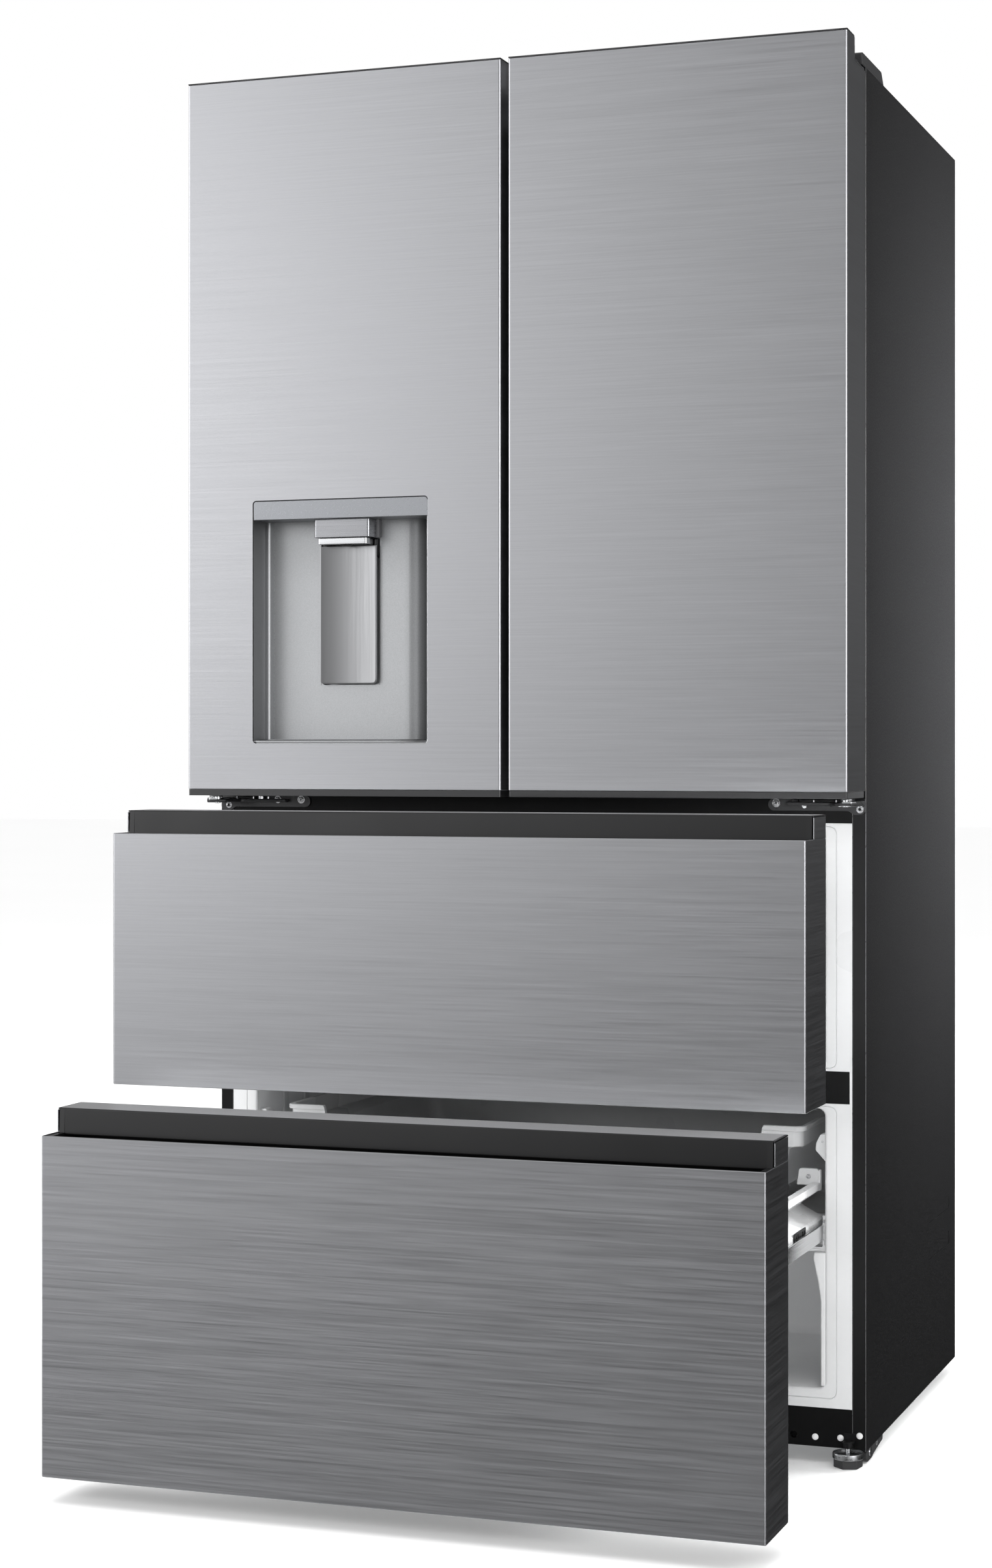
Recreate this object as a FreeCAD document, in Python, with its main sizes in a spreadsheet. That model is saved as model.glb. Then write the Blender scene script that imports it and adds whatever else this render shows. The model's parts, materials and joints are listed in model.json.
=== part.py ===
import FreeCAD, Part
import Sketcher
import math
import os

# Four-door style refrigerator: two side-by-side doors over two full-width drawers.
# Frame: X to the right, Y into the cabinet, Z up.  The origin is at the centre of
# the footprint, on the floor, with both drawers drawn out as they stand at rest.
# Inside the sub-parts, Y is measured from the plane of the closed door fronts, and
# each sub-part's Placement carries it to the row frame.

Vec = FreeCAD.Vector
doc = FreeCAD.newDocument("refrigerator")
sheet = doc.addObject("Spreadsheet::Sheet", "Dims")

SIZES = [
    # alias, millimetres, meaning
    ("front_y", -153.45, "door front plane in the row frame"),
    ("width", 890.0, "width of cabinet, doors and drawers"),
    ("top_z", 1759.0, "top of the cabinet shell"),
    ("side_lo", 18.5, "lower edge of the side panels"),
    ("face_y", 105.2, "front face of the cabinet"),
    ("back_y", 707.3, "rear edge of the shell"),
    ("sheet_t", 1.0, "painted steel sheet"),
    ("flange_w", 17.2, "front return of the side panels"),
    ("cavity_w", 784.0, "clear width between the liners"),
    ("liner_t", 2.0, "liner wall"),
    ("cavity_y", 640.0, "rear wall of the cavities"),
    ("foam_lo", 50.0, "underside of the insulation"),
    ("bay_y", 470.0, "front wall of the machine bay"),
    ("bay_z", 235.0, "roof of the machine bay"),
    ("step_y", 440.0, "riser of the step in the freezer floor"),
    ("step_z", 260.0, "tread of the step in the freezer floor"),
    ("fridge_lo", 868.0, "fridge compartment floor"),
    ("fridge_hi", 1715.0, "fridge compartment ceiling"),
    ("upper_lo", 502.3, "upper drawer compartment floor"),
    ("upper_hi", 802.0, "upper drawer compartment ceiling"),
    ("freezer_lo", 94.1, "freezer compartment floor"),
    ("freezer_hi", 447.5, "freezer compartment ceiling"),
    ("rail_a_lo", 808.5, "upper cross rail, lower edge"),
    ("rail_a_hi", 861.5, "upper cross rail, upper edge"),
    ("rail_b_lo", 454.5, "lower cross rail, lower edge"),
    ("rail_b_hi", 495.3, "lower cross rail, upper edge"),
    ("toe_lo", 20.6, "toe rail, lower edge"),
    ("toe_hi", 69.7, "toe rail, upper edge"),
    ("door_gap", 10.0, "gap between the two doors"),
    ("door_t", 100.4, "door thickness"),
    ("door_lo", 840.9, "underside of the doors"),
    ("door_hi", 1784.5, "top of the doors"),
    ("cap_lo", 849.3, "lower edge of the door steel"),
    ("cap_hi", 1782.5, "upper edge of the door steel"),
    ("ridge_y", 40.5, "depth of the full-height front of the doors"),
    ("ledge_z", 1755.9, "top of the doors behind the front"),
    ("skin_t", 1.0, "door and drawer steel"),
    ("edge_rad", 3.0, "outside radius of the steel's upright edges"),
    ("pivot_x", 432.0, "door pin axis from the middle"),
    ("pivot_y", 60.0, "door pin axis behind the door front"),
    ("pin_rad", 5.0, "door pin radius"),
    ("pin_play", 0.06, "running clearance of the door pins"),
    ("drawer_t", 100.3, "drawer front thickness"),
    ("grip_y", 40.6, "set-back of the grip block"),
    ("upper_open", 216.4, "how far the upper drawer stands open"),
    ("upper_steel_lo", 481.5, "upper drawer steel, lower edge"),
    ("upper_steel_hi", 796.6, "upper drawer steel, upper edge"),
    ("upper_grip_hi", 824.5, "upper drawer grip block, top"),
    ("lower_open", 401.4, "how far the lower drawer stands open"),
    ("lower_steel_lo", 32.1, "lower drawer steel, lower edge"),
    ("lower_steel_hi", 439.9, "lower drawer steel, upper edge"),
    ("lower_grip_hi", 468.8, "lower drawer grip block, top"),
    ("disp_left", -351.1, "dispenser opening, left edge"),
    ("disp_right", -104.3, "dispenser opening, right edge"),
    ("disp_lo", 909.4, "dispenser opening, lower edge"),
    ("disp_hi", 1228.7, "dispenser opening, upper edge"),
    ("disp_deep", 45.0, "depth of the dispenser recess"),
    ("disp_slot", 57.0, "depth of the pocket behind the paddle"),
    ("foot_x", 424.0, "levelling foot axis from the middle"),
    ("foot_y", 97.0, "levelling foot axis behind the door front"),
    ("runner_len", 486.0, "length of each runner member"),
    ("runner_y", 114.0, "front end of the cabinet members"),
    ("upper_run_z", 648.0, "centre line of the upper runners"),
    ("lower_run_z", 290.0, "centre line of the lower runners"),
    ("roller_rad", 17.0, "rear roller radius"),
    ("fan_rad", 62.0, "condenser fan radius"),
]


class Dim:
    # a sheet cell, or a sum of cells, with its number and its expression together
    def __init__(self, value, text):
        self.value = float(value)
        self.text = text

    def mix(self, other, sign, result, swap=False):
        text = other.text if isinstance(other, Dim) else repr(float(other))
        pair = (text, self.text) if swap else (self.text, text)
        return Dim(result, "(%s %s %s)" % (pair[0], sign, pair[1]))

    def __add__(self, o):
        return self.mix(o, "+", self.value + float(o))

    def __radd__(self, o):
        return self.mix(o, "+", self.value + float(o), True)

    def __sub__(self, o):
        return self.mix(o, "-", self.value - float(o))

    def __rsub__(self, o):
        return self.mix(o, "-", float(o) - self.value, True)

    def __mul__(self, o):
        return self.mix(o, "*", self.value * float(o))

    def __rmul__(self, o):
        return self.mix(o, "*", self.value * float(o), True)

    def __truediv__(self, o):
        return self.mix(o, "/", self.value / float(o))

    def __neg__(self):
        return Dim(-self.value, "(0 - %s)" % self.text)

    def __float__(self):
        return self.value


class Cells:
    pass


S = Cells()
for row, (alias, value, meaning) in enumerate(SIZES, 1):
    sheet.set("A%d" % row, meaning)
    sheet.set("B%d" % row, "%s" % value)
    sheet.setAlias("B%d" % row, alias)
    setattr(S, alias, Dim(value, "Dims.%s" % alias))
doc.recompute()

half = S.width / 2
door_w = half - S.door_gap / 2
SUBPARTS = []


def bind(obj, prop, value):
    # put a size on a property, bound to the sheet where it comes from there
    if isinstance(value, Dim):
        obj.setExpression(prop, value.text)
    else:
        parts = prop.split(".")
        if len(parts) == 1:
            setattr(obj, prop, value)
        else:
            obj.setExpression(prop, repr(float(value)))


def place(obj, shift=0.0):
    # carry a sub-part from the door front plane to the row frame
    y = S.front_y - shift if isinstance(shift, Dim) or shift else S.front_y
    obj.setExpression("Placement.Base.y", y.text)


def keep(obj, label):
    obj.Label = label
    SUBPARTS.append(obj)
    return obj


# ---------------------------------------------------------------- primitives


def box(name, x, y, z, shift=0.0):
    b = doc.addObject("Part::Box", name)
    bind(b, "Length", x[1] - x[0])
    bind(b, "Width", y[1] - y[0])
    bind(b, "Height", z[1] - z[0])
    bind(b, "Placement.Base.x", x[0])
    bind(b, "Placement.Base.y", S.front_y + y[0] - shift)
    bind(b, "Placement.Base.z", z[0])
    return b


def cyl(name, radius, start, length, axis="z", shift=0.0):
    c = doc.addObject("Part::Cylinder", name)
    turn = {"z": (Vec(0, 0, 1), 0), "x": (Vec(0, 1, 0), 90), "y": (Vec(1, 0, 0), -90)}[axis]
    c.Placement = FreeCAD.Placement(Vec(), FreeCAD.Rotation(*turn))
    bind(c, "Radius", radius)
    bind(c, "Height", length)
    bind(c, "Placement.Base.x", start[0])
    bind(c, "Placement.Base.y", S.front_y + start[1] - shift)
    bind(c, "Placement.Base.z", start[2])
    return c


def fuse(name, shapes):
    f = doc.addObject("Part::MultiFuse", name)
    f.Shapes = shapes
    f.Refine = True
    return f


def cut(name, base, tools):
    c = doc.addObject("Part::Cut", name)
    c.Base = base
    c.Tool = tools[0] if len(tools) == 1 else group(name + "_tools", tools)
    return c


def group(name, shapes):
    # several separate solids of one kind
    g = doc.addObject("Part::Compound", name)
    g.Links = shapes
    return g


def soften(name, base, radius, picks):
    # round the straight edges of a primitive or boolean
    doc.recompute()
    f = doc.addObject("Part::Fillet", name)
    f.Base = base
    f.Edges = [(i, float(radius), float(radius)) for i in edge_numbers(base.Shape, picks)]
    return f


# ---------------------------------------------------------------- bodies


def edge_numbers(shape, picks):
    # numbers of the edges whose direction and middle match one of the picks:
    # ("x", {"y": 1.0, "z": 2.0}) is an edge along X through y=1, z=2
    found = []
    for i, e in enumerate(shape.Edges, 1):
        if e.Curve.TypeId != "Part::GeomLine":
            continue
        a, b = e.Vertexes[0].Point, e.Vertexes[-1].Point
        d = (b - a).normalize()
        m = (a + b) * 0.5
        for axis, at in picks:
            along = abs(getattr(d, axis)) > 0.999
            if along and all(abs(getattr(m, k) - float(v)) < 0.06 for k, v in at.items()):
                found.append(i)
                break
    if not found:
        raise ValueError("no edge matches %s" % picks)
    return found


NORMAL = {"XY_Plane": 1, "XZ_Plane": -1, "YZ_Plane": 1}


def sketch(body, name, plane, level):
    s = body.newObject("Sketcher::SketchObject", name)
    for feature in body.Origin.OriginFeatures:
        if getattr(feature, "Role", "") == plane:
            s.AttachmentSupport = [(feature, "")]
    s.MapMode = "FlatFace"
    offset = level * NORMAL[plane]
    s.AttachmentOffset = FreeCAD.Placement(Vec(0, 0, float(offset)), FreeCAD.Rotation())
    if isinstance(offset, Dim):
        s.setExpression("AttachmentOffset.Base.z", offset.text)
    return s


def outline(s, points):
    # closed polygon, every corner held by two distances from the origin
    first = s.GeometryCount
    n = len(points)
    nums = [(float(a), float(b)) for a, b in points]
    for i in range(n):
        a, b = nums[i], nums[(i + 1) % n]
        s.addGeometry(Part.LineSegment(Vec(a[0], a[1], 0), Vec(b[0], b[1], 0)), False)
    for i in range(n):
        s.addConstraint(Sketcher.Constraint("Coincident", first + i, 2, first + (i + 1) % n, 1))
    for i in range(n):
        for kind, value in (("DistanceX", points[i][0]), ("DistanceY", points[i][1])):
            k = s.addConstraint(Sketcher.Constraint(kind, -1, 1, first + i, 1, float(value)))
            if isinstance(value, Dim):
                s.setExpression("Constraints[%d]" % k, value.text)


def ring(s, centre, radius):
    g = s.addGeometry(Part.Circle(Vec(float(centre[0]), float(centre[1]), 0), Vec(0, 0, 1), float(radius)), False)
    for kind, value in (("DistanceX", centre[0]), ("DistanceY", centre[1])):
        k = s.addConstraint(Sketcher.Constraint(kind, -1, 1, g, 3, float(value)))
        if isinstance(value, Dim):
            s.setExpression("Constraints[%d]" % k, value.text)
    k = s.addConstraint(Sketcher.Constraint("Radius", g, float(radius)))
    if isinstance(radius, Dim):
        s.setExpression("Constraints[%d]" % k, radius.text)


def rect(x, z):
    return [(x[0], z[0]), (x[1], z[0]), (x[1], z[1]), (x[0], z[1])]


class Piece:
    # a solid that grows feature by feature
    def __init__(self, name, shift=0.0):
        self.body = doc.addObject("PartDesign::Body", name)
        self.n = 0
        self.name = name
        self.shift = shift

    def _next(self, kind):
        self.n += 1
        return "%s_%s%d" % (self.name, kind, self.n)

    def _shape(self, plane, level, outlines, circles):
        s = sketch(self.body, self._next("sketch"), plane, level)
        for points in outlines:
            outline(s, points)
        for centre, radius in circles:
            ring(s, centre, radius)
        return s

    def pad(self, plane, lo, hi, outlines=(), circles=()):
        # solid between two levels along the plane's own axis
        start = hi if NORMAL[plane] < 0 else lo
        s = self._shape(plane, start, outlines, circles)
        p = self.body.newObject("PartDesign::Pad", self._next("pad"))
        p.Profile = s
        bind(p, "Length", hi - lo)
        self.tip = p
        return self

    def pocket(self, plane, lo, hi, outlines=(), circles=()):
        start = lo if NORMAL[plane] < 0 else hi
        s = self._shape(plane, start, outlines, circles)
        doc.recompute()
        before = self.tip.Shape.Volume
        p = self.body.newObject("PartDesign::Pocket", self._next("pocket"))
        p.Profile = s
        p.Type = 0
        bind(p, "Length", hi - lo)
        doc.recompute()
        if not p.Shape.Volume < before - 1e-3:
            raise ValueError("%s cuts nothing" % p.Name)
        self.tip = p
        return self

    def turn(self, plane, level, points, axis_line, groove=False):
        # revolve a polygon about a sketch axis
        s = self._shape(plane, level, [points], [])
        p = self.body.newObject("PartDesign::Groove" if groove else "PartDesign::Revolution", self._next("turn"))
        p.Profile = s
        p.ReferenceAxis = (s, [axis_line])
        p.Angle = 360
        self.tip = p
        return self

    def fillet(self, radius, *picks):
        doc.recompute()
        names = ["Edge%d" % i for i in edge_numbers(self.tip.Shape, picks)]
        f = self.body.newObject("PartDesign::Fillet", self._next("fillet"))
        f.Base = (self.tip, names)
        bind(f, "Radius", radius)
        self.tip = f
        return self

    def chamfer(self, size, *picks):
        doc.recompute()
        names = ["Edge%d" % i for i in edge_numbers(self.tip.Shape, picks)]
        f = self.body.newObject("PartDesign::Chamfer", self._next("chamfer"))
        f.Base = (self.tip, names)
        bind(f, "Size", size)
        self.tip = f
        return self

    def repeat(self, feature, axis, length, count):
        p = self.body.newObject("PartDesign::LinearPattern", self._next("pattern"))
        p.Originals = [feature]
        for f in self.body.Origin.OriginFeatures:
            if getattr(f, "Role", "") == axis:
                p.Direction = (f, [""])
        bind(p, "Length", length)
        p.Occurrences = count
        self.body.Tip = p
        self.tip = p
        return self

    def done(self, label=None):
        place(self.body, self.shift)
        if label:
            keep(self.body, label)
        return self.body


def solid(name, shape, label=None, shift=0.0):
    # a shape made directly, where neither features nor primitives fit
    f = doc.addObject("Part::Feature", name)
    f.Shape = shape
    place(f, shift)
    if label:
        keep(f, label)
    return f


# ================================================================ cabinet

t = S.sheet_t
shell = Piece("cabinet_wrap")
shell.pad("XZ_Plane", S.face_y, S.back_y, [[
    (-half, S.side_lo), (-half, S.top_z), (half, S.top_z), (half, S.side_lo),
    (half - t, S.side_lo), (half - t, S.top_z - t), (-half + t, S.top_z - t), (-half + t, S.side_lo)]])
# two shallow stamped bars low on each side
for lo, hi in ((242.6, 260.0), (191.5, 209.5)):
    shell.pocket("YZ_Plane", half - 0.55, half, [rect((501.0, 662.0), (lo, hi))])
    shell.pocket("YZ_Plane", -half, -half + 0.55, [rect((501.0, 662.0), (lo, hi))])
picks = []
for x in (444.725, -444.725):
    for y in (501.0, 662.0):
        for z in (242.6, 260.0, 191.5, 209.5):
            picks.append(("x", {"x": x, "y": y, "z": z}))
shell.fillet(5.0, *picks)
shell.fillet(0.8, ("z", {"x": half, "y": S.face_y}), ("z", {"x": -half, "y": S.face_y}))
shell.done()
# returns round the front opening, spot-welded inside the wrap
ret_y, ret_z = (S.face_y, S.face_y + t), (S.toe_lo + 0.4, S.top_z - t)
returns = [
    box("return_left", (-half + t, -half + S.flange_w), ret_y, ret_z),
    box("return_right", (half - S.flange_w, half - t), ret_y, ret_z),
    box("return_top", (-half + S.flange_w, half - S.flange_w), ret_y, (S.top_z - S.flange_w, S.top_z - t)),
]
keep(group("cabinet_shell_set", [shell.body] + returns), "cabinet_shell")

# rear panel over the insulation and the slotted cover of the machine bay
panel = Piece("rear_sheet")
panel.pad("XZ_Plane", S.back_y, S.back_y + t, [rect((-half, half), (264.0, S.top_z))])
panel.pocket("XZ_Plane", S.back_y + 0.5, S.back_y + t, [rect((-330.0, -318.0), (340.0, 1690.0))])
rib = panel.tip
panel.repeat(rib, "X_Axis", 648.0, 7)
panel.done()
cover = Piece("bay_sheet")
cover.pad("XZ_Plane", S.back_y, S.back_y + t, [rect((-440.0, 440.0), (44.0, 262.0))])
cover.pocket("XZ_Plane", S.back_y, S.back_y + t, [rect((-400.0, -340.0), (z, z + 4.0)) for z in (70.0, 84.0, 98.0, 112.0, 126.0, 140.0, 154.0, 168.0, 182.0, 196.0, 210.0)])
slot = cover.tip
cover.repeat(slot, "X_Axis", 320.0, 5)
cover.done()
keep(group("rear_panels", [panel.body, cover.body]), "rear_panels")

# insulation: blocks of foam round the three cavities, and over the machine bay
o = S.cavity_w / 2 + S.liner_t
fy = S.face_y + S.liner_t
hx = half - t
rear = S.cavity_y + S.liner_t
foam = []
for tag, sx in (("left", -1), ("right", 1)):
    xs = (-hx, -o) if sx < 0 else (o, hx)
    foam.append(box("foam_%s_front" % tag, xs, (fy, S.bay_y), (S.foam_lo, S.top_z - t)))
    foam.append(box("foam_%s_rear" % tag, xs, (S.bay_y, S.back_y), (S.bay_z, S.top_z - t)))
foam.append(box("foam_top", (-o, o), (fy, S.back_y), (S.fridge_hi + S.liner_t, S.top_z - t)))
foam.append(box("foam_back", (-o, o), (rear, S.back_y), (S.step_z - S.liner_t, S.fridge_hi + S.liner_t)))
foam.append(box("foam_divider_a", (-o, o), (fy, rear), (S.upper_hi + S.liner_t, S.fridge_lo - S.liner_t)))
foam.append(box("foam_divider_b", (-o, o), (fy, rear), (S.freezer_hi + S.liner_t, S.upper_lo - S.liner_t)))
foam.append(box("foam_floor", (-o, o), (fy, S.bay_y), (S.foam_lo, S.freezer_lo - S.liner_t)))
foam.append(box("foam_riser", (-o, o), (S.step_y + S.liner_t, S.bay_y), (S.freezer_lo - S.liner_t, S.step_z - S.liner_t)))
foam.append(box("foam_bay_roof", (-o, o), (S.bay_y, S.back_y), (S.bay_z, S.step_z - S.liner_t)))
keep(group("insulation_foam", foam), "insulation_foam")

ci = S.cavity_w / 2
fl = half - S.flange_w


def liner(name, lo, hi, face_lo, face_hi, seam, ledges=(), ribs=(), step=False):
    # vacuum-formed tub with a flat front face
    p = Piece(name)
    if step:
        p.pad("YZ_Plane", -o, o, [[
            (fy, lo - S.liner_t), (S.step_y + S.liner_t, lo - S.liner_t), (S.step_y + S.liner_t, S.step_z - S.liner_t),
            (rear, S.step_z - S.liner_t), (rear, hi + S.liner_t), (fy, hi + S.liner_t)]])
    else:
        p.pad("XZ_Plane", fy, rear, [rect((-o, o), (lo - S.liner_t, hi + S.liner_t))])
    p.pad("XZ_Plane", S.face_y, fy, [rect((-fl, fl), (face_lo, face_hi))])
    if step:
        p.pocket("YZ_Plane", -ci, ci, [[
            (S.face_y, lo), (S.step_y, lo), (S.step_y, S.step_z), (S.cavity_y, S.step_z), (S.cavity_y, hi), (S.face_y, hi)]])
        corners = [("y", {"x": sx * 392.0, "z": z, "y": y}) for sx in (-1, 1) for z, y in ((lo, 272.6), (hi, 372.6), (S.step_z, 540.0))]
        corners += [("z", {"x": sx * 392.0, "y": 440.0}) for sx in (-1, 1)]
    else:
        p.pocket("XZ_Plane", S.face_y, S.cavity_y, [rect((-ci, ci), (lo, hi))])
        corners = [("y", {"x": sx * 392.0, "z": z, "y": 372.6}) for sx in (-1, 1) for z in (lo, hi)]
    p.fillet(7.0, *corners)
    # thin moulded seam round the opening
    w = 1.0
    a, b = seam
    p.pocket("XZ_Plane", S.face_y, S.face_y + 0.7, [
        rect((-407.9, 407.9), (a, b)), rect((-407.9 + w, 407.9 - w), (a + w, b - w))])
    for y, z in ledges:
        for sx in ((-392.0, -383.0), (383.0, 392.0)):
            p.pad("YZ_Plane", sx[0], sx[1], [rect(y, z)])
    for y, z in ribs:
        for sx in ((-392.0, -389.6), (389.6, 392.0)):
            p.pad("YZ_Plane", sx[0], sx[1], [rect(y, z)])
    return p


shelf_z = (1080.0, 1243.0, 1398.0, 1553.0)
p = liner("fridge_liner", S.fridge_lo, S.fridge_hi, S.rail_a_hi, S.top_z - S.flange_w, (864.0, 1735.0),
          ledges=[((240.0, 622.0), (z - 9.0, z)) for z in shelf_z])
p.done()
tubs = [p.body]
p = liner("upper_drawer_liner", S.upper_lo, S.upper_hi, S.rail_b_hi, S.rail_a_lo, (498.6, 805.2))
p.done()
tubs.append(p.body)
p = liner("freezer_liner", S.freezer_lo, S.freezer_hi, S.toe_hi, S.rail_b_lo, (81.0, 451.2), step=True,
          ribs=[((y, y + 16.0), (330.0, 440.0)) for y in (190.0, 262.0, 420.0, 520.0)])
p.done()
tubs.append(p.body)
keep(group("cavity_liners", tubs), "cavity_liners")

# steel rails across the front, and the toe rail with its lower return
rails = [
    box("upper_rail", (-fl, fl), (S.face_y, fy), (S.rail_a_lo, S.rail_a_hi)),
    box("lower_rail", (-fl, fl), (S.face_y, fy), (S.rail_b_lo, S.rail_b_hi)),
]
toe = Piece("toe_rail")
toe.pad("XZ_Plane", S.face_y, S.face_y + 1.5, [rect((-fl, fl), (S.toe_lo, S.toe_hi))])
toe.pad("YZ_Plane", -402.0, 402.0, [rect((S.face_y + 1.5, 128.0), (S.toe_lo, S.toe_lo + 1.5))])
toe.pocket("XZ_Plane", S.face_y, S.face_y + 1.5, [], [((-352.0, 33.5), 4.6), ((352.0, 33.5), 4.6)])
toe.done()


def caps_at(points, radius, y0, y1):
    made = []
    for x, z in points:
        c = Part.makeCylinder(radius, y1 - y0, Vec(x, y1, z), Vec(0, -1, 0))
        edge = [e for e in c.Edges if abs(e.CenterOfMass.y - y0) < 1e-4 and e.Curve.TypeId == "Part::GeomCircle"]
        made.append(c.makeFillet((y1 - y0) * 0.6, edge))
    return made


spots = [(sx * x, z) for sx in (-1, 1) for x, z in ((380.0, 32.6), (412.5, 33.6), (437.0, 37.9))]
keep(group("front_rails", rails + [toe.body]), "front_rails")
solid("toe_rail_caps", Part.makeCompound(caps_at(spots, 3.6, 103.4, 105.2)), "toe_rail_caps")

# fixed post between the doors, that both gaskets close on
post = Piece("centre_post")
post.pad("XY_Plane", S.fridge_lo, S.fridge_hi, [rect((-24.0, 24.0), (S.face_y, 131.2))])
post.fillet(4.0, ("z", {"x": 24.0, "y": 131.2}), ("z", {"x": -24.0, "y": 131.2}))
post.done("centre_post")

# bottom plate, stepping down to carry the compressor
pan = Piece("base_pan")
pan.pad("YZ_Plane", -hx + 0.2, hx - 0.2, [[
    (fy + 0.2, 48.5), (468.5, 48.5), (468.5, 40.0), (706.0, 40.0), (706.0, 62.0), (704.5, 62.0), (704.5, 41.5),
    (470.0, 41.5), (470.0, 50.0), (fy + 0.2, 50.0)]])
pan.done("base_pan")

# ================================================================ machine bay

comp = Piece("compressor_can")
comp.pad("XY_Plane", 60.0, 190.0, [], [((235.0, 590.0), 78.0)])
comp.pad("XY_Plane", 52.0, 56.0, [rect((145.0, 325.0), (515.0, 665.0))])
comp.pad("XY_Plane", 56.0, 60.0, [], [((235.0, 590.0), 60.0)])
comp.pad("XZ_Plane", 560.0, 620.0, [rect((308.0, 330.0), (100.0, 150.0))])
comp.done()
doc.recompute()
comp.body.newObject("PartDesign::Fillet", "compressor_dome")
dome = doc.getObject("compressor_dome")
dome.Base = (comp.tip, ["Edge%d" % (i + 1) for i, e in enumerate(comp.tip.Shape.Edges) if e.Curve.TypeId == "Part::GeomCircle" and abs(e.CenterOfMass.z - 190.0) < 0.01])
dome.Radius = 30.0
mounts = [cyl("compressor_mount%d" % i, 11.0, (x, y, 41.5), 10.5) for i, (x, y) in enumerate(((158.0, 528.0), (312.0, 528.0), (158.0, 652.0), (312.0, 652.0)))]
keep(group("compressor_set", [comp.body] + mounts), "compressor")


def tube_path(points, bend, radius):
    # round tube along straight runs joined by tangent arcs
    edges, last = [], points[0]
    for i in range(1, len(points) - 1):
        a, b, c = points[i - 1], points[i], points[i + 1]
        u, w = (b - a).normalize(), (c - b).normalize()
        ang = u.getAngle(w)
        d = bend * math.tan(ang / 2)
        s0, s1 = b - u * d, b + w * d
        mid = b + (w - u).normalize() * (bend / math.cos(ang / 2) - bend)
        edges += [Part.LineSegment(last, s0).toShape(), Part.Arc(s0, mid, s1).toShape()]
        last = s1
    edges.append(Part.LineSegment(last, points[-1]).toShape())
    path = Part.Wire(edges)
    d0 = (points[1] - points[0]).normalize()
    ringw = Part.Wire([Part.Circle(points[0], d0, radius).toShape()])
    return path.makePipeShell([ringw], True, False)


def serpentine(x0, x1, y, z0, z1, rows, sweep):
    pts = []
    for k in range(rows):
        z = z0 + (z1 - z0) * k / (rows - 1)
        ends = (x0, x1) if k % 2 == 0 else (x1, x0)
        pts += [Vec(ends[0], y, z), Vec(ends[1], y, z)]
    return pts


coil = tube_path(serpentine(-395.0, -190.0, 590.0, 72.0, 204.0, 7, 0), 10.5, 4.0)
fins = [Part.makeBox(0.8, 60.0, 148.0, Vec(-378.0 + 13.0 * k, 560.0, 64.0)) for k in range(14)]
fin_set = [f.cut(coil) for f in fins]
shape = Part.makeCompound([coil] + [s for f in fin_set for s in f.Solids])
solid("condenser_coil", shape, "condenser_coil")

fanb = Piece("fan_bracket")
fanb.pad("YZ_Plane", -120.0, -117.0, [rect((520.0, 660.0), (56.0, 206.0))])
fanb.pocket("YZ_Plane", -120.0, -117.0, [], [((590.0, 130.0), S.fan_rad + 3.0)])
fanb.pad("YZ_Plane", -117.0, -100.0, [rect((526.0, 654.0), (56.0, 60.0))])
fanb.pad("YZ_Plane", -92.0, -64.0, [], [((590.0, 130.0), 21.0)])
fanb.pad("YZ_Plane", -100.0, -92.0, [rect((582.0, 598.0), (56.0, 206.0))])
fanb.pad("YZ_Plane", -117.0, -100.0, [rect((582.0, 598.0), (196.5, 206.0))])
fanb.pad("YZ_Plane", -120.0, -92.0, [rect((582.0, 598.0), (41.5, 60.0))])
fanb.pocket("YZ_Plane", -100.0, -88.0, [], [((590.0, 130.0), 3.05)])
fanb.done("fan_bracket")


def fan_shape():
    hub = Part.makeCylinder(17.0, 14.0, Vec(-116.0, 590.0, 130.0), Vec(1, 0, 0))
    shaft = Part.makeCylinder(3.0, 12.0, Vec(-102.0, 590.0, 130.0), Vec(1, 0, 0))
    blades = []
    for k in range(5):
        blade = Part.makeBox(2.0, 34.0, float(S.fan_rad) - 15.0, Vec(-1.0, -17.0, 15.0))
        blade.rotate(Vec(), Vec(0, 0, 1), 28.0)
        blade = blade.common(Part.makeCylinder(float(S.fan_rad), 40.0, Vec(-20.0, 0, 0), Vec(1, 0, 0)))
        blade.translate(Vec(-109.0, 590.0, 130.0))
        blade.rotate(Vec(-109.0, 590.0, 130.0), Vec(1, 0, 0), 72.0 * k)
        slab = Part.makeBox(13.4, 400.0, 400.0, Vec(-115.7, 390.0, -70.0))
        blades.append(blade.common(slab))
    return hub.fuse([shaft] + blades).removeSplitter()


solid("condenser_fan", fan_shape(), "condenser_fan")

tray = Piece("drain_pan")
tray.pad("XY_Plane", 41.5, 62.0, [rect((-60.0, 120.0), (500.0, 680.0))])
tray.pocket("XY_Plane", 43.5, 62.0, [rect((-58.0, 118.0), (502.0, 678.0))])
tray.done("drain_pan")

inlet = Piece("mains_inlet")
inlet.pad("XZ_Plane", 690.0, S.back_y - 0.0, [rect((352.0, 402.0), (226.0, 234.9))])
inlet.pad("XZ_Plane", 676.0, 704.0, [rect((356.0, 398.0), (186.0, 226.0))])
inlet.pocket("XZ_Plane", 684.0, 704.0, [rect((363.0, 391.0), (192.0, 214.0))])
inlet.done("mains_inlet")

# evaporator block behind its cover, at the back of the upper drawer compartment
evap = tube_path(serpentine(-250.0, 250.0, 624.0, 540.0, 740.0, 9, 0), 11.5, 4.0)
efins = [Part.makeBox(0.8, 24.0, 224.0, Vec(-225.0 + 25.0 * k, 612.0, 528.0)) for k in range(19)]
solid("evaporator", Part.makeCompound([evap] + [s for f in efins for s in f.cut(evap).Solids]), "evaporator")

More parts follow.
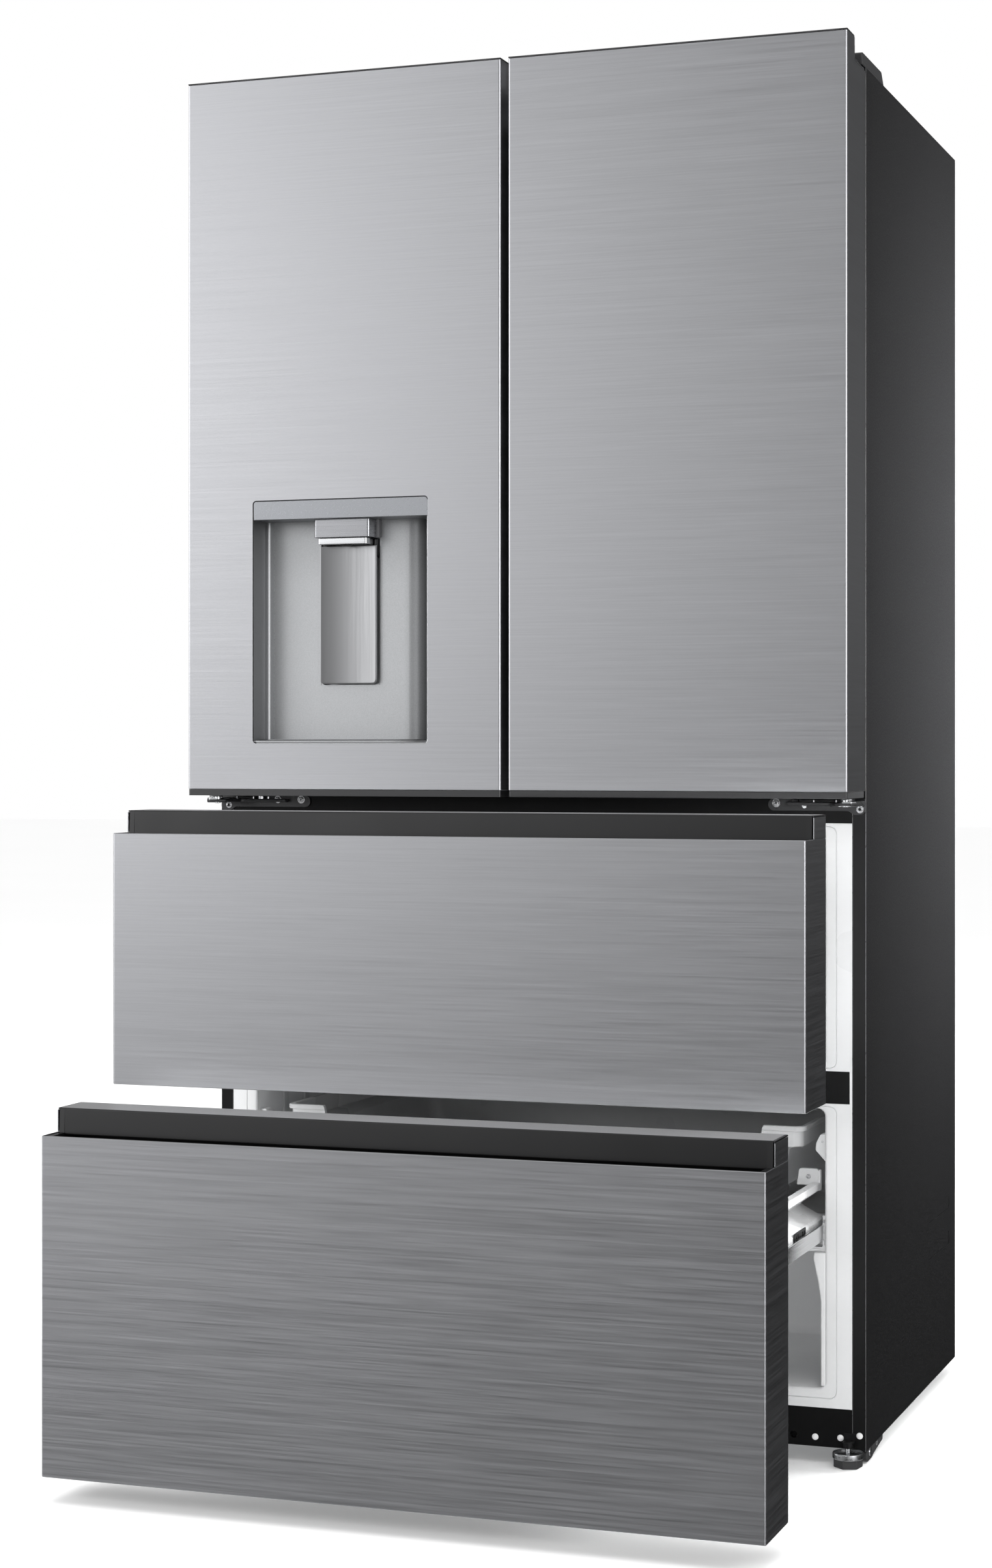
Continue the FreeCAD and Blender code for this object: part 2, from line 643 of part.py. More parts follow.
# duct cover at the back of the fridge compartment and the evaporator's cover
duct = Piece("duct_panel")
duct.pad("XY_Plane", 1092.0, 1700.0, [[(-150.0, 640.0), (-150.0, 634.0), (-120.0, 626.5), (120.0, 626.5), (150.0, 634.0), (150.0, 640.0)]])
for z in (1180.0, 1330.0, 1480.0, 1630.0):
    duct.pocket("XZ_Plane", 626.0, 632.0, [rect((-70.0 + 28.0 * k, -50.0 + 28.0 * k), (z, z + 7.0)) for k in range(5)])
duct.done()
ecov = Piece("evaporator_panel")
ecov.pad("XZ_Plane", 604.0, 607.0, [rect((-384.0, 384.0), (506.0, 798.0))])
ecov.pad("YZ_Plane", -384.0, -381.0, [rect((607.0, 640.0), (512.0, 792.0))])
ecov.pad("YZ_Plane", 381.0, 384.0, [rect((607.0, 640.0), (512.0, 792.0))])
ecov.pocket("XZ_Plane", 604.0, 607.0, [rect((-140.0 + 60.0 * k, -100.0 + 60.0 * k), (774.0, 782.0)) for k in range(5)])
ecov.done()
keep(group("duct_covers", [duct.body, ecov.body]), "duct_covers")

lamp = Piece("ceiling_lamp")
lamp.pad("XY_Plane", 1709.0, 1715.0, [rect((-120.0, 120.0), (330.0, 380.0))])
lamp.chamfer(4.0, ("x", {"y": 330.0, "z": 1709.0}), ("x", {"y": 380.0, "z": 1709.0}))
lamp.done("ceiling_lamp")

# ================================================================ fridge compartment

panes = []
for i, z in enumerate(shelf_z):
    pane = Piece("pane%d" % i)
    pane.pad("XY_Plane", z, z + 5.0, [rect((-390.5, 390.5), (240.0, 622.0))])
    pane.pad("XZ_Plane", 232.0, 240.0, [rect((-388.0, 388.0), (z - 9.0, z + 9.0))])
    pane.fillet(2.0, ("x", {"y": 232.0, "z": z + 9.0}), ("x", {"y": 232.0, "z": z - 9.0}))
    pane.done()
    panes.append(pane.body)
keep(group("glass_shelves", panes), "glass_shelves")

crispers = []
for i, (a, b) in enumerate(((-380.0, -4.0), (4.0, 380.0))):
    c = Piece("crisper%d" % i)
    c.pad("XY_Plane", 872.0, 1062.0, [rect((a + 6.0, b - 6.0), (246.0, 600.0))])
    c.pad("XZ_Plane", 236.0, 246.0, [rect((a, b), (870.5, 1068.0))])
    c.pocket("XY_Plane", 875.0, 1068.0, [rect((a + 9.0, b - 9.0), (249.0, 597.0))])
    c.pocket("XZ_Plane", 236.0, 246.0, [rect((a + 90.0, b - 90.0), (1034.0, 1054.0))])
    c.fillet(6.0, ("x", {"y": 236.0, "z": 1068.0}))
    c.done()
    crispers.append(c.body)
keep(group("crisper_drawers", crispers), "crisper_drawers")

# ================================================================ hinges

px, py = S.pivot_x, S.pivot_y
hinges = []
for tag, sx in (("left", -1), ("right", 1)):
    p = Piece("top_hinge_%s" % tag)
    xs = lambda a, b: (sx * a, sx * b) if sx > 0 else (sx * b, sx * a)
    p.pad("XY_Plane", S.top_z, S.top_z + 3.5, [rect(xs(372.0, 436.0), (106.0, 188.0))])
    p.pad("XY_Plane", S.top_z, S.top_z + 3.5, [rect(xs(415.0, 440.0), (62.0, 106.0))])
    p.pad("XY_Plane", S.top_z, 1778.0, [], [((sx * 432.0, py), 8.6)])
    p.pad("XY_Plane", 1740.5, S.top_z, [], [((sx * 432.0, py), S.pin_rad)])
    p.done()
    hinges.append(p.body)

covers = []
for tag, sx in (("left", -1), ("right", 1)):
    p = Piece("hinge_cover_%s" % tag)
    lo, hi = (330.0, 445.0) if sx > 0 else (-445.0, -330.0)
    p.pad("YZ_Plane", lo, hi, [[(85.0, S.top_z), (213.5, S.top_z), (199.5, 1774.2), (85.0, 1774.2)]])
    p.pocket("YZ_Plane", lo + 2.0, hi - 2.0, [[(87.0, S.top_z), (209.0, S.top_z), (197.5, 1772.2), (87.0, 1772.2)]])
    p.pocket("XZ_Plane", 85.0, 87.0, [rect((sx * 442.2, sx * 413.0) if sx < 0 else (413.0, 442.2), (S.top_z, 1764.0))])
    p.fillet(1.5, ("x", {"y": 85.0, "z": 1774.2}), ("x", {"y": 199.5, "z": 1774.2}))
    p.done()
    covers.append(p.body)
keep(group("hinge_covers", covers), "hinge_covers")

mids = []
for tag, sx in (("left", -1), ("right", 1)):
    p = Piece("mid_hinge_%s" % tag)
    xs = lambda a, b: (sx * a, sx * b) if sx > 0 else (sx * b, sx * a)
    p.pad("XZ_Plane", 102.7, S.face_y, [rect(xs(320.0, 444.0), (824.4, 839.3))])
    p.pad("XZ_Plane", 102.7, S.face_y, [rect(xs(430.0, 444.0), (819.0, 824.4))])
    p.pad("XY_Plane", 831.0, 835.0, [[(sx * 345.0, 102.7), (sx * 444.0, 102.7), (sx * 444.0, 56.0), (sx * 438.0, 50.0), (sx * 424.0, 50.0), (sx * 416.0, 56.0), (sx * 405.0, 84.0), (sx * 345.0, 92.0)]])
    p.pad("XY_Plane", 835.0, S.door_lo - 0.3, [], [((sx * 432.0, py), 9.0)])
    p.pad("XY_Plane", S.door_lo - 0.3, 864.0, [], [((sx * 432.0, py), S.pin_rad)])
    p.fillet(6.0, ("y", {"x": sx * 320.0, "z": 824.4}), ("y", {"x": sx * 320.0, "z": 839.3}))
    p.done()
    mids.append(p.body)
keep(group("top_hinges", hinges), "top_hinges")
keep(group("mid_hinges", mids), "mid_hinges")

heads = []
for sx in (-1, 1):
    for x, z, r in ((329.0, 832.5, 4.6), (362.0, 828.0, 0.0), (437.6, 825.4, 3.6)):
        if r:
            heads += caps_at([(sx * x, z)], r, 100.8, 102.7)
    for x, y in ((385.0, 125.0), (385.0, 168.0), (422.0, 168.0)):
        h = Part.makeCylinder(5.0, 3.0, Vec(sx * x, y, 1762.5), Vec(0, 0, 1))
        heads.append(h)
solid("hinge_screws", Part.makeCompound(heads), "hinge_screws")

# ================================================================ doors


def door(tag, sx, hole=None):
    # steel wrapped round the front and both upright sides
    lo, hi = (S.door_gap / 2, half) if sx > 0 else (-half, -(S.door_gap / 2))
    k = S.skin_t
    p = Piece("%s_door_skin" % tag)
    p.pad("XY_Plane", S.cap_lo, S.cap_hi, [[
        (lo, 0.0), (hi, 0.0), (hi, S.door_t - 3.0), (hi - k, S.door_t - 3.0), (hi - k, k), (lo + k, k), (lo + k, S.door_t - 3.0), (lo, S.door_t - 3.0)]])
    p.pocket("YZ_Plane", lo, hi, [rect((S.ridge_y, S.door_t - 3.0), (S.ledge_z - 2.0, S.cap_hi))])
    p.fillet(S.edge_rad, ("z", {"x": lo, "y": 0.0}), ("z", {"x": hi, "y": 0.0}))
    p.fillet(S.edge_rad - k, ("z", {"x": lo + k, "y": k}), ("z", {"x": hi - k, "y": k}))
    if hole:
        p.pocket("XZ_Plane", 0.0, k, [rect(*hole)])
        p.fillet(5.0, *[("y", {"x": x, "z": z}) for x in hole[0] for z in hole[1]])
    p.done("%s_door_skin" % tag)

    # end caps: a lower tub with the pin bush and an upper ridge with its bush ledge
    a = Piece("%s_lower_cap" % tag)
    a.pad("XY_Plane", S.door_lo, S.cap_lo, [rect((lo + 0.3, hi - 0.3), (0.6, 97.0))])
    a.pad("XY_Plane", S.cap_lo, 872.0, [rect((sx * 432.0 - 11.0, sx * 432.0 + 11.0), (py - 14.0, py + 14.0))])
    a.pocket("XY_Plane", S.door_lo, 866.0, [], [((sx * 432.0, py), S.pin_rad + S.pin_play)])
    a.fillet(2.0, ("z", {"x": lo + 0.3, "y": 0.6}), ("z", {"x": hi - 0.3, "y": 0.6}))
    a.done()
    b = Piece("%s_upper_cap" % tag)
    b.pad("XY_Plane", S.cap_hi, S.door_hi, [rect((lo, hi), (0.0, S.ridge_y))])
    b.pad("XY_Plane", 1737.0, S.cap_hi, [rect((lo + k, hi - k), (37.0, S.ridge_y))])
    b.pad("XY_Plane", 1737.0, S.ledge_z - 2.0, [rect((lo + k, hi - k), (S.ridge_y, 97.0))])
    b.pad("XY_Plane", S.ledge_z - 2.0, S.ledge_z, [rect((lo, hi), (S.ridge_y, 97.4))])
    b.pocket("XY_Plane", 1739.0, S.ledge_z, [], [((sx * 432.0, py), S.pin_rad + S.pin_play)])
    b.fillet(S.edge_rad, ("z", {"x": lo, "y": 0.0}), ("z", {"x": hi, "y": 0.0}))
    b.chamfer(0.8, ("x", {"y": 0.0, "z": S.door_hi}))
    b.done()
    keep(group("%s_door_caps" % tag, [a.body, b.body]), "%s_door_caps" % tag)

    # foam core, in blocks round the dispenser where there is one
    blocks = []
    fx = (lo + k + 2.0, hi - k - 2.0)
    top = (1737.0, S.cap_hi)
    # corner blocks step round the bush of the lower cap
    bx = (sx * 432.0 - 11.0, sx * 432.0 + 11.0)
    ends = (fx[0], bx[0]) if sx > 0 else (bx[1], fx[1])
    blocks.append(box("%s_foam_sole" % tag, ends, (k, 97.4), (S.cap_lo, 872.0)))
    blocks.append(box("%s_foam_sole_f" % tag, bx, (k, py - 14.0), (S.cap_lo, 872.0)))
    blocks.append(box("%s_foam_sole_b" % tag, bx, (py + 14.0, 97.4), (S.cap_lo, 872.0)))
    blocks.append(box("%s_foam_ridge" % tag, fx, (k, 37.0), top))
    if hole:
        (hx0, hx1), (hz0, hz1) = hole
        blocks.append(box("%s_foam_below" % tag, fx, (k, 97.4), (872.0, hz0)))
        blocks.append(box("%s_foam_above" % tag, fx, (k, 97.4), (hz1, 1737.0)))
        blocks.append(box("%s_foam_out" % tag, (fx[0], hx0), (k, 97.4), (hz0, hz1)))
        blocks.append(box("%s_foam_in" % tag, (hx1, fx[1]), (k, 97.4), (hz0, hz1)))
        blocks.append(box("%s_foam_behind" % tag, (hx0, hx1), (S.disp_slot + 3.0, 97.4), (hz0, hz1)))
    else:
        blocks.append(box("%s_foam_main" % tag, fx, (k, 97.4), (872.0, 1737.0)))
    keep(group("%s_door_foam" % tag, blocks), "%s_door_foam" % tag)

    # inner liner: flat sheet with a raised frame that carries the bins
    near, far = (52.0, 372.0)
    dx = (near, far) if sx > 0 else (-far, -near)
    p = Piece("%s_liner_sheet" % tag)
    p.pad("XZ_Plane", 97.4, S.door_t, [rect((lo, hi), (S.cap_lo, S.ledge_z - 2.0))])
    p.done()
    dykes = [p.body]
    inner = (dx[0] + 12.0, dx[1] - 12.0)
    for i, (wx, wz, pick) in enumerate((
            ((dx[0], inner[0]), (884.0, 1704.0), ("z", {"x": dx[0], "y": 139.0})),
            ((inner[1], dx[1]), (884.0, 1704.0), ("z", {"x": dx[1], "y": 139.0})),
            (inner, (884.0, 898.0), ("x", {"z": 884.0, "y": 139.0})),
            (inner, (1690.0, 1704.0), ("x", {"z": 1704.0, "y": 139.0})))):
        w = Piece("%s_liner_dyke%d" % (tag, i))
        w.pad("XZ_Plane", S.door_t, 139.0, [rect(wx, wz)])
        w.fillet(4.0, pick)
        w.done()
        dykes.append(w.body)
    keep(group("%s_door_liner_set" % tag, dykes), "%s_door_liner" % tag)

    # gasket: four-sided rubber frame
    g = Piece("%s_door_gasket" % tag)
    gx = (8.0, 426.0) if sx > 0 else (-426.0, -8.0)
    g.pad("XZ_Plane", S.door_t, 104.9, [rect(gx, (863.5 - 14.0, 1752.0)), rect((gx[0] + 13.0, gx[1] - 13.0), (863.5, 1739.0))])
    g.done("%s_door_gasket" % tag)


def bin_at(name, x, y, z, wall=2.5):
    p = Piece(name)
    p.pad("XY_Plane", z[0], z[1], [rect(x, y)])
    p.pocket("XY_Plane", z[0] + wall, z[1], [rect((x[0] + wall, x[1] - wall), (y[0] + wall, y[1] - wall))])
    p.fillet(10.0, ("z", {"x": x[0], "y": y[1]}), ("z", {"x": x[1], "y": y[1]}))
    p.fillet(7.5, ("z", {"x": x[0] + wall, "y": y[1] - wall}), ("z", {"x": x[1] - wall, "y": y[1] - wall}))
    p.done()
    return p.body


door("right", 1)
door("left", -1, ((S.disp_left, S.disp_right), (S.disp_lo, S.disp_hi)))

right_bins = [bin_at("right_bin%d" % i, (64.3, 359.7), (100.8, 205.0), (z, z + hgt))
              for i, (z, hgt) in enumerate(((900.0, 120.0), (1145.0, 105.0), (1325.0, 100.0), (1520.0, 90.0)))]
keep(group("right_door_bins", right_bins), "right_door_bins")
left_bins = [bin_at("left_bin%d" % i, (-359.7, -64.3), (100.8, 205.0), (z, z + hgt))
             for i, (z, hgt) in enumerate(((900.0, 120.0), (1372.0, 100.0), (1535.0, 90.0)))]
keep(group("left_door_bins", left_bins), "left_door_bins")

# water tank behind the dispenser, with its lid as the upper part
tank = Piece("tank")
tank.pad("XY_Plane", 1110.0, 1290.0, [rect((-352.0, -72.0), (101.2, 198.0))])
tank.pocket("XY_Plane", 1112.5, 1290.0, [rect((-349.5, -74.5), (103.7, 195.5))])
tank.done()
lid = Piece("tank_lid")
lid.pad("XY_Plane", 1290.0, 1300.0, [rect((-353.0, -71.0), (101.0, 199.0))])
lid.pocket("XY_Plane", 1297.0, 1300.0, [rect((-300.0, -124.0), (118.0, 182.0))])
lid.done()
keep(group("water_tank", [tank.body, lid.body]), "water_tank")

# ================================================================ dispenser

x0, x1, z0, z1, deep, slot_y = S.disp_left, S.disp_right, S.disp_lo, S.disp_hi, S.disp_deep, S.disp_slot
d = Piece("dispenser_housing")
d.pad("XZ_Plane", 0.0, slot_y + 3.0, [rect((x0, x1), (z0, z1))])
d.fillet(5.0, *[("y", {"x": x, "z": z}) for x in (x0, x1) for z in (z0, z1)])
d.pocket("XZ_Plane", 0.0, deep, [rect((x0 + 2.0, x1 - 2.0), (z0 + 3.5, 1203.1))])
d.fillet(8.0, ("z", {"x": x0 + 2.0, "y": deep}), ("z", {"x": x1 - 2.0, "y": deep}))
d.fillet(4.0, ("x", {"y": deep, "z": z0 + 3.5}))
# pocket that the paddle tips into
d.pocket("XZ_Plane", deep, slot_y, [rect((-271.0, -185.5), (983.0, 1178.9))])
d.done("dispenser_housing")

head = Piece("head_block")
head.pad("XZ_Plane", 12.0, deep, [rect((-268.9, -190.3), (1178.9, 1203.1))])
head.pad("XZ_Plane", 36.0, deep, [rect((-272.0, -180.0), (1179.5, 1203.1))])
head.pad("XZ_Plane", 17.0, 44.0, [rect((-265.5, -196.0), (1170.2, 1178.9))])
head.fillet(3.0, ("z", {"x": -268.9, "y": 12.0}), ("z", {"x": -190.3, "y": 12.0}))
head.done()
nozzle = cyl("outlet", 6.0, (-228.5, 26.0, 1168.6), 4.0)
ears = []
for i, (a, b) in enumerate(((-268.5, -262.0), (-194.5, -188.0))):
    ear = Piece("paddle_ear%d" % i)
    ear.pad("XZ_Plane", 42.0, slot_y, [rect((a, b), (1154.0, 1178.9))])
    ear.pocket("YZ_Plane", a, b, [], [((48.0, 1160.0), 2.57)])
    ear.done()
    ears.append(ear.body)
keep(fuse("dispenser_head", [head.body, nozzle] + ears), "dispenser_head")


def paddle_shape():
    # upright plate, slightly hollow across its width, with a pivot rod near its top
    x_mid, half_w = -228.6, 40.0
    sag, thick = -2.4, 2.6
    lo, hi = 988.2, 1167.6
    y_edge = 33.4
    a = Vec(x_mid - half_w, y_edge, 0)
    b = Vec(x_mid, y_edge - sag, 0)
    c = Vec(x_mid + half_w, y_edge, 0)
    back = Vec(0, thick, 0)
    outer, inner = Part.Arc(a, b, c).toShape(), Part.Arc(a + back, b + back, c + back).toShape()
    wire = Part.Wire([outer, Part.LineSegment(c, c + back).toShape(), inner, Part.LineSegment(a + back, a).toShape()])
    plate = Part.Face(wire).extrude(Vec(0, 0, hi - lo))
    plate.translate(Vec(0, 0, lo))
    corner = [e for e in plate.Edges if e.Curve.TypeId == "Part::GeomLine" and abs(e.CenterOfMass.z - lo) < 0.1]
    plate = plate.makeFillet(6.0, corner)
    arm = Part.makeBox(40.0, 8.0, 14.0, Vec(x_mid - 20.0, 37.0, 1150.0))
    rod = Part.makeCylinder(2.5, 78.0, Vec(-267.25, 48.0, 1160.0), Vec(1, 0, 0))
    boss = Part.makeBox(40.0, 10.0, 10.0, Vec(x_mid - 20.0, 40.0, 1155.0))
    return plate.fuse([arm, boss, rod]).removeSplitter()


solid("dispenser_paddle", paddle_shape(), "dispenser_paddle")

# ================================================================ drawers


def drawer(tag, shift, lo, hi, grip, g_lo, g_hi, dyke_lo, basket):
    k = S.skin_t
    p = Piece("%s_drawer_front" % tag, shift)
    p.pad("XY_Plane", lo, hi, [[
        (-half, 0.0), (half, 0.0), (half, S.drawer_t - 3.0), (half - k, S.drawer_t - 3.0), (half - k, k), (-half + k, k),
        (-half + k, S.drawer_t - 3.0), (-half, S.drawer_t - 3.0)]])
    p.fillet(S.edge_rad, ("z", {"x": -half, "y": 0.0}), ("z", {"x": half, "y": 0.0}))
    p.fillet(S.edge_rad - k, ("z", {"x": -half + k, "y": k}), ("z", {"x": half - k, "y": k}))
    p.done("%s_drawer_front" % tag)

    # dark trim: ledge behind the steel, grip channel, raised block and a sole
    q = Piece("%s_drawer_cap" % tag, shift)
    q.pad("YZ_Plane", -half, half, [[
        (S.grip_y, hi), (S.grip_y + 1.5, grip), (S.drawer_t - 3.0, grip), (S.drawer_t - 3.0, hi)]])
    q.pad("YZ_Plane", -half + k + 2.0, half - k - 2.0, [[
        (k, hi - 30.0), (S.drawer_t - 3.0, hi - 30.0), (S.drawer_t - 3.0, hi), (k, hi)]])
    q.pocket("YZ_Plane", -435.5, 435.5, [[(12.0, hi), (14.0, hi - 22.0), (22.0, hi - 27.0), (60.0, hi - 27.0), (66.0, hi - 20.0), (60.0, hi + 4.0), (S.grip_y, hi)]])
    q.fillet(1.0, ("x", {"y": S.grip_y + 1.5, "z": grip}))
    q.done()
    sole = box("%s_drawer_sole" % tag, (-half + k + 2.0, half - k - 2.0), (k, S.drawer_t - 3.0), (lo, lo + 3.0), shift)
    keep(group("%s_drawer_trim" % tag, [q.body, sole]), "%s_drawer_trim" % tag)

    # inner panel with the foam behind it
    r = Piece("%s_drawer_back" % tag, shift)
    r.pad("XZ_Plane", k, S.drawer_t - 3.0, [rect((-half + k + 2.0, half - k - 2.0), (lo + 3.0, hi - 30.0))])
    r.pad("XZ_Plane", S.drawer_t - 3.0, S.drawer_t, [rect((-half, half), (lo, grip))])
    r.pad("XZ_Plane", S.drawer_t, 112.0, [rect((-372.0, 372.0), (dyke_lo, g_hi - 34.0))])
    r.fillet(8.0, *[("z", {"x": sx * 372.0, "y": 112.0}) for sx in (-1, 1)])
    r.done("%s_drawer_back" % tag)

    g = Piece("%s_drawer_gasket" % tag, shift)
    g.pad("XZ_Plane", S.drawer_t, 104.9, [rect((-426.0, 426.0), (g_lo, g_hi)), rect((-413.0, 413.0), (g_lo + 13.0, g_hi - 13.0))])
    g.done("%s_drawer_gasket" % tag)

    (bx, by, bz) = basket
    c = Piece("%s_drawer_basket" % tag, shift)
    c.pad("XY_Plane", bz[0], bz[1], [rect((-bx, bx), by)])
    c.pad("XY_Plane", bz[1] - 6.0, bz[1], [rect((-bx - 8.0, bx + 8.0), (by[0] - 0.0, by[1] + 4.0))])
    c.pocket("XY_Plane", bz[0] + 2.5, bz[1], [rect((-bx + 2.5, bx - 2.5), (by[0] + 2.5, by[1] - 2.5))])
    c.fillet(14.0, *[("z", {"x": sx * bx, "y": y}) for sx in (-1, 1) for y in (by[1],)])
    c.fillet(11.5, *[("z", {"x": sx * (bx - 2.5), "y": y - e}) for sx in (-1, 1) for y, e in ((by[1], 2.5),)])
    c.done("%s_drawer_basket" % tag)


drawer("upper", S.upper_open, S.upper_steel_lo, S.upper_steel_hi, S.upper_grip_hi, 485.0, 821.0, 519.0,
       (352.0, (112.2, 592.0), (522.0, 668.0)))
drawer("lower", S.lower_open, S.lower_steel_lo, S.lower_steel_hi, S.lower_grip_hi, 42.0, 467.0, 104.0,
       (352.0, (112.2, 432.0), (108.0, 262.0)))


def runners(tag, shift, z):
    # three-part telescopic runners: cabinet member, middle member, drawer member
    y0, y1 = S.runner_y, S.runner_y + S.runner_len
    fixed, middle, moving = [], [], []
    for side, sx in (("left", -1), ("right", 1)):
        m = lambda a, b: (sx * a, sx * b) if sx > 0 else (sx * b, sx * a)
        p = Piece("%s_fixed_%s" % (tag, side))
        p.pad("XZ_Plane", y0, y1, [[(sx * 391.8, z - 22.0), (sx * 391.8, z + 22.0), (sx * 380.0, z + 22.0), (sx * 380.0, z + 20.6),
                                    (sx * 390.4, z + 20.6), (sx * 390.4, z - 20.6), (sx * 380.0, z - 20.6), (sx * 380.0, z - 22.0)]])
        p.done()
        fixed.append(p.body)
        p = Piece("%s_middle_%s" % (tag, side), shift / 2)
        p.pad("XZ_Plane", y0 + 2.0, y1 - 2.0, [[(sx * 389.6, z - 19.8), (sx * 389.6, z + 19.8), (sx * 377.0, z + 19.8), (sx * 377.0, z + 18.4),
                                                (sx * 388.2, z + 18.4), (sx * 388.2, z - 18.4), (sx * 377.0, z - 18.4), (sx * 377.0, z - 19.8)]])
        p.done()
        middle.append(p.body)
        p = Piece("%s_inner_%s" % (tag, side), shift)
        p.pad("XZ_Plane", S.drawer_t, y1 - 4.0, [[(sx * 386.8, z - 16.0), (sx * 386.8, z + 16.0), (sx * 376.0, z + 16.0), (sx * 376.0, z + 14.6),
                                                  (sx * 385.4, z + 14.6), (sx * 385.4, z - 14.6), (sx * 376.0, z - 14.6), (sx * 376.0, z - 16.0)]])
        p.pad("XZ_Plane", 112.0, y1 - 60.0, [rect(m(362.0, 376.0), (z - 16.0, z + 16.0))])
        p.done()
        moving.append(p.body)
    return fixed, middle, moving


uf, um, ui = runners("upper_runner", S.upper_open, S.upper_run_z)
lf, lm, li = runners("lower_runner", S.lower_open, S.lower_run_z)
keep(group("runner_rails", uf + lf), "runner_rails")
keep(group("upper_runner_slides", um), "upper_runner_slides")
keep(group("lower_runner_slides", lm), "lower_runner_slides")
keep(group("upper_drawer_arms", ui), "upper_drawer_arms")
keep(group("lower_drawer_arms", li), "lower_drawer_arms")

# shallow pull-out tray on ledges high in the freezer
q = Piece("freezer_tray")
q.pad("XY_Plane", 330.0, 420.0, [rect((-356.0, 356.0), (134.0, 600.0))])
q.pad("XY_Plane", 414.0, 420.0, [rect((-371.0, 371.0), (130.0, 604.0))])
q.pocket("XY_Plane", 332.5, 420.0, [rect((-353.5, 353.5), (136.5, 597.5))])
q.fillet(12.0, *[("z", {"x": sx * 371.0, "y": y}) for sx in (-1, 1) for y in (130.0, 604.0)])
q.done("freezer_tray")

# ================================================================ feet and rollers

feet = []
for tag, sx in (("left", -1), ("right", 1)):
    fx0, fy0 = sx * 424.0, 97.0
    hexa = [Vec(fx0 + 18.6 * math.cos(math.radians(60 * i + 20)), fy0 + 18.6 * math.sin(math.radians(60 * i + 20)), 0) for i in range(6)]
    pad_ = Part.Face(Part.makePolygon(hexa + [hexa[0]])).extrude(Vec(0, 0, 11.5))
    cup = Part.makeCylinder(19.6, 7.0, Vec(fx0, fy0, 11.5)).cut(Part.makeCylinder(16.6, 5.0, Vec(fx0, fy0, 13.5)))
    stem = Part.makeCylinder(3.4, 18.4, Vec(fx0, fy0, 13.0))
    solid("%s_foot" % tag, pad_.fuse([cup, stem]).removeSplitter(), "%s_foot" % tag)
    # ear with the threaded collar, on the face of the toe rail
    ear = Part.makeBox(14.0, 11.0, 3.2, Vec(fx0 - 7.0, 94.2, 28.4))
    collar = Part.makeCylinder(6.6, 7.6, Vec(fx0, fy0, 24.0))
    plate = Part.makeBox(14.0, 1.5, 12.0, Vec(fx0 - 7.0, 103.7, 28.4))
    ear = ear.fuse([collar, plate]).cut(Part.makeCylinder(3.45, 30.0, Vec(fx0, fy0, 20.0)))
    feet.append(ear)
    # lever that locks the front castor, under the side panel
    xa = 430.0 if sx > 0 else -436.0
    pts = [(118.5, 4.0), (124.0, 1.2), (148.0, 1.2), (160.0, 4.0), (214.0, 10.0), (216.0, 18.0), (206.0, 24.0), (150.0, 24.0), (128.0, 22.0), (118.5, 14.0)]
    wire = Part.makePolygon([Vec(xa, a, b) for a, b in pts + [pts[0]]])
    lever = Part.Face(wire).extrude(Vec(6.0, 0, 0))
    hang = Part.makeBox(6.0, 40.0, 26.0, Vec(xa, 150.0, 22.5))
    lever = lever.fuse(hang).removeSplitter()
    feet.append(lever)
ears_and_levers = solid("ears_and_levers", Part.makeCompound(feet))

rr = S.roller_rad
forks = []
for tag, sx in (("left", -1), ("right", 1)):
    p = Piece("%s_roller" % tag)
    xs = (sx * 400.0 - 11.0, sx * 400.0 + 11.0)
    p.pad("YZ_Plane", xs[0], xs[1], [], [((655.0, rr), rr)])
    p.pocket("YZ_Plane", xs[0], xs[1], [], [((655.0, rr), 4.06)])
    p.done("%s_roller" % tag)
    f = Piece("%s_fork" % tag)
    for x in (sx * 400.0 - 13.5, sx * 400.0 + 11.5):
        f.pad("YZ_Plane", x, x + 2.0, [[(645.0, 12.0), (665.0, 12.0), (672.0, 38.0), (638.0, 38.0)]])
        if x == sx * 400.0 - 13.5:
            f.pad("YZ_Plane", x, x + 27.0, [rect((638.0, 672.0), (38.0, 40.0))])
    f.pad("YZ_Plane", sx * 400.0 - 13.5, sx * 400.0 + 13.5, [], [((655.0, rr), 4.0)])
    f.done()
    forks.append(f.body)
keep(group("foot_brackets", [ears_and_levers] + forks), "foot_brackets")

# ================================================================ output

doc.recompute()
for obj in doc.Objects:
    bad = [s for s in obj.State if s in ("Invalid", "Error")]
    if bad:
        raise RuntimeError("%s is %s" % (obj.Label, bad))
if len(SUBPARTS) > 60:
    raise RuntimeError("too many sub-parts: %s" % [o.Label for o in SUBPARTS])
os.makedirs("parts", exist_ok=True)
for obj in SUBPARTS:
    shape = obj.Shape
    if shape.isNull() or not shape.isValid() or not shape.Solids:
        raise RuntimeError("%s has no valid shape" % obj.Label)
for obj in SUBPARTS:
    obj.Shape.exportStep("parts/%s.step" % obj.Label)
print(len(SUBPARTS), "sub-parts")
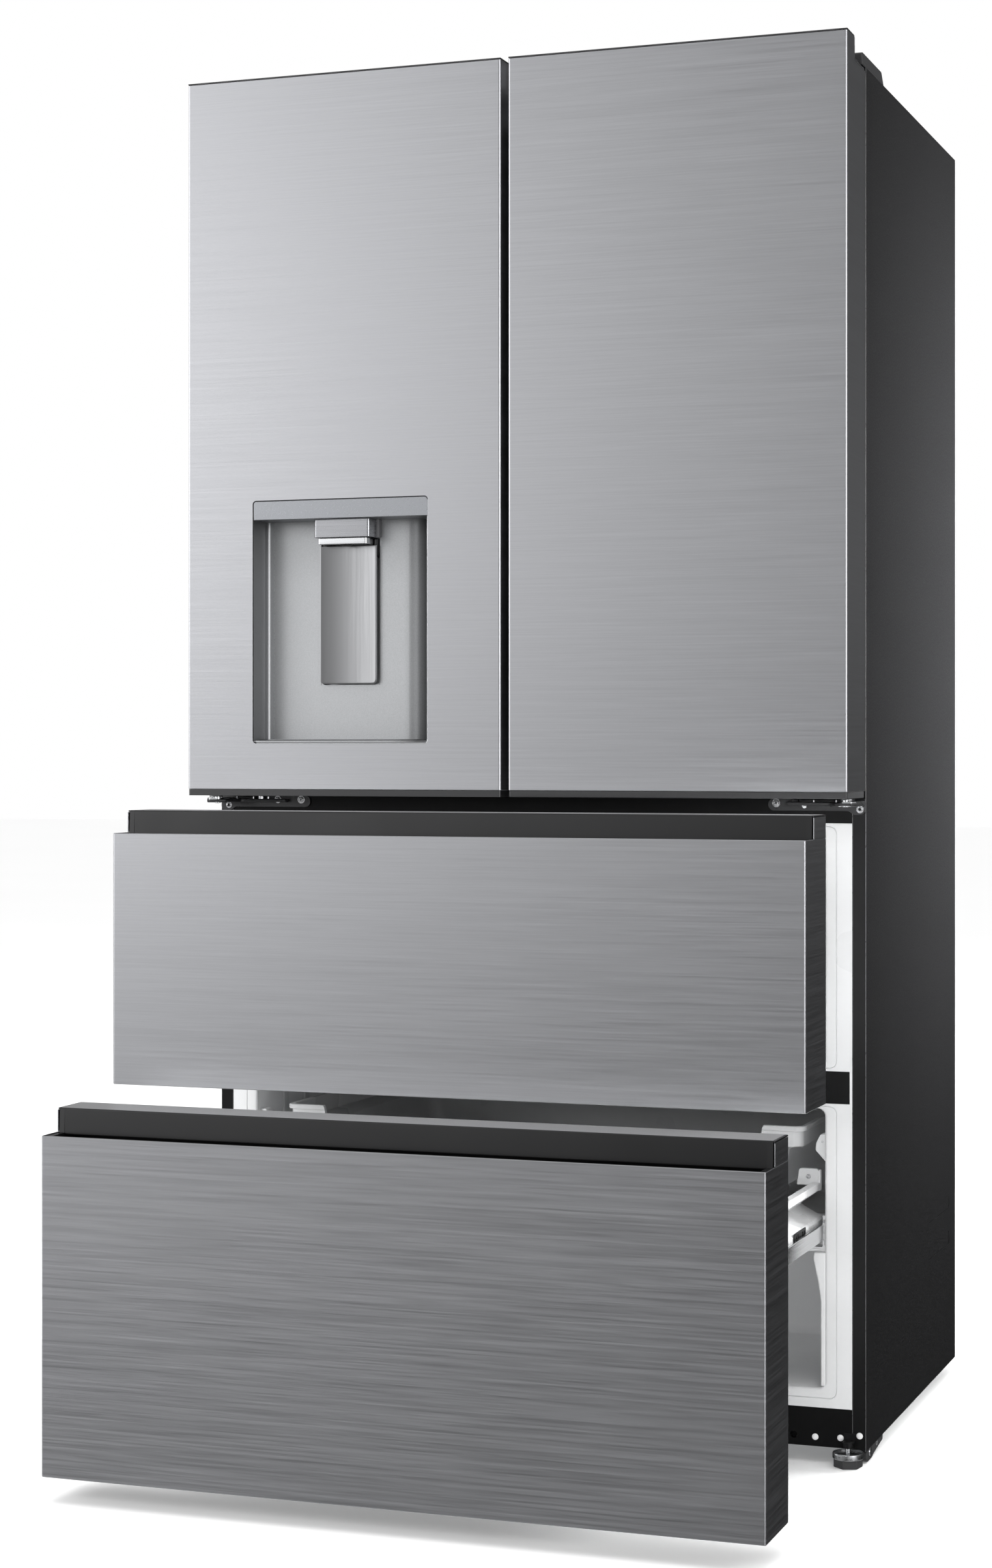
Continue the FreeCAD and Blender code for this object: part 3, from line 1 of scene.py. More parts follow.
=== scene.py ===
import sys
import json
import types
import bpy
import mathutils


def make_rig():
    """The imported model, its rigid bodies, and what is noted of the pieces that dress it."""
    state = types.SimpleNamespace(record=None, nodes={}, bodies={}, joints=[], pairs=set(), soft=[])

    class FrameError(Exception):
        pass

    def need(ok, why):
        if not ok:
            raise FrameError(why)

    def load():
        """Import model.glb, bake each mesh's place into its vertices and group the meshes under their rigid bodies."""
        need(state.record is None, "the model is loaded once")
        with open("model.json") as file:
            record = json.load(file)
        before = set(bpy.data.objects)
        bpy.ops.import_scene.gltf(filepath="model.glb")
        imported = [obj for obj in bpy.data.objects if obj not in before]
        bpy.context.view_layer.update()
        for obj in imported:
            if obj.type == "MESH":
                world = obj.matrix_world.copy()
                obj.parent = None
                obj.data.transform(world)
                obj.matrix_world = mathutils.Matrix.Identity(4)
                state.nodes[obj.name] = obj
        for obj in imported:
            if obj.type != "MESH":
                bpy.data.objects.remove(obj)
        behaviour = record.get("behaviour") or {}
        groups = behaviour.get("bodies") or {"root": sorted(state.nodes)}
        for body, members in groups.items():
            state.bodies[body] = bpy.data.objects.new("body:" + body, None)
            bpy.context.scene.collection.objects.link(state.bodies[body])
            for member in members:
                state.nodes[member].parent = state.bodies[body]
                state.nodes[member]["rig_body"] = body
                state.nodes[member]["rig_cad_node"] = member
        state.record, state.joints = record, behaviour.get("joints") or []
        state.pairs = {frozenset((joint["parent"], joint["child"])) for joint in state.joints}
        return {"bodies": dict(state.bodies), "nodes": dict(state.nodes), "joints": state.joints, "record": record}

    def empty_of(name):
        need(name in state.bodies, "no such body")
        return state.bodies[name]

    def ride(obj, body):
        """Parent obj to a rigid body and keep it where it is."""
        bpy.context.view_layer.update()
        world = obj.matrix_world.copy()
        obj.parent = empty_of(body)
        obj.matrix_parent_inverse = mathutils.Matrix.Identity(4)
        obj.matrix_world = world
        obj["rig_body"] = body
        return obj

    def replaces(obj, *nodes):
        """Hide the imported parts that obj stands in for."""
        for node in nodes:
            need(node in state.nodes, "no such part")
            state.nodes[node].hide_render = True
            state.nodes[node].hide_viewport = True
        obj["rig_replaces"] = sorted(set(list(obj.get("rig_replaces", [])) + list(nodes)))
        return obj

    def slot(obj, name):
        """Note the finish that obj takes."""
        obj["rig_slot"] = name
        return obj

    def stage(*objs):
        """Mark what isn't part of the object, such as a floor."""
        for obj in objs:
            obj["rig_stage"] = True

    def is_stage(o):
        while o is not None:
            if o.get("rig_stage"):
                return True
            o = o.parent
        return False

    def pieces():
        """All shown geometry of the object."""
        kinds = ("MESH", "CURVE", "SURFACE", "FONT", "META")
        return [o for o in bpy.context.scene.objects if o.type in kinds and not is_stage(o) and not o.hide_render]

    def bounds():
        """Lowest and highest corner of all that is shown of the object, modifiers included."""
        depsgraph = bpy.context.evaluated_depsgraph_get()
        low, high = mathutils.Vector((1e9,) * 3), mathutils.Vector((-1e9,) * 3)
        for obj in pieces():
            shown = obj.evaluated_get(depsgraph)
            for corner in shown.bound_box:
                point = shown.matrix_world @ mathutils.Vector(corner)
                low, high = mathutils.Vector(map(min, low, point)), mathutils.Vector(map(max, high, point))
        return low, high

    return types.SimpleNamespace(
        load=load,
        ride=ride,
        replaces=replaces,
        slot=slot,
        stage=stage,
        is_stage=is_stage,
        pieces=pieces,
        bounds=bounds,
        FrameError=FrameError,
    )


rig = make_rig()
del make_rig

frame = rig.load()

import json
import math

import bmesh
import bpy
from mathutils import Vector

cad_lo, cad_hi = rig.bounds()

# Shapes below are written in millimetres, with Y measured from the plane of the closed
# door fronts; a shift draws a piece out towards the front with its drawer.
FRONT = 153.45
UP = 216.4
LOW = 401.4
HALF = 445.0


# ---------------------------------------------------------------- mesh helpers


def rounded(points, radius, n=5):
    """The polygon with its corners rounded; radius is one number or one per corner."""
    out = []
    count = len(points)
    for i, p in enumerate(points):
        r = radius[i] if isinstance(radius, (list, tuple)) else radius
        p = Vector(p)
        a, c = Vector(points[i - 1]) - p, Vector(points[(i + 1) % count]) - p
        la, lc = a.length, c.length
        if r <= 0 or la < 1e-6 or lc < 1e-6:
            out.append(tuple(p))
            continue
        a.normalize()
        c.normalize()
        ang = a.angle(c)
        if ang > math.pi - 0.02:
            out.append(tuple(p))
            continue
        d = min(r / math.tan(ang / 2), la * 0.499, lc * 0.499)
        s, e = p + a * d, p + c * d
        rad = d * math.tan(ang / 2)
        mid = (a + c).normalized()
        centre = p + mid * (rad / math.sin(ang / 2))
        v0, v1 = s - centre, e - centre
        turn = math.atan2(v0.x * v1.y - v0.y * v1.x, v0.dot(v1))
        for k in range(n + 1):
            t = turn * k / n
            out.append((centre.x + v0.x * math.cos(t) - v0.y * math.sin(t),
                        centre.y + v0.x * math.sin(t) + v0.y * math.cos(t)))
    return out


def rect(x, z):
    return [(x[0], z[0]), (x[1], z[0]), (x[1], z[1]), (x[0], z[1])]


LIFT = {
    "x": lambda a, b, t: (t, a, b),
    "y": lambda a, b, t: (a, t, b),
    "z": lambda a, b, t: (a, b, t),
}


class Shape:
    """Gathers the faces of one piece."""

    def __init__(self, shift=0.0):
        self.bm = bmesh.new()
        self.shift = shift

    def take(self, bm, mat=0):
        for f in bm.faces:
            f.material_index = mat
        me = bpy.data.meshes.new("part")
        bm.to_mesh(me)
        bm.free()
        self.bm.from_mesh(me)
        bpy.data.meshes.remove(me)
        return self

    def faces(self, polys, mat=0, weld=True):
        bm = bmesh.new()
        for pts in polys:
            vs = [bm.verts.new(p) for p in pts]
            bm.faces.new(vs)
        if weld:
            bmesh.ops.remove_doubles(bm, verts=bm.verts, dist=1e-3)
        bmesh.ops.recalc_face_normals(bm, faces=bm.faces)
        return self.take(bm, mat)

    def box(self, x, y, z, r=0.0, seg=2, mat=0):
        bm = bmesh.new()
        bmesh.ops.create_cube(bm, size=1.0)
        for v in bm.verts:
            v.co = Vector(((x[0] + x[1]) / 2 + v.co.x * (x[1] - x[0]),
                           (y[0] + y[1]) / 2 + v.co.y * (y[1] - y[0]),
                           (z[0] + z[1]) / 2 + v.co.z * (z[1] - z[0])))
        if r:
            bmesh.ops.bevel(bm, geom=list(bm.edges), offset=r, segments=seg, profile=0.5, affect="EDGES", clamp_overlap=True)
        return self.take(bm, mat)

    def prism(self, axis, outline, lo, hi, mat=0, r=0.0, seg=2, holes=(), ends=True):
        """An outline drawn along an axis; r rounds the rims of its two ends."""
        bm = bmesh.new()
        lift = LIFT[axis]
        loops = []
        for ring in [outline] + list(holes):
            loops.append([bm.verts.new(lift(a, b, lo)) for a, b in ring])
        edges = []
        for ring in loops:
            for i in range(len(ring)):
                edges.append(bm.edges.new((ring[i], ring[(i + 1) % len(ring)])))
        if holes:
            bmesh.ops.triangle_fill(bm, edges=edges, use_beauty=True)
        else:
            bm.faces.new(loops[0])
        base = list(bm.faces)
        ext = bmesh.ops.extrude_face_region(bm, geom=base)
        moved = [e for e in ext["geom"] if isinstance(e, bmesh.types.BMVert)]
        step = Vector(lift(0, 0, hi)) - Vector(lift(0, 0, lo))
        bmesh.ops.translate(bm, verts=moved, vec=step)
        bmesh.ops.recalc_face_normals(bm, faces=bm.faces)
        if holes:
            bmesh.ops.dissolve_limit(bm, angle_limit=0.01, verts=bm.verts, edges=bm.edges)
        if r:
            rim = []
            for e in bm.edges:
                a, b = e.verts[0].co, e.verts[1].co
                k = "xyz".index(axis)
                flat = abs(a[k] - b[k]) < 1e-4
                if flat and len(e.link_faces) == 2 and e.calc_face_angle(0) > 0.6:
                    rim.append(e)
            bmesh.ops.bevel(bm, geom=rim, offset=r, segments=seg, profile=0.5, affect="EDGES", clamp_overlap=True)
        return self.take(bm, mat)

    def lathe(self, axis, centre, profile, mat=0, n=32):
        """A profile of (radius, place along the axis) turned about the axis through centre."""
        bm = bmesh.new()
        k = "xyz".index(axis)
        others = [i for i in range(3) if i != k]
        rings = []
        for rad, along in profile:
            if rad < 1e-6:
                p = list(centre)
                p[k] = along
                rings.append([bm.verts.new(p)])
                continue
            ring = []
            for i in range(n):
                t = 2 * math.pi * i / n
                p = list(centre)
                p[k] = along
                p[others[0]] += rad * math.cos(t)
                p[others[1]] += rad * math.sin(t)
                ring.append(bm.verts.new(p))
            rings.append(ring)
        for a, b in zip(rings, rings[1:]):
            for i in range(n):
                j = (i + 1) % n
                if len(a) == 1 and len(b) == 1:
                    continue
                if len(a) == 1:
                    bm.faces.new((a[0], b[i], b[j]))
                elif len(b) == 1:
                    bm.faces.new((a[i], b[0], a[j]))
                else:
                    bm.faces.new((a[i], b[i], b[j], a[j]))
        for ring in (rings[0], rings[-1]):
            if len(ring) > 1 and not (len(profile) > 2 and profile[0] == profile[-1]):
                bm.faces.new(ring)
        if profile[0] == profile[-1]:
            bmesh.ops.remove_doubles(bm, verts=bm.verts, dist=1e-4)
        bmesh.ops.recalc_face_normals(bm, faces=bm.faces)
        return self.take(bm, mat)

    def tube(self, points, radius, mat=0, n=10):
        """A round bar along a line of points, with flat ends."""
        bm = bmesh.new()
        pts = [Vector(p) for p in points]
        rings = []
        side = Vector((0.13, 0.31, 0.94))
        for i, p in enumerate(pts):
            d = (pts[min(i + 1, len(pts) - 1)] - pts[max(i - 1, 0)]).normalized()
            u = side - d * side.dot(d)
            if u.length < 0.05:
                u = Vector((1, 0, 0)) - d * d.x
            u.normalize()
            side = u
            w = d.cross(u)
            rings.append([bm.verts.new(p + u * (radius * math.cos(2 * math.pi * k / n)) + w * (radius * math.sin(2 * math.pi * k / n))) for k in range(n)])
        for a, b in zip(rings, rings[1:]):
            for i in range(n):
                bm.faces.new((a[i], b[i], b[(i + 1) % n], a[(i + 1) % n]))
        bm.faces.new(rings[0])
        bm.faces.new(rings[-1])
        bmesh.ops.recalc_face_normals(bm, faces=bm.faces)
        return self.take(bm, mat)

    def frame(self, x, z, profile, mat=0, corner=0.0, n=6):
        """A closed profile of (inset from the rectangle, y) carried round a rectangle in XZ."""
        ring = rounded(rect(x, z), corner, n) if corner else rect(x, z)
        bm = bmesh.new()
        cx, cz = (x[0] + x[1]) / 2, (z[0] + z[1]) / 2
        count = len(ring)
        rows = []
        for inset, y in profile:
            row = []
            for i in range(count):
                p, a, b = Vector(ring[i]), Vector(ring[i - 1]), Vector(ring[(i + 1) % count])
                d0, d1 = (p - a).normalized(), (b - p).normalized()
                n0, n1 = Vector((-d0.y, d0.x)), Vector((-d1.y, d1.x))
                m = (n0 + n1).normalized()
                q = p + m * (inset / max(0.2, m.dot(n0)))
                row.append(bm.verts.new((q.x, y, q.y)))
            rows.append(row)
        m = len(rows)
        for k in range(m):
            a, b = rows[k], rows[(k + 1) % m]
            for i in range(count):
                j = (i + 1) % count
                bm.faces.new((a[i], b[i], b[j], a[j]))
        bmesh.ops.recalc_face_normals(bm, faces=bm.faces)
        return self.take(bm, mat)

    def tub(self, x, y, z, wall, corner, floor=None, mat=0, n=6, flare=0.0, rim=0.0):
        """An open-topped tub with rounded upright corners, sides that lean out by flare, and a rolled rim."""
        floor = wall if floor is None else floor
        grow = lambda g: rounded([(x[0] + flare - g, y[0] + flare - g), (x[1] - flare + g, y[0] + flare - g),
                                  (x[1] - flare + g, y[1] - flare + g), (x[0] + flare - g, y[1] - flare + g)], max(1.0, corner + g), n)
        soft = min(corner * 0.6, 6.0)
        rings = []
        for k in range(5):
            t = math.pi / 2 * k / 4
            rings.append((grow(-soft * (1 - math.sin(t))), z[0] + soft * (1 - math.cos(t))))
        rings.append((grow(flare), z[1] - rim))
        if rim:
            rings += [(grow(flare + rim * 0.9), z[1] - rim * 0.9), (grow(flare + rim), z[1] - rim * 0.45), (grow(flare + rim * 0.8), z[1])]
        else:
            rings.append((grow(flare), z[1]))
        rings.append((grow(flare - wall), z[1]))
        rings.append((grow(flare - wall - 0.2), z[1] - max(rim, 1.0)))
        for k in range(4, -1, -1):
            t = math.pi / 2 * k / 4
            rings.append((grow(-wall - soft * (1 - math.sin(t))), z[0] + floor + soft * (1 - math.cos(t))))
        bm = bmesh.new()
        rows = [[bm.verts.new((a, b, h)) for a, b in pts] for pts, h in rings]
        for a, b in zip(rows, rows[1:]):
            for i in range(len(a)):
                j = (i + 1) % len(a)
                bm.faces.new((a[i], a[j], b[j], b[i]))
        bm.faces.new(rows[0])
        bm.faces.new(rows[-1])
        bmesh.ops.recalc_face_normals(bm, faces=bm.faces)
        return self.take(bm, mat)

    def cross_screw(self, axis, centre, radius, height, mat=0, n=24, sign=-1, turn=0.3):
        """A pan-head screw with a cross recess; its head grows along sign from centre."""
        bm = bmesh.new()
        k = "xyz".index(axis)
        others = [i for i in range(3) if i != k]

        def at(a, b, h):
            p = list(centre)
            p[k] += sign * h
            p[others[0]] += a
            p[others[1]] += b
            return bm.verts.new(p)

        def circle(rad, h):
            return [at(rad * math.cos(2 * math.pi * i / n), rad * math.sin(2 * math.pi * i / n), h) for i in range(n)]

        w, l = radius * 0.13, radius * 0.56
        star = [(l, -w), (l, w), (w, w), (w, l), (-w, l), (-w, w), (-l, w), (-l, -w), (-w, -w), (-w, -l), (w, -l), (w, -w)]
        ct, st = math.cos(turn), math.sin(turn)
        star = [(a * ct - b * st, a * st + b * ct) for a, b in star]
        rings = [circle(radius, 0), circle(radius, height * 0.45), circle(radius * 0.88, height * 0.8), circle(radius * 0.68, height)]
        for a, b in zip(rings, rings[1:]):
            for i in range(n):
                bm.faces.new((a[i], a[(i + 1) % n], b[(i + 1) % n], b[i]))
        bm.faces.new(rings[0])
        top = [at(a, b, height) for a, b in star]
        deep = [at(a * 0.75, b * 0.75, height * 0.35) for a, b in star]
        for i in range(12):
            j = (i + 1) % 12
            bm.faces.new((top[i], top[j], deep[j], deep[i]))
        bm.faces.new(deep)
        edges = []
        for ring in (rings[-1], top):
            for i in range(len(ring)):
                v, w2 = ring[i], ring[(i + 1) % len(ring)]
                edges.append(bm.edges.get((v, w2)) or bm.edges.new((v, w2)))
        bmesh.ops.triangle_fill(bm, edges=edges, use_beauty=True)
        bmesh.ops.recalc_face_normals(bm, faces=bm.faces)
        return self.take(bm, mat)

    def mirror(self):
        """Adds a copy on the other side of X = 0."""
        me = bpy.data.meshes.new("part")
        self.bm.to_mesh(me)
        bm = bmesh.new()
        bm.from_mesh(me)
        bpy.data.meshes.remove(me)
        for v in bm.verts:
            v.co.x = -v.co.x
        bmesh.ops.reverse_faces(bm, faces=bm.faces)
        me = bpy.data.meshes.new("part")
        bm.to_mesh(me)
        bm.free()
        self.bm.from_mesh(me)
        bpy.data.meshes.remove(me)
        return self

    def make(self, name, body, slot, mats, replaces=(), angle=32.0, weighted=True):
        me = bpy.data.meshes.new(name)
        for v in self.bm.verts:
            v.co = Vector((v.co.x / 1000.0, (v.co.y - FRONT - self.shift) / 1000.0, v.co.z / 1000.0))
        for f in self.bm.faces:
            f.smooth = True
        self.bm.to_mesh(me)
        self.bm.free()
        for m in mats if isinstance(mats, (list, tuple)) else [mats]:
            me.materials.append(m)
        me.set_sharp_from_angle(angle=math.radians(angle))
        ob = bpy.data.objects.new(name, me)
        bpy.context.scene.collection.objects.link(ob)
        if weighted:
            w = ob.modifiers.new("normals", "WEIGHTED_NORMAL")
            w.keep_sharp = True
        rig.ride(ob, body)
        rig.slot(ob, slot)
        if replaces:
            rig.replaces(ob, *replaces)
        return ob


# ---------------------------------------------------------------- materials


class Mat:
    """A principled material with procedural nodes that read object coordinates."""

    def __init__(self, name, color, rough=0.5, metal=0.0, **inputs):
        self.m = bpy.data.materials.new(name)
        self.m.use_nodes = True
        self.nt = self.m.node_tree
        self.b = self.nt.nodes["Principled BSDF"]
        self.b.inputs["Base Color"].default_value = (*color, 1.0)
        self.b.inputs["Roughness"].default_value = rough
        self.b.inputs["Metallic"].default_value = metal
        for k, v in inputs.items():
            self.b.inputs[k.replace("_", " ")].default_value = v
        self.color = color
        self.tc = self.nt.nodes.new("ShaderNodeTexCoord")
        self.last_normal = None

    def node(self, kind, **values):
        n = self.nt.nodes.new(kind)
        for k, v in values.items():
            setattr(n, k, v)
        return n

    def link(self, a, b):
        self.nt.links.new(a, b)

    def noise(self, scale, detail=3.0, rough=0.55, distort=0.0):
        mp = self.node("ShaderNodeMapping")
        mp.inputs["Scale"].default_value = scale if isinstance(scale, (tuple, list)) else (scale,) * 3
        self.link(self.tc.outputs["Object"], mp.inputs["Vector"])
        n = self.node("ShaderNodeTexNoise")
        n.inputs["Scale"].default_value = 1.0
        n.inputs["Detail"].default_value = detail
        n.inputs["Roughness"].default_value = rough
        n.inputs["Distortion"].default_value = distort
        self.link(mp.outputs["Vector"], n.inputs["Vector"])
        return n.outputs["Fac"]

    def voronoi(self, scale, feature="F1"):
        mp = self.node("ShaderNodeMapping")
        mp.inputs["Scale"].default_value = scale if isinstance(scale, (tuple, list)) else (scale,) * 3
        self.link(self.tc.outputs["Object"], mp.inputs["Vector"])
        n = self.node("ShaderNodeTexVoronoi")
        n.feature = feature
        n.inputs["Scale"].default_value = 1.0
        self.link(mp.outputs["Vector"], n.inputs["Vector"])
        return n.outputs["Distance"]

    def ramp(self, fac, stops):
        r = self.node("ShaderNodeValToRGB")
        e = r.color_ramp.elements
        while len(e) < len(stops):
            e.new(0.5)
        for el, (p, c) in zip(e, stops):
            el.position = p
            el.color = (*c, 1.0)
        self.link(fac, r.inputs["Fac"])
        return r.outputs["Color"]

    def span(self, fac, a, b, lo=0.0, hi=1.0):
        r = self.node("ShaderNodeMapRange")
        r.inputs["From Min"].default_value = lo
        r.inputs["From Max"].default_value = hi
        r.inputs["To Min"].default_value = a
        r.inputs["To Max"].default_value = b
        self.link(fac, r.inputs["Value"])
        return r.outputs["Result"]

    def mix(self, a, b, fac, mode="MIX"):
        m = self.node("ShaderNodeMix", data_type="RGBA", blend_type=mode)
        for sock, val in ((m.inputs["Factor"], fac), (m.inputs["A"], a), (m.inputs["B"], b)):
            if isinstance(val, (int, float)):
                sock.default_value = val
            elif isinstance(val, tuple):
                sock.default_value = (*val, 1.0)
            else:
                self.link(val, sock)
        return [o for o in m.outputs if o.type == "RGBA"][0]

    def vary(self, fac, amount):
        """Base colour between darker and lighter tones of itself."""
        c = self.color
        lo = tuple(x * (1 - amount) for x in c)
        hi = tuple(min(1.0, x * (1 + amount)) for x in c)
        out = self.ramp(fac, [(0.3, lo), (0.7, hi)])
        self.link(out, self.b.inputs["Base Color"])
        return out

    def set_color(self, out):
        self.link(out, self.b.inputs["Base Color"])

    def roughness(self, fac, a, b, lo=0.3, hi=0.7):
        self.link(self.span(fac, a, b, lo, hi), self.b.inputs["Roughness"])

    def bump(self, fac, strength, distance):
        n = self.node("ShaderNodeBump")
        n.inputs["Strength"].default_value = strength
        n.inputs["Distance"].default_value = distance
        self.link(fac, n.inputs["Height"])
        if self.last_normal:
            self.link(self.last_normal, n.inputs["Normal"])
        self.last_normal = n.outputs["Normal"]
        self.link(self.last_normal, self.b.inputs["Normal"])


def brushed(name, color, rough, streak=(11.0, 11.0, 900.0), depth=0.1, vary=0.05, fine=1.0):
    """Brushed metal: long fine streaks in colour, roughness and height, at two widths."""
    m = Mat(name, color, rough, 1.0)
    a = m.noise(streak, 4.0, 0.72)
    broad = m.noise(tuple(s * 0.42 for s in streak), 3.0, 0.6)
    both = m.mix(a, broad, 0.5)
    m.vary(both, vary)
    m.roughness(both, rough - 0.06, rough + 0.07)
    m.bump(both, depth, 0.0003 * fine)
    return m


front_steel = brushed("front_steel", (0.655, 0.662, 0.684), 0.35, depth=0.14, vary=0.085)
paddle_steel = brushed("paddle_steel", (0.46, 0.464, 0.472), 0.34, (900.0, 900.0, 14.0), 0.012, 0.03)
bright_trim = brushed("bright_trim", (0.7, 0.71, 0.72), 0.2, (30.0, 30.0, 900.0), 0.03, 0.03)

# cabinet paint: dark orange-peel texture with pale specks, and a painted shade that darkens the sides towards the front
cabinet_paint = Mat("cabinet_paint", (0.02, 0.02, 0.0205), 0.5)
g = cabinet_paint.noise(420.0, 3.0, 0.75)
g2 = cabinet_paint.noise(150.0, 2.0, 0.5)
speck = cabinet_paint.mix(cabinet_paint.ramp(g, [(0.36, (0.003, 0.003, 0.0033)), (0.56, (0.008, 0.008, 0.0084)), (0.72, (0.04, 0.04, 0.042))]),
                          cabinet_paint.ramp(g2, [(0.3, (0.005, 0.005, 0.0053)), (0.7, (0.011, 0.011, 0.0115))]), 0.3)
axes = cabinet_paint.node("ShaderNodeSeparateXYZ")
cabinet_paint.link(cabinet_paint.tc.outputs["Object"], axes.inputs[0])
# painted shade: the colour is multiplied down to 0.7 at the front edge and left full towards the back
fall = cabinet_paint.ramp(cabinet_paint.span(axes.outputs["Y"], 0.0, 1.0, -0.05, 0.56), [(0.0, (0.7, 0.7, 0.7)), (1.0, (1.0, 1.0, 1.0))])
cabinet_paint.set_color(cabinet_paint.mix(speck, fall, 1.0, "MULTIPLY"))
cabinet_paint.roughness(g, 0.4, 0.6)
cabinet_paint.bump(g, 0.6, 0.0009)

# smooth near-black paint of the cabinet's front edge
flange_paint = Mat("flange_paint", (0.0035, 0.0035, 0.0037), 0.42, Specular_IOR_Level=0.3)
g = flange_paint.noise(300.0, 3.0, 0.6)
flange_paint.vary(g, 0.2)
flange_paint.roughness(g, 0.38, 0.5)

# satin black sheet for rails, hinges and brackets
black_steel = Mat("black_steel", (0.006, 0.006, 0.0064), 0.4, Specular_IOR_Level=0.35)
g = black_steel.noise(500.0, 3.0, 0.6)
black_steel.vary(g, 0.25)
black_steel.roughness(g, 0.33, 0.48)
black_steel.bump(g, 0.12, 0.0003)

# trims: moulded dark plastic with a fine grain
dark_plastic = Mat("dark_plastic", (0.006, 0.006, 0.0063), 0.34, Specular_IOR_Level=0.75)
g = dark_plastic.noise(1400.0, 2.0, 0.6)
wide = dark_plastic.noise(9.0, 2.0, 0.5)
dark_plastic.vary(dark_plastic.mix(g, wide, 0.5), 0.12)
dark_plastic.roughness(wide, 0.3, 0.38)
dark_plastic.bump(g, 0.1, 0.0002)

white_plastic = Mat("white_plastic", (0.72, 0.725, 0.73), 0.3)
g = white_plastic.noise(7.0, 3.0, 0.5)
f = white_plastic.noise(800.0, 2.0, 0.5)
white_plastic.vary(g, 0.02)
white_plastic.roughness(g, 0.26, 0.36)
white_plastic.bump(f, 0.04, 0.0002)

# the same plastic inside the compartments as a lighter copy: painted light standing in for the light of their lamps
inner_white = Mat("inner_white", (0.86, 0.865, 0.87), 0.34)
g = inner_white.noise(6.0, 3.0, 0.5)
f = inner_white.noise(800.0, 2.0, 0.5)
inner_white.vary(g, 0.02)
inner_white.roughness(g, 0.3, 0.4)
inner_white.bump(f, 0.04, 0.0002)

foam_mat = Mat("foam", (0.8, 0.74, 0.52), 0.9)
g = foam_mat.noise(120.0, 5.0, 0.7)
v = foam_mat.voronoi(700.0)
foam_mat.vary(g, 0.15)
foam_mat.bump(v, 0.5, 0.0008)

gasket_rubber = Mat("gasket_rubber", (0.42, 0.43, 0.44), 0.55)
g = gasket_rubber.noise(60.0, 3.0, 0.5)
f = gasket_rubber.noise(1200.0, 2.0, 0.5)
gasket_rubber.vary(g, 0.06)
gasket_rubber.roughness(g, 0.48, 0.62)
gasket_rubber.bump(f, 0.08, 0.0002)

clear_plastic = Mat("clear_plastic", (0.965, 0.985, 0.99), 0.09, 0.0, Transmission_Weight=1.0, IOR=1.45)
g = clear_plastic.noise(14.0, 3.0, 0.5)
clear_plastic.vary(g, 0.02)
clear_plastic.roughness(g, 0.06, 0.14)
clear_plastic.bump(g, 0.05, 0.0008)

shelf_glass = Mat("shelf_glass", (0.86, 0.96, 0.93), 0.03, 0.0, Transmission_Weight=1.0, IOR=1.5)
g = shelf_glass.noise(6.0, 2.0, 0.5)
shelf_glass.vary(g, 0.02)
shelf_glass.roughness(g, 0.02, 0.05)

frosted = Mat("frosted_plastic", (0.88, 0.92, 0.94), 0.4, 0.0, Transmission_Weight=0.7, IOR=1.45)
g = frosted.noise(900.0, 2.0, 0.5)
frosted.vary(frosted.noise(10.0, 2.0), 0.03)
frosted.roughness(g, 0.32, 0.48)
frosted.bump(g, 0.1, 0.0002)

galvanised = Mat("galvanised", (0.5, 0.52, 0.53), 0.42, 1.0)
v = galvanised.voronoi(90.0)
g = galvanised.noise(220.0, 4.0, 0.6)
galvanised.vary(galvanised.mix(v, g, 0.5), 0.16)
galvanised.roughness(v, 0.34, 0.55, 0.1, 0.8)
galvanised.bump(g, 0.1, 0.0003)

rear_paint = Mat("rear_paint", (0.16, 0.165, 0.17), 0.55)
g = rear_paint.noise(500.0, 3.0, 0.6)
rear_paint.vary(g, 0.1)
rear_paint.roughness(g, 0.48, 0.62)
rear_paint.bump(g, 0.15, 0.0003)

black_can = Mat("black_can", (0.015, 0.015, 0.016), 0.3)
g = black_can.noise(180.0, 4.0, 0.6)
black_can.vary(g, 0.3)
black_can.roughness(g, 0.24, 0.42)
black_can.bump(g, 0.1, 0.0004)

coil_metal = Mat("coil_metal", (0.72, 0.73, 0.74), 0.35, 1.0)
g = coil_metal.noise((40.0, 40.0, 600.0), 3.0, 0.6)
coil_metal.vary(g, 0.1)
coil_metal.roughness(g, 0.28, 0.45)

copper = Mat("copper", (0.75, 0.36, 0.2), 0.32, 1.0)
g = copper.noise(90.0, 4.0, 0.6)
copper.vary(g, 0.16)
copper.roughness(g, 0.25, 0.45)

runner_steel = brushed("runner_steel", (0.7, 0.71, 0.72), 0.26, (900.0, 14.0, 900.0), 0.05, 0.06)
zinc = Mat("zinc", (0.66, 0.67, 0.68), 0.3, 1.0)
g = zinc.noise(240.0, 4.0, 0.6)
zinc.vary(g, 0.1)
zinc.roughness(g, 0.22, 0.4)
zinc.bump(g, 0.06, 0.0002)
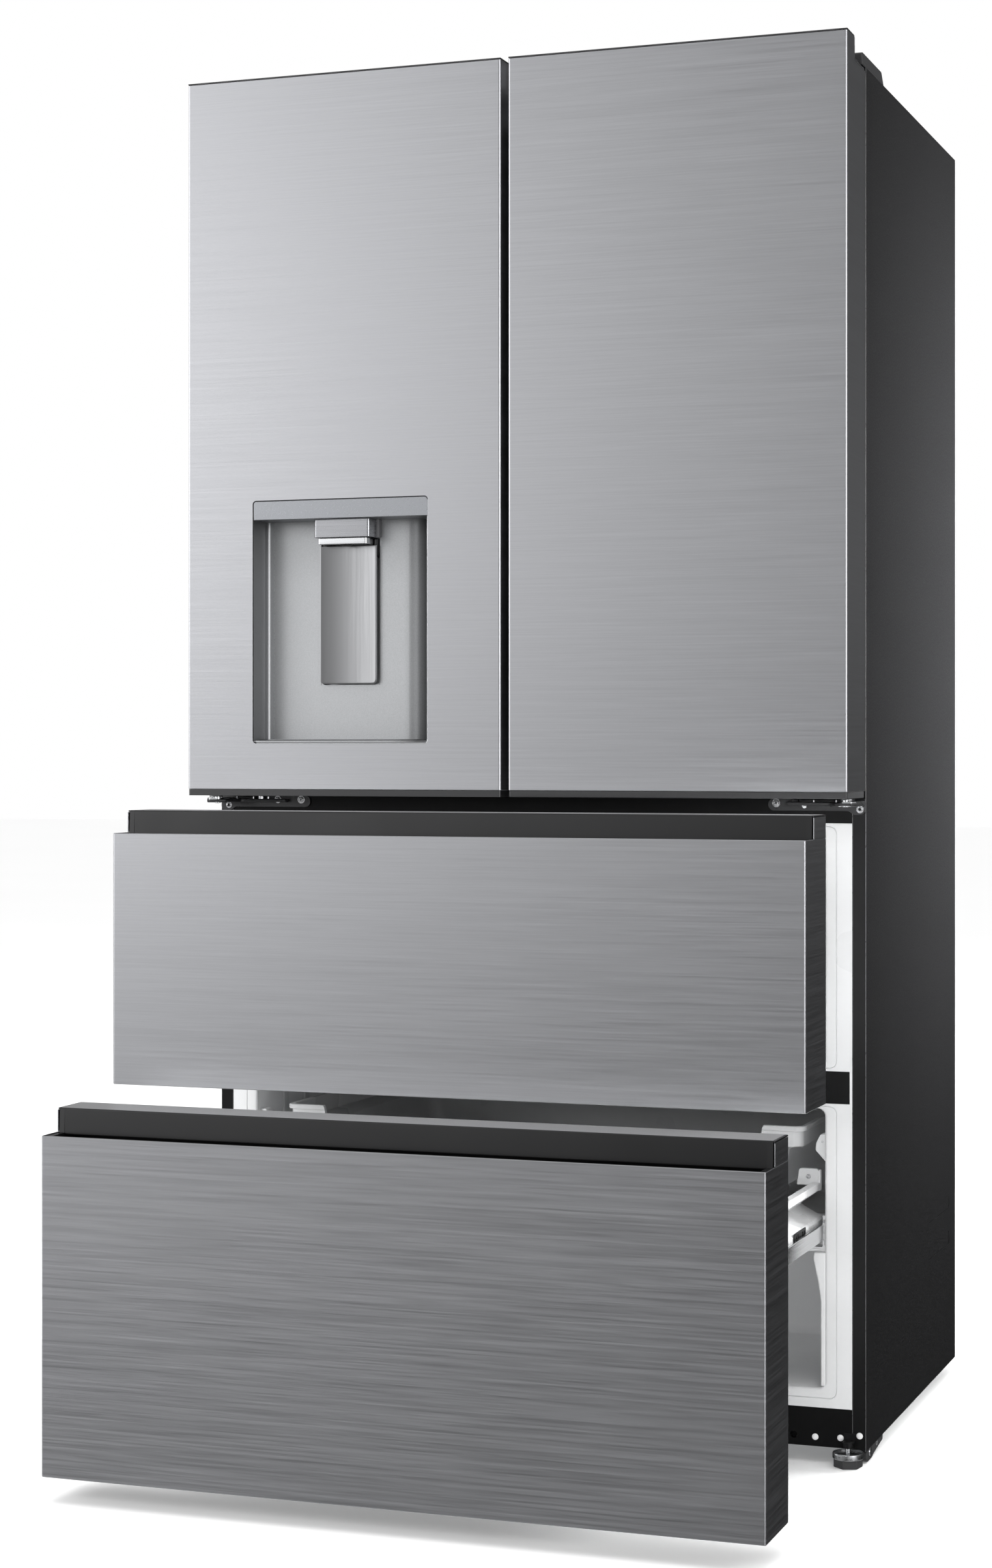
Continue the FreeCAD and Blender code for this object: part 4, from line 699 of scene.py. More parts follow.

# dispenser: satin metallic coat with a fine flake, clear coat over it; its colour also carries painted shade, darker on
# the left wall, on the rolled right end and under the visor
disp_coat = Mat("dispenser_coat", (0.478, 0.487, 0.498), 0.36, 0.7)
v = disp_coat.voronoi(1500.0)
g = disp_coat.noise(620.0, 3.0, 0.6)
flake = disp_coat.vary(disp_coat.mix(v, g, 0.6), 0.11)
axes = disp_coat.node("ShaderNodeSeparateXYZ")
disp_coat.link(disp_coat.tc.outputs["Object"], axes.inputs[0])
grey = lambda v: (v, v, v)
# painted shade across the recess: the left wall and the rolled right end are darkened in the colour
across = disp_coat.ramp(disp_coat.span(axes.outputs["X"], 0.0, 1.0, -0.3525, -0.1025),
                        [(0.0, grey(0.34)), (0.016, grey(0.42)), (0.024, grey(0.94)), (0.12, grey(0.93)), (0.3, grey(1.0)), (0.79, grey(1.0)), (0.865, grey(0.66)), (0.93, grey(0.3))])
# painted shade up the recess: the colour grows darker towards the top, under the visor
upright = disp_coat.ramp(disp_coat.span(axes.outputs["Z"], 0.0, 1.0, 0.91, 1.21), [(0.0, grey(0.96)), (0.3, grey(1.0)), (0.7, grey(0.94)), (0.9, grey(0.8)), (0.98, grey(0.62))])
disp_coat.set_color(disp_coat.mix(disp_coat.mix(flake, across, 1.0, "MULTIPLY"), upright, 1.0, "MULTIPLY"))
disp_coat.roughness(g, 0.32, 0.42)
grain = disp_coat.ramp(g, [(0.0, grey(0.9)), (1.0, grey(1.1))])
fillet = disp_coat.ramp(disp_coat.span(axes.outputs["X"], 0.0, 1.0, -0.3525, -0.1025),
                        [(0.0, grey(0.4)), (0.018, grey(0.38)), (0.026, grey(0.14)), (0.036, grey(0.14)), (0.06, grey(0.36)), (1.0, grey(0.38))])
disp_coat.link(disp_coat.mix(grain, fillet, 1.0, "MULTIPLY"), disp_coat.b.inputs["Roughness"])
disp_coat.bump(g, 0.08, 0.0003)

# near-black for openings, slots and recesses: painted shade where there are only gaps
dark_gap = Mat("dark_gap", (0.008, 0.008, 0.009), 0.7)
g = dark_gap.noise(300.0, 2.0, 0.5)
dark_gap.vary(g, 0.3)

foot_plastic = Mat("foot_plastic", (0.035, 0.035, 0.036), 0.55)
g = foot_plastic.noise(700.0, 3.0, 0.6)
foot_plastic.vary(g, 0.2)
foot_plastic.roughness(g, 0.45, 0.62)
foot_plastic.bump(g, 0.15, 0.0003)

screw_steel = Mat("screw_steel", (0.62, 0.62, 0.63), 0.28, 1.0)
g = screw_steel.noise(500.0, 3.0, 0.6)
screw_steel.vary(g, 0.12)
screw_steel.roughness(g, 0.2, 0.36)

cap_white = Mat("cap_white", (0.82, 0.82, 0.82), 0.4)
g = cap_white.noise(300.0, 2.0, 0.5)
cap_white.vary(g, 0.04)
cap_white.roughness(g, 0.34, 0.46)

lamp_glow = Mat("lamp_diffuser", (0.9, 0.9, 0.88), 0.5)
g = lamp_glow.noise(500.0, 2.0, 0.5)
lamp_glow.vary(g, 0.03)
lamp_glow.b.inputs["Emission Color"].default_value = (1.0, 0.98, 0.94, 1.0)
lamp_glow.b.inputs["Emission Strength"].default_value = 1.5

fan_plastic = Mat("fan_plastic", (0.05, 0.05, 0.052), 0.45)
g = fan_plastic.noise(600.0, 3.0, 0.6)
fan_plastic.vary(g, 0.2)
fan_plastic.roughness(g, 0.38, 0.55)
fan_plastic.bump(g, 0.1, 0.0003)

# lighter mouldings, hinge paint and small bright metals
cap_plastic = Mat("cap_plastic", (0.02, 0.02, 0.021), 0.38, Specular_IOR_Level=0.8)
g = cap_plastic.noise(1300.0, 2.0, 0.6)
wide = cap_plastic.noise(8.0, 2.0, 0.5)
cap_plastic.vary(cap_plastic.mix(g, wide, 0.5), 0.12)
cap_plastic.roughness(wide, 0.34, 0.42)
cap_plastic.bump(g, 0.1, 0.0002)

hinge_black = Mat("hinge_black", (0.014, 0.014, 0.0155), 0.33, Specular_IOR_Level=0.7)
g = hinge_black.noise(420.0, 3.0, 0.6)
hinge_black.vary(g, 0.22)
hinge_black.roughness(g, 0.27, 0.42)
hinge_black.bump(g, 0.1, 0.0003)

chrome = Mat("chrome", (0.86, 0.87, 0.88), 0.12, 1.0)
g = chrome.noise(160.0, 3.0, 0.5)
chrome.vary(g, 0.04)
chrome.roughness(g, 0.08, 0.18)

# lighter metallic grey for beads on the cabinet edges: painted highlight
edge_paint = Mat("edge_paint", (0.16, 0.16, 0.162), 0.3, 0.6)
g = edge_paint.noise(300.0, 3.0, 0.6)
edge_paint.vary(g, 0.15)
edge_paint.roughness(g, 0.25, 0.38)

# black paint of the cross rails, darker than black_steel: partly their own black, partly painted shade between the
# drawers
rail_black = Mat("rail_black", (0.004, 0.004, 0.0042), 0.42, Specular_IOR_Level=0.18)
g = rail_black.noise(420.0, 3.0, 0.6)
rail_black.vary(g, 0.1)
rail_black.roughness(g, 0.36, 0.5)
rail_black.bump(g, 0.04, 0.0002)

# lighter grey for the top plate of the grip block: painted light on the face that looks up
grip_top = Mat("grip_top", (0.24, 0.24, 0.245), 0.36, 0.3)
g = grip_top.noise(700.0, 3.0, 0.6)
grip_top.vary(g, 0.05)
grip_top.roughness(g, 0.32, 0.42)
grip_top.bump(g, 0.03, 0.0002)

# darker grey for the backing block behind the outlet head: painted shade on its side
shade_grey = Mat("shade_grey", (0.13, 0.13, 0.135), 0.5, 0.0, Specular_IOR_Level=0.4)
g = shade_grey.noise(500.0, 3.0, 0.6)
shade_grey.vary(g, 0.08)
shade_grey.roughness(g, 0.44, 0.56)

runner_chrome = Mat("runner_chrome", (0.78, 0.785, 0.79), 0.2, 1.0)
g = runner_chrome.noise((700.0, 10.0, 700.0), 3.0, 0.6)
runner_chrome.vary(g, 0.05)
runner_chrome.roughness(g, 0.14, 0.26)

head_steel = brushed("head_steel", (0.4, 0.405, 0.42), 0.25, (16.0, 16.0, 1400.0), 0.06, 0.05)

visor_coat = Mat("visor_coat", (0.35, 0.36, 0.38), 0.33, 0.85)
g = visor_coat.noise(700.0, 3.0, 0.6)
visor_coat.vary(g, 0.04)
visor_coat.roughness(g, 0.26, 0.36)
visor_coat.bump(g, 0.04, 0.0002)

M = {k: v.m for k, v in globals().copy().items() if isinstance(v, Mat)}

# every node of the frame gets a material; the pieces below replace many of them
NODE_MATS = {
    "cabinet_shell": "cabinet_paint", "rear_panels": "rear_paint", "insulation_foam": "foam_mat", "cavity_liners": "white_plastic",
    "front_rails": "black_steel", "toe_rail_caps": "cap_white", "centre_post": "dark_plastic", "base_pan": "galvanised",
    "compressor": "black_can", "condenser_coil": "coil_metal", "fan_bracket": "fan_plastic", "condenser_fan": "fan_plastic",
    "drain_pan": "dark_plastic", "mains_inlet": "dark_plastic", "evaporator": "coil_metal", "duct_covers": "white_plastic",
    "ceiling_lamp": "lamp_glow", "glass_shelves": "shelf_glass", "crisper_drawers": "clear_plastic", "top_hinges": "black_steel",
    "hinge_covers": "dark_plastic", "mid_hinges": "black_steel", "hinge_screws": "screw_steel",
    "water_tank": "clear_plastic", "dispenser_housing": "disp_coat", "dispenser_head": "bright_trim", "dispenser_paddle": "paddle_steel",
    "runner_rails": "runner_steel", "upper_runner_slides": "runner_steel", "lower_runner_slides": "runner_steel",
    "upper_drawer_arms": "runner_steel", "lower_drawer_arms": "runner_steel", "freezer_tray": "white_plastic",
    "left_foot": "foot_plastic", "right_foot": "foot_plastic", "foot_brackets": "black_steel", "left_roller": "foot_plastic", "right_roller": "foot_plastic",
}
for side in ("left", "right"):
    for part, mat in (("skin", "front_steel"), ("caps", "dark_plastic"), ("foam", "foam_mat"), ("liner", "white_plastic"), ("gasket", "gasket_rubber"), ("bins", "clear_plastic")):
        NODE_MATS["%s_door_%s" % (side, part)] = mat
for tag in ("upper", "lower"):
    for part, mat in (("front", "front_steel"), ("trim", "dark_plastic"), ("back", "white_plastic"), ("gasket", "gasket_rubber"), ("basket", "white_plastic")):
        NODE_MATS["%s_drawer_%s" % (tag, part)] = mat
for name, ob in frame["nodes"].items():
    mat = M[NODE_MATS[name]]
    if not ob.material_slots:
        ob.data.materials.append(mat)
    for s in ob.material_slots:
        s.material = mat


# ---------------------------------------------------------------- doors and drawer fronts


def wrapped_sheet(shape, x0, x1, lo, hi, back, rad=3.0, k=1.0, step=None, hole=None, lip=0.7):
    """Steel sheet folded round a front and both upright sides, with eased rims."""
    n = 7
    path = []
    ys, zs = step if step else (back, hi)
    path.append((x0, back, -1.0, 0.0))
    if step:
        path.append((x0, ys, -1.0, 0.0))
    for i in range(n + 1):
        t = math.pi / 2 * i / n
        nx, ny = -math.cos(t), -math.sin(t)
        path.append((x0 + rad + rad * nx, rad + rad * ny, nx, ny))
    first = len(path) - 1
    for i in range(n + 1):
        t = math.pi / 2 * i / n
        nx, ny = math.sin(t), -math.cos(t)
        path.append((x1 - rad + rad * nx, rad + rad * ny, nx, ny))
    if step:
        path.append((x1, ys, 1.0, 0.0))
    path.append((x1, back, 1.0, 0.0))

    def column(p, top, side):
        x, y, nx, ny = p
        if side == "out":
            return [(x - nx * lip, y - ny * lip, lo), (x, y, lo + lip), (x, y, top - lip), (x - nx * lip, y - ny * lip, top)]
        return [(x - nx * k, y - ny * k, lo), (x - nx * k, y - ny * k, top)]

    polys = []
    for i in range(len(path) - 1):
        a, b = path[i], path[i + 1]
        top = zs if step and (min(a[1], b[1]) >= ys - 1e-6) else hi
        ca, cb = column(a, top, "out"), column(b, top, "out")
        for q in range(3):
            if i == first and q == 1 and hole:
                continue
            polys.append([ca[q], cb[q], cb[q + 1], ca[q + 1]])
        ia, ib = column(a, top, "in"), column(b, top, "in")
        if not (i == first and hole):
            polys.append([ib[0], ia[0], ia[1], ib[1]])
        polys.append([ca[3], cb[3], ib[1], ia[1]])
        polys.append([ca[0], ia[0], ib[0], cb[0]])
    for p in (path[0], path[-1]):
        top = zs if step else hi
        c, q = column(p, top, "out"), column(p, top, "in")
        polys.append([c[0], c[1], c[2], c[3], q[1], q[0]])
    if step:
        for p in (path[1], path[-2]):
            a, b = column(p, zs, "out"), column(p, hi, "out")
            q = column(p, hi, "in")
            polys.append([a[2], b[2], b[3], q[1], (q[1][0], q[1][1], zs)])
    bm = bmesh.new()
    for pts in polys:
        bm.faces.new([bm.verts.new(p) for p in pts])
    if hole:
        ring = rounded(rect(*hole), 5.0, 6)
        for y, r in ((0.0, 0.0), (k, 0.0)):
            outer = [bm.verts.new((a, y, b)) for a, b in (
                (path[first][0], lo + (lip if y == 0 else 0)), (path[first + 1][0], lo + (lip if y == 0 else 0)),
                (path[first + 1][0], hi - (lip if y == 0 else 0)), (path[first][0], hi - (lip if y == 0 else 0)))]
            inner = [bm.verts.new((a, y, b)) for a, b in ring]
            es = []
            for loop in (outer, inner):
                for i in range(len(loop)):
                    es.append(bm.edges.new((loop[i], loop[(i + 1) % len(loop)])))
            bmesh.ops.triangle_fill(bm, edges=es, use_beauty=True)
        for i in range(len(ring)):
            (a, b), (c, d) = ring[i], ring[(i + 1) % len(ring)]
            bm.faces.new([bm.verts.new(p) for p in ((a, 0.0, b), (c, 0.0, d), (c, k, d), (a, k, b))])
    bmesh.ops.remove_doubles(bm, verts=bm.verts, dist=1e-3)
    bmesh.ops.recalc_face_normals(bm, faces=bm.faces)
    return shape.take(bm)


hole = ((-351.1, -104.3), (909.4, 1228.7))
for side, sx in (("left", -1), ("right", 1)):
    x0, x1 = (5.0, HALF) if sx > 0 else (-HALF, -5.0)
    s = Shape()
    wrapped_sheet(s, x0, x1, 849.3, 1782.5, 100.3, step=(40.5, 1753.9), hole=hole if sx < 0 else None)
    s.make("%s_door_steel" % side, "%s_door" % side, "front_steel", M["front_steel"], ["%s_door_skin" % side], angle=25)
for tag, shift, lo, hi in (("upper", UP, 481.5, 796.6), ("lower", LOW, 32.1, 439.9)):
    s = Shape(shift)
    wrapped_sheet(s, -HALF, HALF, lo, hi, 100.2)
    s.make("%s_drawer_steel" % tag, "%s_drawer" % tag, "front_steel", M["front_steel"], ["%s_drawer_front" % tag], angle=25)

# magnetic bellows gaskets
BELLOWS = [(0.0, 101.0), (0.0, 104.3), (0.6, 104.9), (12.4, 104.9), (13.0, 104.3), (13.0, 103.2), (10.2, 102.6), (12.6, 101.9), (12.6, 101.0),
           (9.0, 100.45), (4.0, 100.45), (0.6, 100.6)]
for side, sx in (("left", -1), ("right", 1)):
    gx = (8.0, 426.0) if sx > 0 else (-426.0, -8.0)
    s = Shape()
    s.frame(gx, (849.5, 1752.0), BELLOWS)
    s.make("%s_door_seal" % side, "%s_door" % side, "gasket_rubber", M["gasket_rubber"], ["%s_door_gasket" % side])
for tag, shift, lo, hi in (("upper", UP, 485.0, 821.0), ("lower", LOW, 42.0, 467.0)):
    s = Shape(shift)
    s.frame((-426.0, 426.0), (lo, hi), BELLOWS)
    s.make("%s_drawer_seal" % tag, "%s_drawer" % tag, "gasket_rubber", M["gasket_rubber"], ["%s_drawer_gasket" % tag])


# end caps of the doors
for side, sx in (("left", -1), ("right", 1)):
    lo_x, hi_x = (5.0, HALF) if sx > 0 else (-HALF, -5.0)
    s = Shape()
    foot = rounded([(lo_x + 0.4, 0.5), (hi_x - 0.4, 0.5), (hi_x - 0.4, 97.0), (lo_x + 0.4, 97.0)], 3.0, 5)
    pin = [(sx * 432.0 + 5.2 * math.cos(2 * math.pi * i / 24), 60.0 + 5.2 * math.sin(2 * math.pi * i / 24)) for i in range(24)]
    s.prism("z", foot, 840.9, 849.1, 0, 0.8, 2, holes=[pin])
    top = rounded([(0.0, 1782.6), (0.0, 1784.5), (40.5, 1784.5), (40.5, 1755.9), (97.4, 1755.9), (97.4, 1753.9), (37.0, 1753.9), (37.0, 1782.6)],
                  [0.0, 1.0, 1.4, 2.0, 0.8, 0.0, 0.0, 0.0], 4)
    s.prism("x", top, lo_x + 0.2, hi_x - 0.2, 0, 0.6, 2)
    s.lathe("z", (sx * 432.0, 60.0, 0.0), [(9.6, 1755.0), (9.6, 1757.6), (9.0, 1758.3), (6.0, 1758.3), (6.0, 1755.0)], 0, 32)
    s.make("%s_door_end_caps" % side, "%s_door" % side, "dark_plastic", M["cap_plastic"], ["%s_door_caps" % side])


def grip_block(tag, shift, lo, hi, grip):
    """Dark moulding over the steel: a finger channel with a raised block behind it."""
    s = Shape(shift)
    mid = rounded([(1.2, hi - 30.0), (1.2, hi - 1.0), (12.0, hi - 1.0), (14.0, hi - 22.0), (22.0, hi - 27.0), (58.0, hi - 27.0), (65.0, hi - 19.0),
                   (60.0, hi - 0.4), (41.0, hi - 3.4), (42.1, grip), (100.2, grip), (100.2, grip - 2.2), (97.2, grip - 2.2), (97.2, hi - 30.0)],
                  [0, 0.8, 1.6, 8, 8, 8, 5, 3, 1.4, 1.6, 0.9, 0.3, 0, 0], 4)
    s.prism("x", mid, -435.5, 435.5)
    end = rounded([(1.2, hi - 30.0), (1.2, hi - 1.0), (40.6, hi - 1.0), (42.1, grip), (100.2, grip), (100.2, grip - 2.2), (97.2, grip - 2.2), (97.2, hi - 30.0)], [0, 0.8, 0.6, 1.6, 0.9, 0.3, 0, 0], 4)
    for a, b in ((-442.2, -435.5), (435.5, 442.2)):
        s.prism("x", end, a, b)
    for sx in (-1, 1):
        plan = rounded([(sx * 441.0, 100.2), (sx * 441.0, 42.0), (sx * 444.9, 42.0), (sx * 444.9, 100.2)], [0, 0, 2.6, 0.5], 6)
        s.prism("z", plan, grip - 2.0, grip - 0.1, 0, 0.7, 2)
        wrap = rounded([(sx * 443.8, 100.2), (sx * 443.8, 40.8), (sx * 445.0, 40.8), (sx * 445.0, 100.2)], [0, 0, 1.0, 0.5], 6)
        s.prism("z", wrap, hi + 0.2, grip - 2.4, 1, 0.5, 2)
    s.box((-439.0, 439.0), (1.2, 97.0), (lo + 0.2, lo + 3.0), 0.8)
    # thin plate on top of the block in the lighter grey: painted light on the top face
    s.box((-442.0, 442.0), (43.8, 99.4), (grip - 1.0, grip + 0.12), 0.3, 1, 2)
    s.make("%s_drawer_grip" % tag, "%s_drawer" % tag, "dark_plastic", [M["dark_plastic"], M["front_steel"], M["grip_top"]], ["%s_drawer_trim" % tag], angle=30)


grip_block("upper", UP, 481.5, 796.6, 824.5)
grip_block("lower", LOW, 32.1, 439.9, 468.8)


# ---------------------------------------------------------------- dispenser

DX0, DX1, DZ0, DZ1, DEEP = -351.1, -104.3, 909.4, 1228.7, 57.0


def ring_rows(bm, rows):
    for a, b in zip(rows, rows[1:]):
        for i in range(len(a)):
            j = (i + 1) % len(a)
            bm.faces.new((a[i], a[j], b[j], b[i]))


ceil = 1203.1


def arc(cx, cy, r, a0, a1, n=8):
    return [(cx + r * math.cos(math.radians(a0 + (a1 - a0) * k / n)), cy + r * math.sin(math.radians(a0 + (a1 - a0) * k / n))) for k in range(n + 1)]


def recess_plan(pocket):
    """Section through the recess: a panel whose right end rolls back, with a pocket behind the paddle."""
    left, right, back = DX0 + 1.5, DX1 - 1.5, 45.0
    pts = [(DX0 + 0.12, 3.0), (DX0 + 0.12, 59.9), (DX1 - 0.12, 59.9), (DX1 - 0.12, 3.2), (right, 3.2), (right, 57.5)]
    pts += [p for p in arc(right - 43.0, back + 27.0, 27.0, -32.4, -90.0, 10)]
    if pocket:
        pts += [(PX1 + 0.8, back), (PX1, back + 0.8), (PX1, 58.2), (PX0, 58.2), (PX0, back + 0.8), (PX0 - 0.8, back)]
    pts += arc(left + 5.5, back - 5.5, 5.5, 90.0, 180.0, 7)
    pts += [(left, 0.8), (left - 0.2, 0.3), (left - 0.45, 0.8), (left - 0.45, 3.0)]
    return pts


PX0, PX1, PZ0 = -271.7, -189.6, 986.6
# the recess takes the dispenser coat, whose colour holds painted shade on its walls and under the visor
s = Shape()
for lo_z, hi_z, pocket in ((DZ0 + 3.4, PZ0, False), (PZ0, 1178.9, True), (1178.9, ceil + 0.3, False)):
    s.prism("z", recess_plan(pocket), lo_z, hi_z, 0)
for x, sx in ((PX0, 1), (PX1, -1)):
    corner = [(x, PZ0)] + [(x + sx * 6.0 - sx * 6.0 * math.cos(math.pi / 2 * k / 6), PZ0 + 6.0 - 6.0 * math.sin(math.pi / 2 * k / 6)) for k in range(7)]
    s.prism("y", corner, 45.0, 58.4, 0)
sill = rounded([(DX0 + 0.3, DZ0 + 1.6), (DX1 - 1.5, DZ0 + 1.6), (DX1 - 1.5, DZ0 + 4.0), (DX0 + 0.3, DZ0 + 4.0)], [3.6, 3.6, 0.0, 0.0], 6)
s.prism("y", sill, 0.9, 59.9, 0, 0.8, 3)
visor = rounded([(DX0 + 1.3, ceil), (DX1 - 1.0, ceil), (DX1 - 1.0, DZ1 - 1.2), (DX0 + 1.3, DZ1 - 1.2)], [0.0, 0.0, 3.6, 3.6], 6)
s.prism("y", visor, 0.1, 59.9, 1, 0.7, 3)
# folded edge of the steel at the right and foot of the opening, tilted to the light
bevel = rounded([(DX1 - 1.9, 1.5), (DX1 - 0.15, 0.25), (DX1 - 0.15, 3.4), (DX1 - 1.9, 3.4)], 0.15, 2)
s.prism("z", bevel, DZ0 + 5.0, DZ1 - 5.0, 3)
foot = rounded([(1.3, DZ0 + 1.7), (0.25, DZ0 + 0.15), (3.4, DZ0 + 0.15), (3.4, DZ0 + 1.7)], 0.15, 2)
s.prism("x", foot, DX0 + 5.0, DX1 - 5.0, 3)
bm = bmesh.new()
rows = []
for k in range(9):
    t = math.pi / 2 * k / 8
    cx, cz = DX1 - 5.0, DZ0 + 5.0
    rows.append([bm.verts.new((cx + r * math.sin(t), y, cz - r * math.cos(t))) for r, y in ((4.85, 0.25), (3.2, 1.4), (3.2, 3.4), (4.85, 3.4))])
for a, b in zip(rows, rows[1:]):
    for i in range(4):
        bm.faces.new((a[i], a[(i + 1) % 4], b[(i + 1) % 4], b[i]))
bm.faces.new(rows[0])
bm.faces.new(rows[-1])
bmesh.ops.recalc_face_normals(bm, faces=bm.faces)
s.take(bm, 3)
# dark ring round the opening, and a dark strip under the tray ribs at its foot: painted shade
s.frame((DX0 - 0.3, DX1 + 0.3), (DZ0 - 0.3, DZ1 + 0.3), [(0.0, 4.0), (0.0, 1.1), (1.6, 1.1), (1.6, 4.0)], 2, 5.2, 6)
s.box((DX0 + 6.0, DX1 - 6.0), (8.0, 42.0), (DZ0 + 3.6, DZ0 + 4.9), 0.5, 2, 2)
for k in range(7):
    s.box((DX0 + 20.0, DX1 - 20.0), (11.0 + 4.4 * k, 12.8 + 4.4 * k), (DZ0 + 4.7, DZ0 + 5.7), 0.35, 2, 0)
s.make("dispenser_recess", "left_door", "dispenser_plastic", [M["disp_coat"], M["visor_coat"], M["dark_gap"], M["bright_trim"]], ["dispenser_housing"], angle=30)

# outlet head with its nozzle and the ears that hold the paddle
s = Shape()
plan = rounded([(-268.9, 44.8), (-268.9, 12.0), (-190.3, 12.0), (-190.3, 44.8)], [0, 3.4, 3.4, 0], 8)
s.prism("z", plan, 1178.9, 1203.0, 0, 0.6, 2)
# backing block behind the head in the darker grey: painted shade
plan = rounded([(-271.8, 44.8), (-271.8, 36.2), (-186.4, 36.2), (-186.4, 44.8)], [0, 1.5, 1.5, 0], 5)
s.prism("z", plan, 1179.8, 1203.0, 3, 0.5, 2)
plan = rounded([(-265.6, 43.8), (-265.6, 17.0), (-196.2, 17.0), (-196.2, 43.8)], [1, 3.0, 3.0, 1], 8)
s.prism("z", plan, 1170.2, 1178.4, 1, 0.6, 2)
plan = rounded([(-263.6, 42.0), (-263.6, 19.0), (-198.2, 19.0), (-198.2, 42.0)], [1, 3.0, 3.0, 1], 8)
s.prism("z", plan, 1178.0, 1179.2, 2, 0.0, 1)
s.lathe("z", (-228.5, 26.0, 0.0), [(8.0, 1170.4), (8.0, 1169.8), (6.2, 1169.4), (6.0, 1168.6), (4.4, 1168.6), (4.2, 1170.6), (0.0, 1170.6)], 2, 32)
for a, b in ((-268.5, -262.0), (-195.0, -190.4)):
    side = rounded([(42.0, 1154.0), (56.9, 1154.0), (56.9, 1178.8), (42.0, 1178.8)], [6.0, 0, 0, 2.0], 6)
    s.prism("x", side, a, b, 2, 0.6, 2)
s.make("dispenser_outlet", "left_door", "dispenser_plastic", [M["head_steel"], M["bright_trim"], M["dark_plastic"], M["shade_grey"]], ["dispenser_head"])

# paddle: slightly hollow plate with rolled rims, a rod at the top
s = Shape()
bm = bmesh.new()
cx, half_w = -230.5, 40.1
lo_z, hi_z = 988.0, 1169.2
nx, nz = 24, 14


def plate_point(u, v, inset, y_add):
    """A point of the plate for u, v from -1 to 1, with the foot's corners rounded."""
    w, r = half_w - inset, 6.0 - inset
    x, z = cx + u * w, (lo_z + inset) + (v + 1) / 2 * (hi_z - lo_z - 2 * inset)
    base = lo_z + inset
    if z < base + r and abs(u) * w > w - r:
        # squeeze the corner square onto a quarter circle
        a, b = (abs(u) * w - (w - r)) / r, (base + r - z) / r
        k = max(a, b) / max(1e-6, math.hypot(a, b))
        a, b = a * k, b * k
        x = cx + math.copysign(w - r + a * r, u)
        z = base + r - b * r
    y = 36.3 + 2.4 * (1 - ((x - cx) / half_w) ** 2) + y_add
    return (x, y, z)


us = [-1.0, -0.98, -0.95, -0.92, -0.88, -0.85] + [-0.8 + 1.6 * i / 16 for i in range(17)] + [0.85, 0.88, 0.92, 0.95, 0.98, 1.0]
vs = [-1.0, -0.995, -0.985, -0.972, -0.96, -0.945, -0.934] + [-0.9 + 1.9 * i / 10 for i in range(11)]
sheets = []
for inset, y_add in ((1.0, 0.0), (0.3, 0.25), (0.0, 0.9), (0.0, 2.2), (0.3, 2.6)):
    if inset == 1.0 or (inset == 0.3 and y_add == 2.6):
        sheets.append([[bm.verts.new(plate_point(u, v, inset, y_add)) for u in us] for v in vs])
    else:
        grid = {}
        for i, v in enumerate(vs):
            for j, u in enumerate(us):
                if i in (0, len(vs) - 1) or j in (0, len(us) - 1):
                    grid[(i, j)] = bm.verts.new(plate_point(u, v, inset, y_add))
        sheets.append(grid)
ni, nj = len(vs), len(us)
loop = [(0, j) for j in range(nj)] + [(i, nj - 1) for i in range(1, ni)] + [(ni - 1, j) for j in range(nj - 2, -1, -1)] + [(i, 0) for i in range(ni - 2, 0, -1)]
get = lambda sh, ij: sh[ij] if isinstance(sh, dict) else sh[ij[0]][ij[1]]
for a, b in zip(sheets, sheets[1:]):
    for k in range(len(loop)):
        p, q = loop[k], loop[(k + 1) % len(loop)]
        bm.faces.new((get(a, p), get(a, q), get(b, q), get(b, p)))
for sh in (sheets[0], sheets[-1]):
    for i in range(ni - 1):
        for j in range(nj - 1):
            bm.faces.new((sh[i][j], sh[i][j + 1], sh[i + 1][j + 1], sh[i + 1][j]))
bmesh.ops.remove_doubles(bm, verts=bm.verts, dist=0.004)
bmesh.ops.dissolve_degenerate(bm, dist=0.002, edges=bm.edges)
bmesh.ops.recalc_face_normals(bm, faces=bm.faces)
s.take(bm, 0)
s.tube([(-267.2, 48.0, 1160.0), (-191.2, 48.0, 1160.0)], 2.4, 1, 16)
s.prism("x", rounded([(38.9, 1151.0), (49.0, 1154.5), (50.5, 1160.0), (49.0, 1165.0), (38.9, 1165.0)], 2.0, 4), cx - 20.0, cx + 20.0, 1, 0.8, 2)
s.make("water_paddle", "dispenser_paddle", "paddle_metal", [M["paddle_steel"], M["dark_plastic"]], ["dispenser_paddle"], angle=28)

# ---------------------------------------------------------------- hinges between doors and drawers

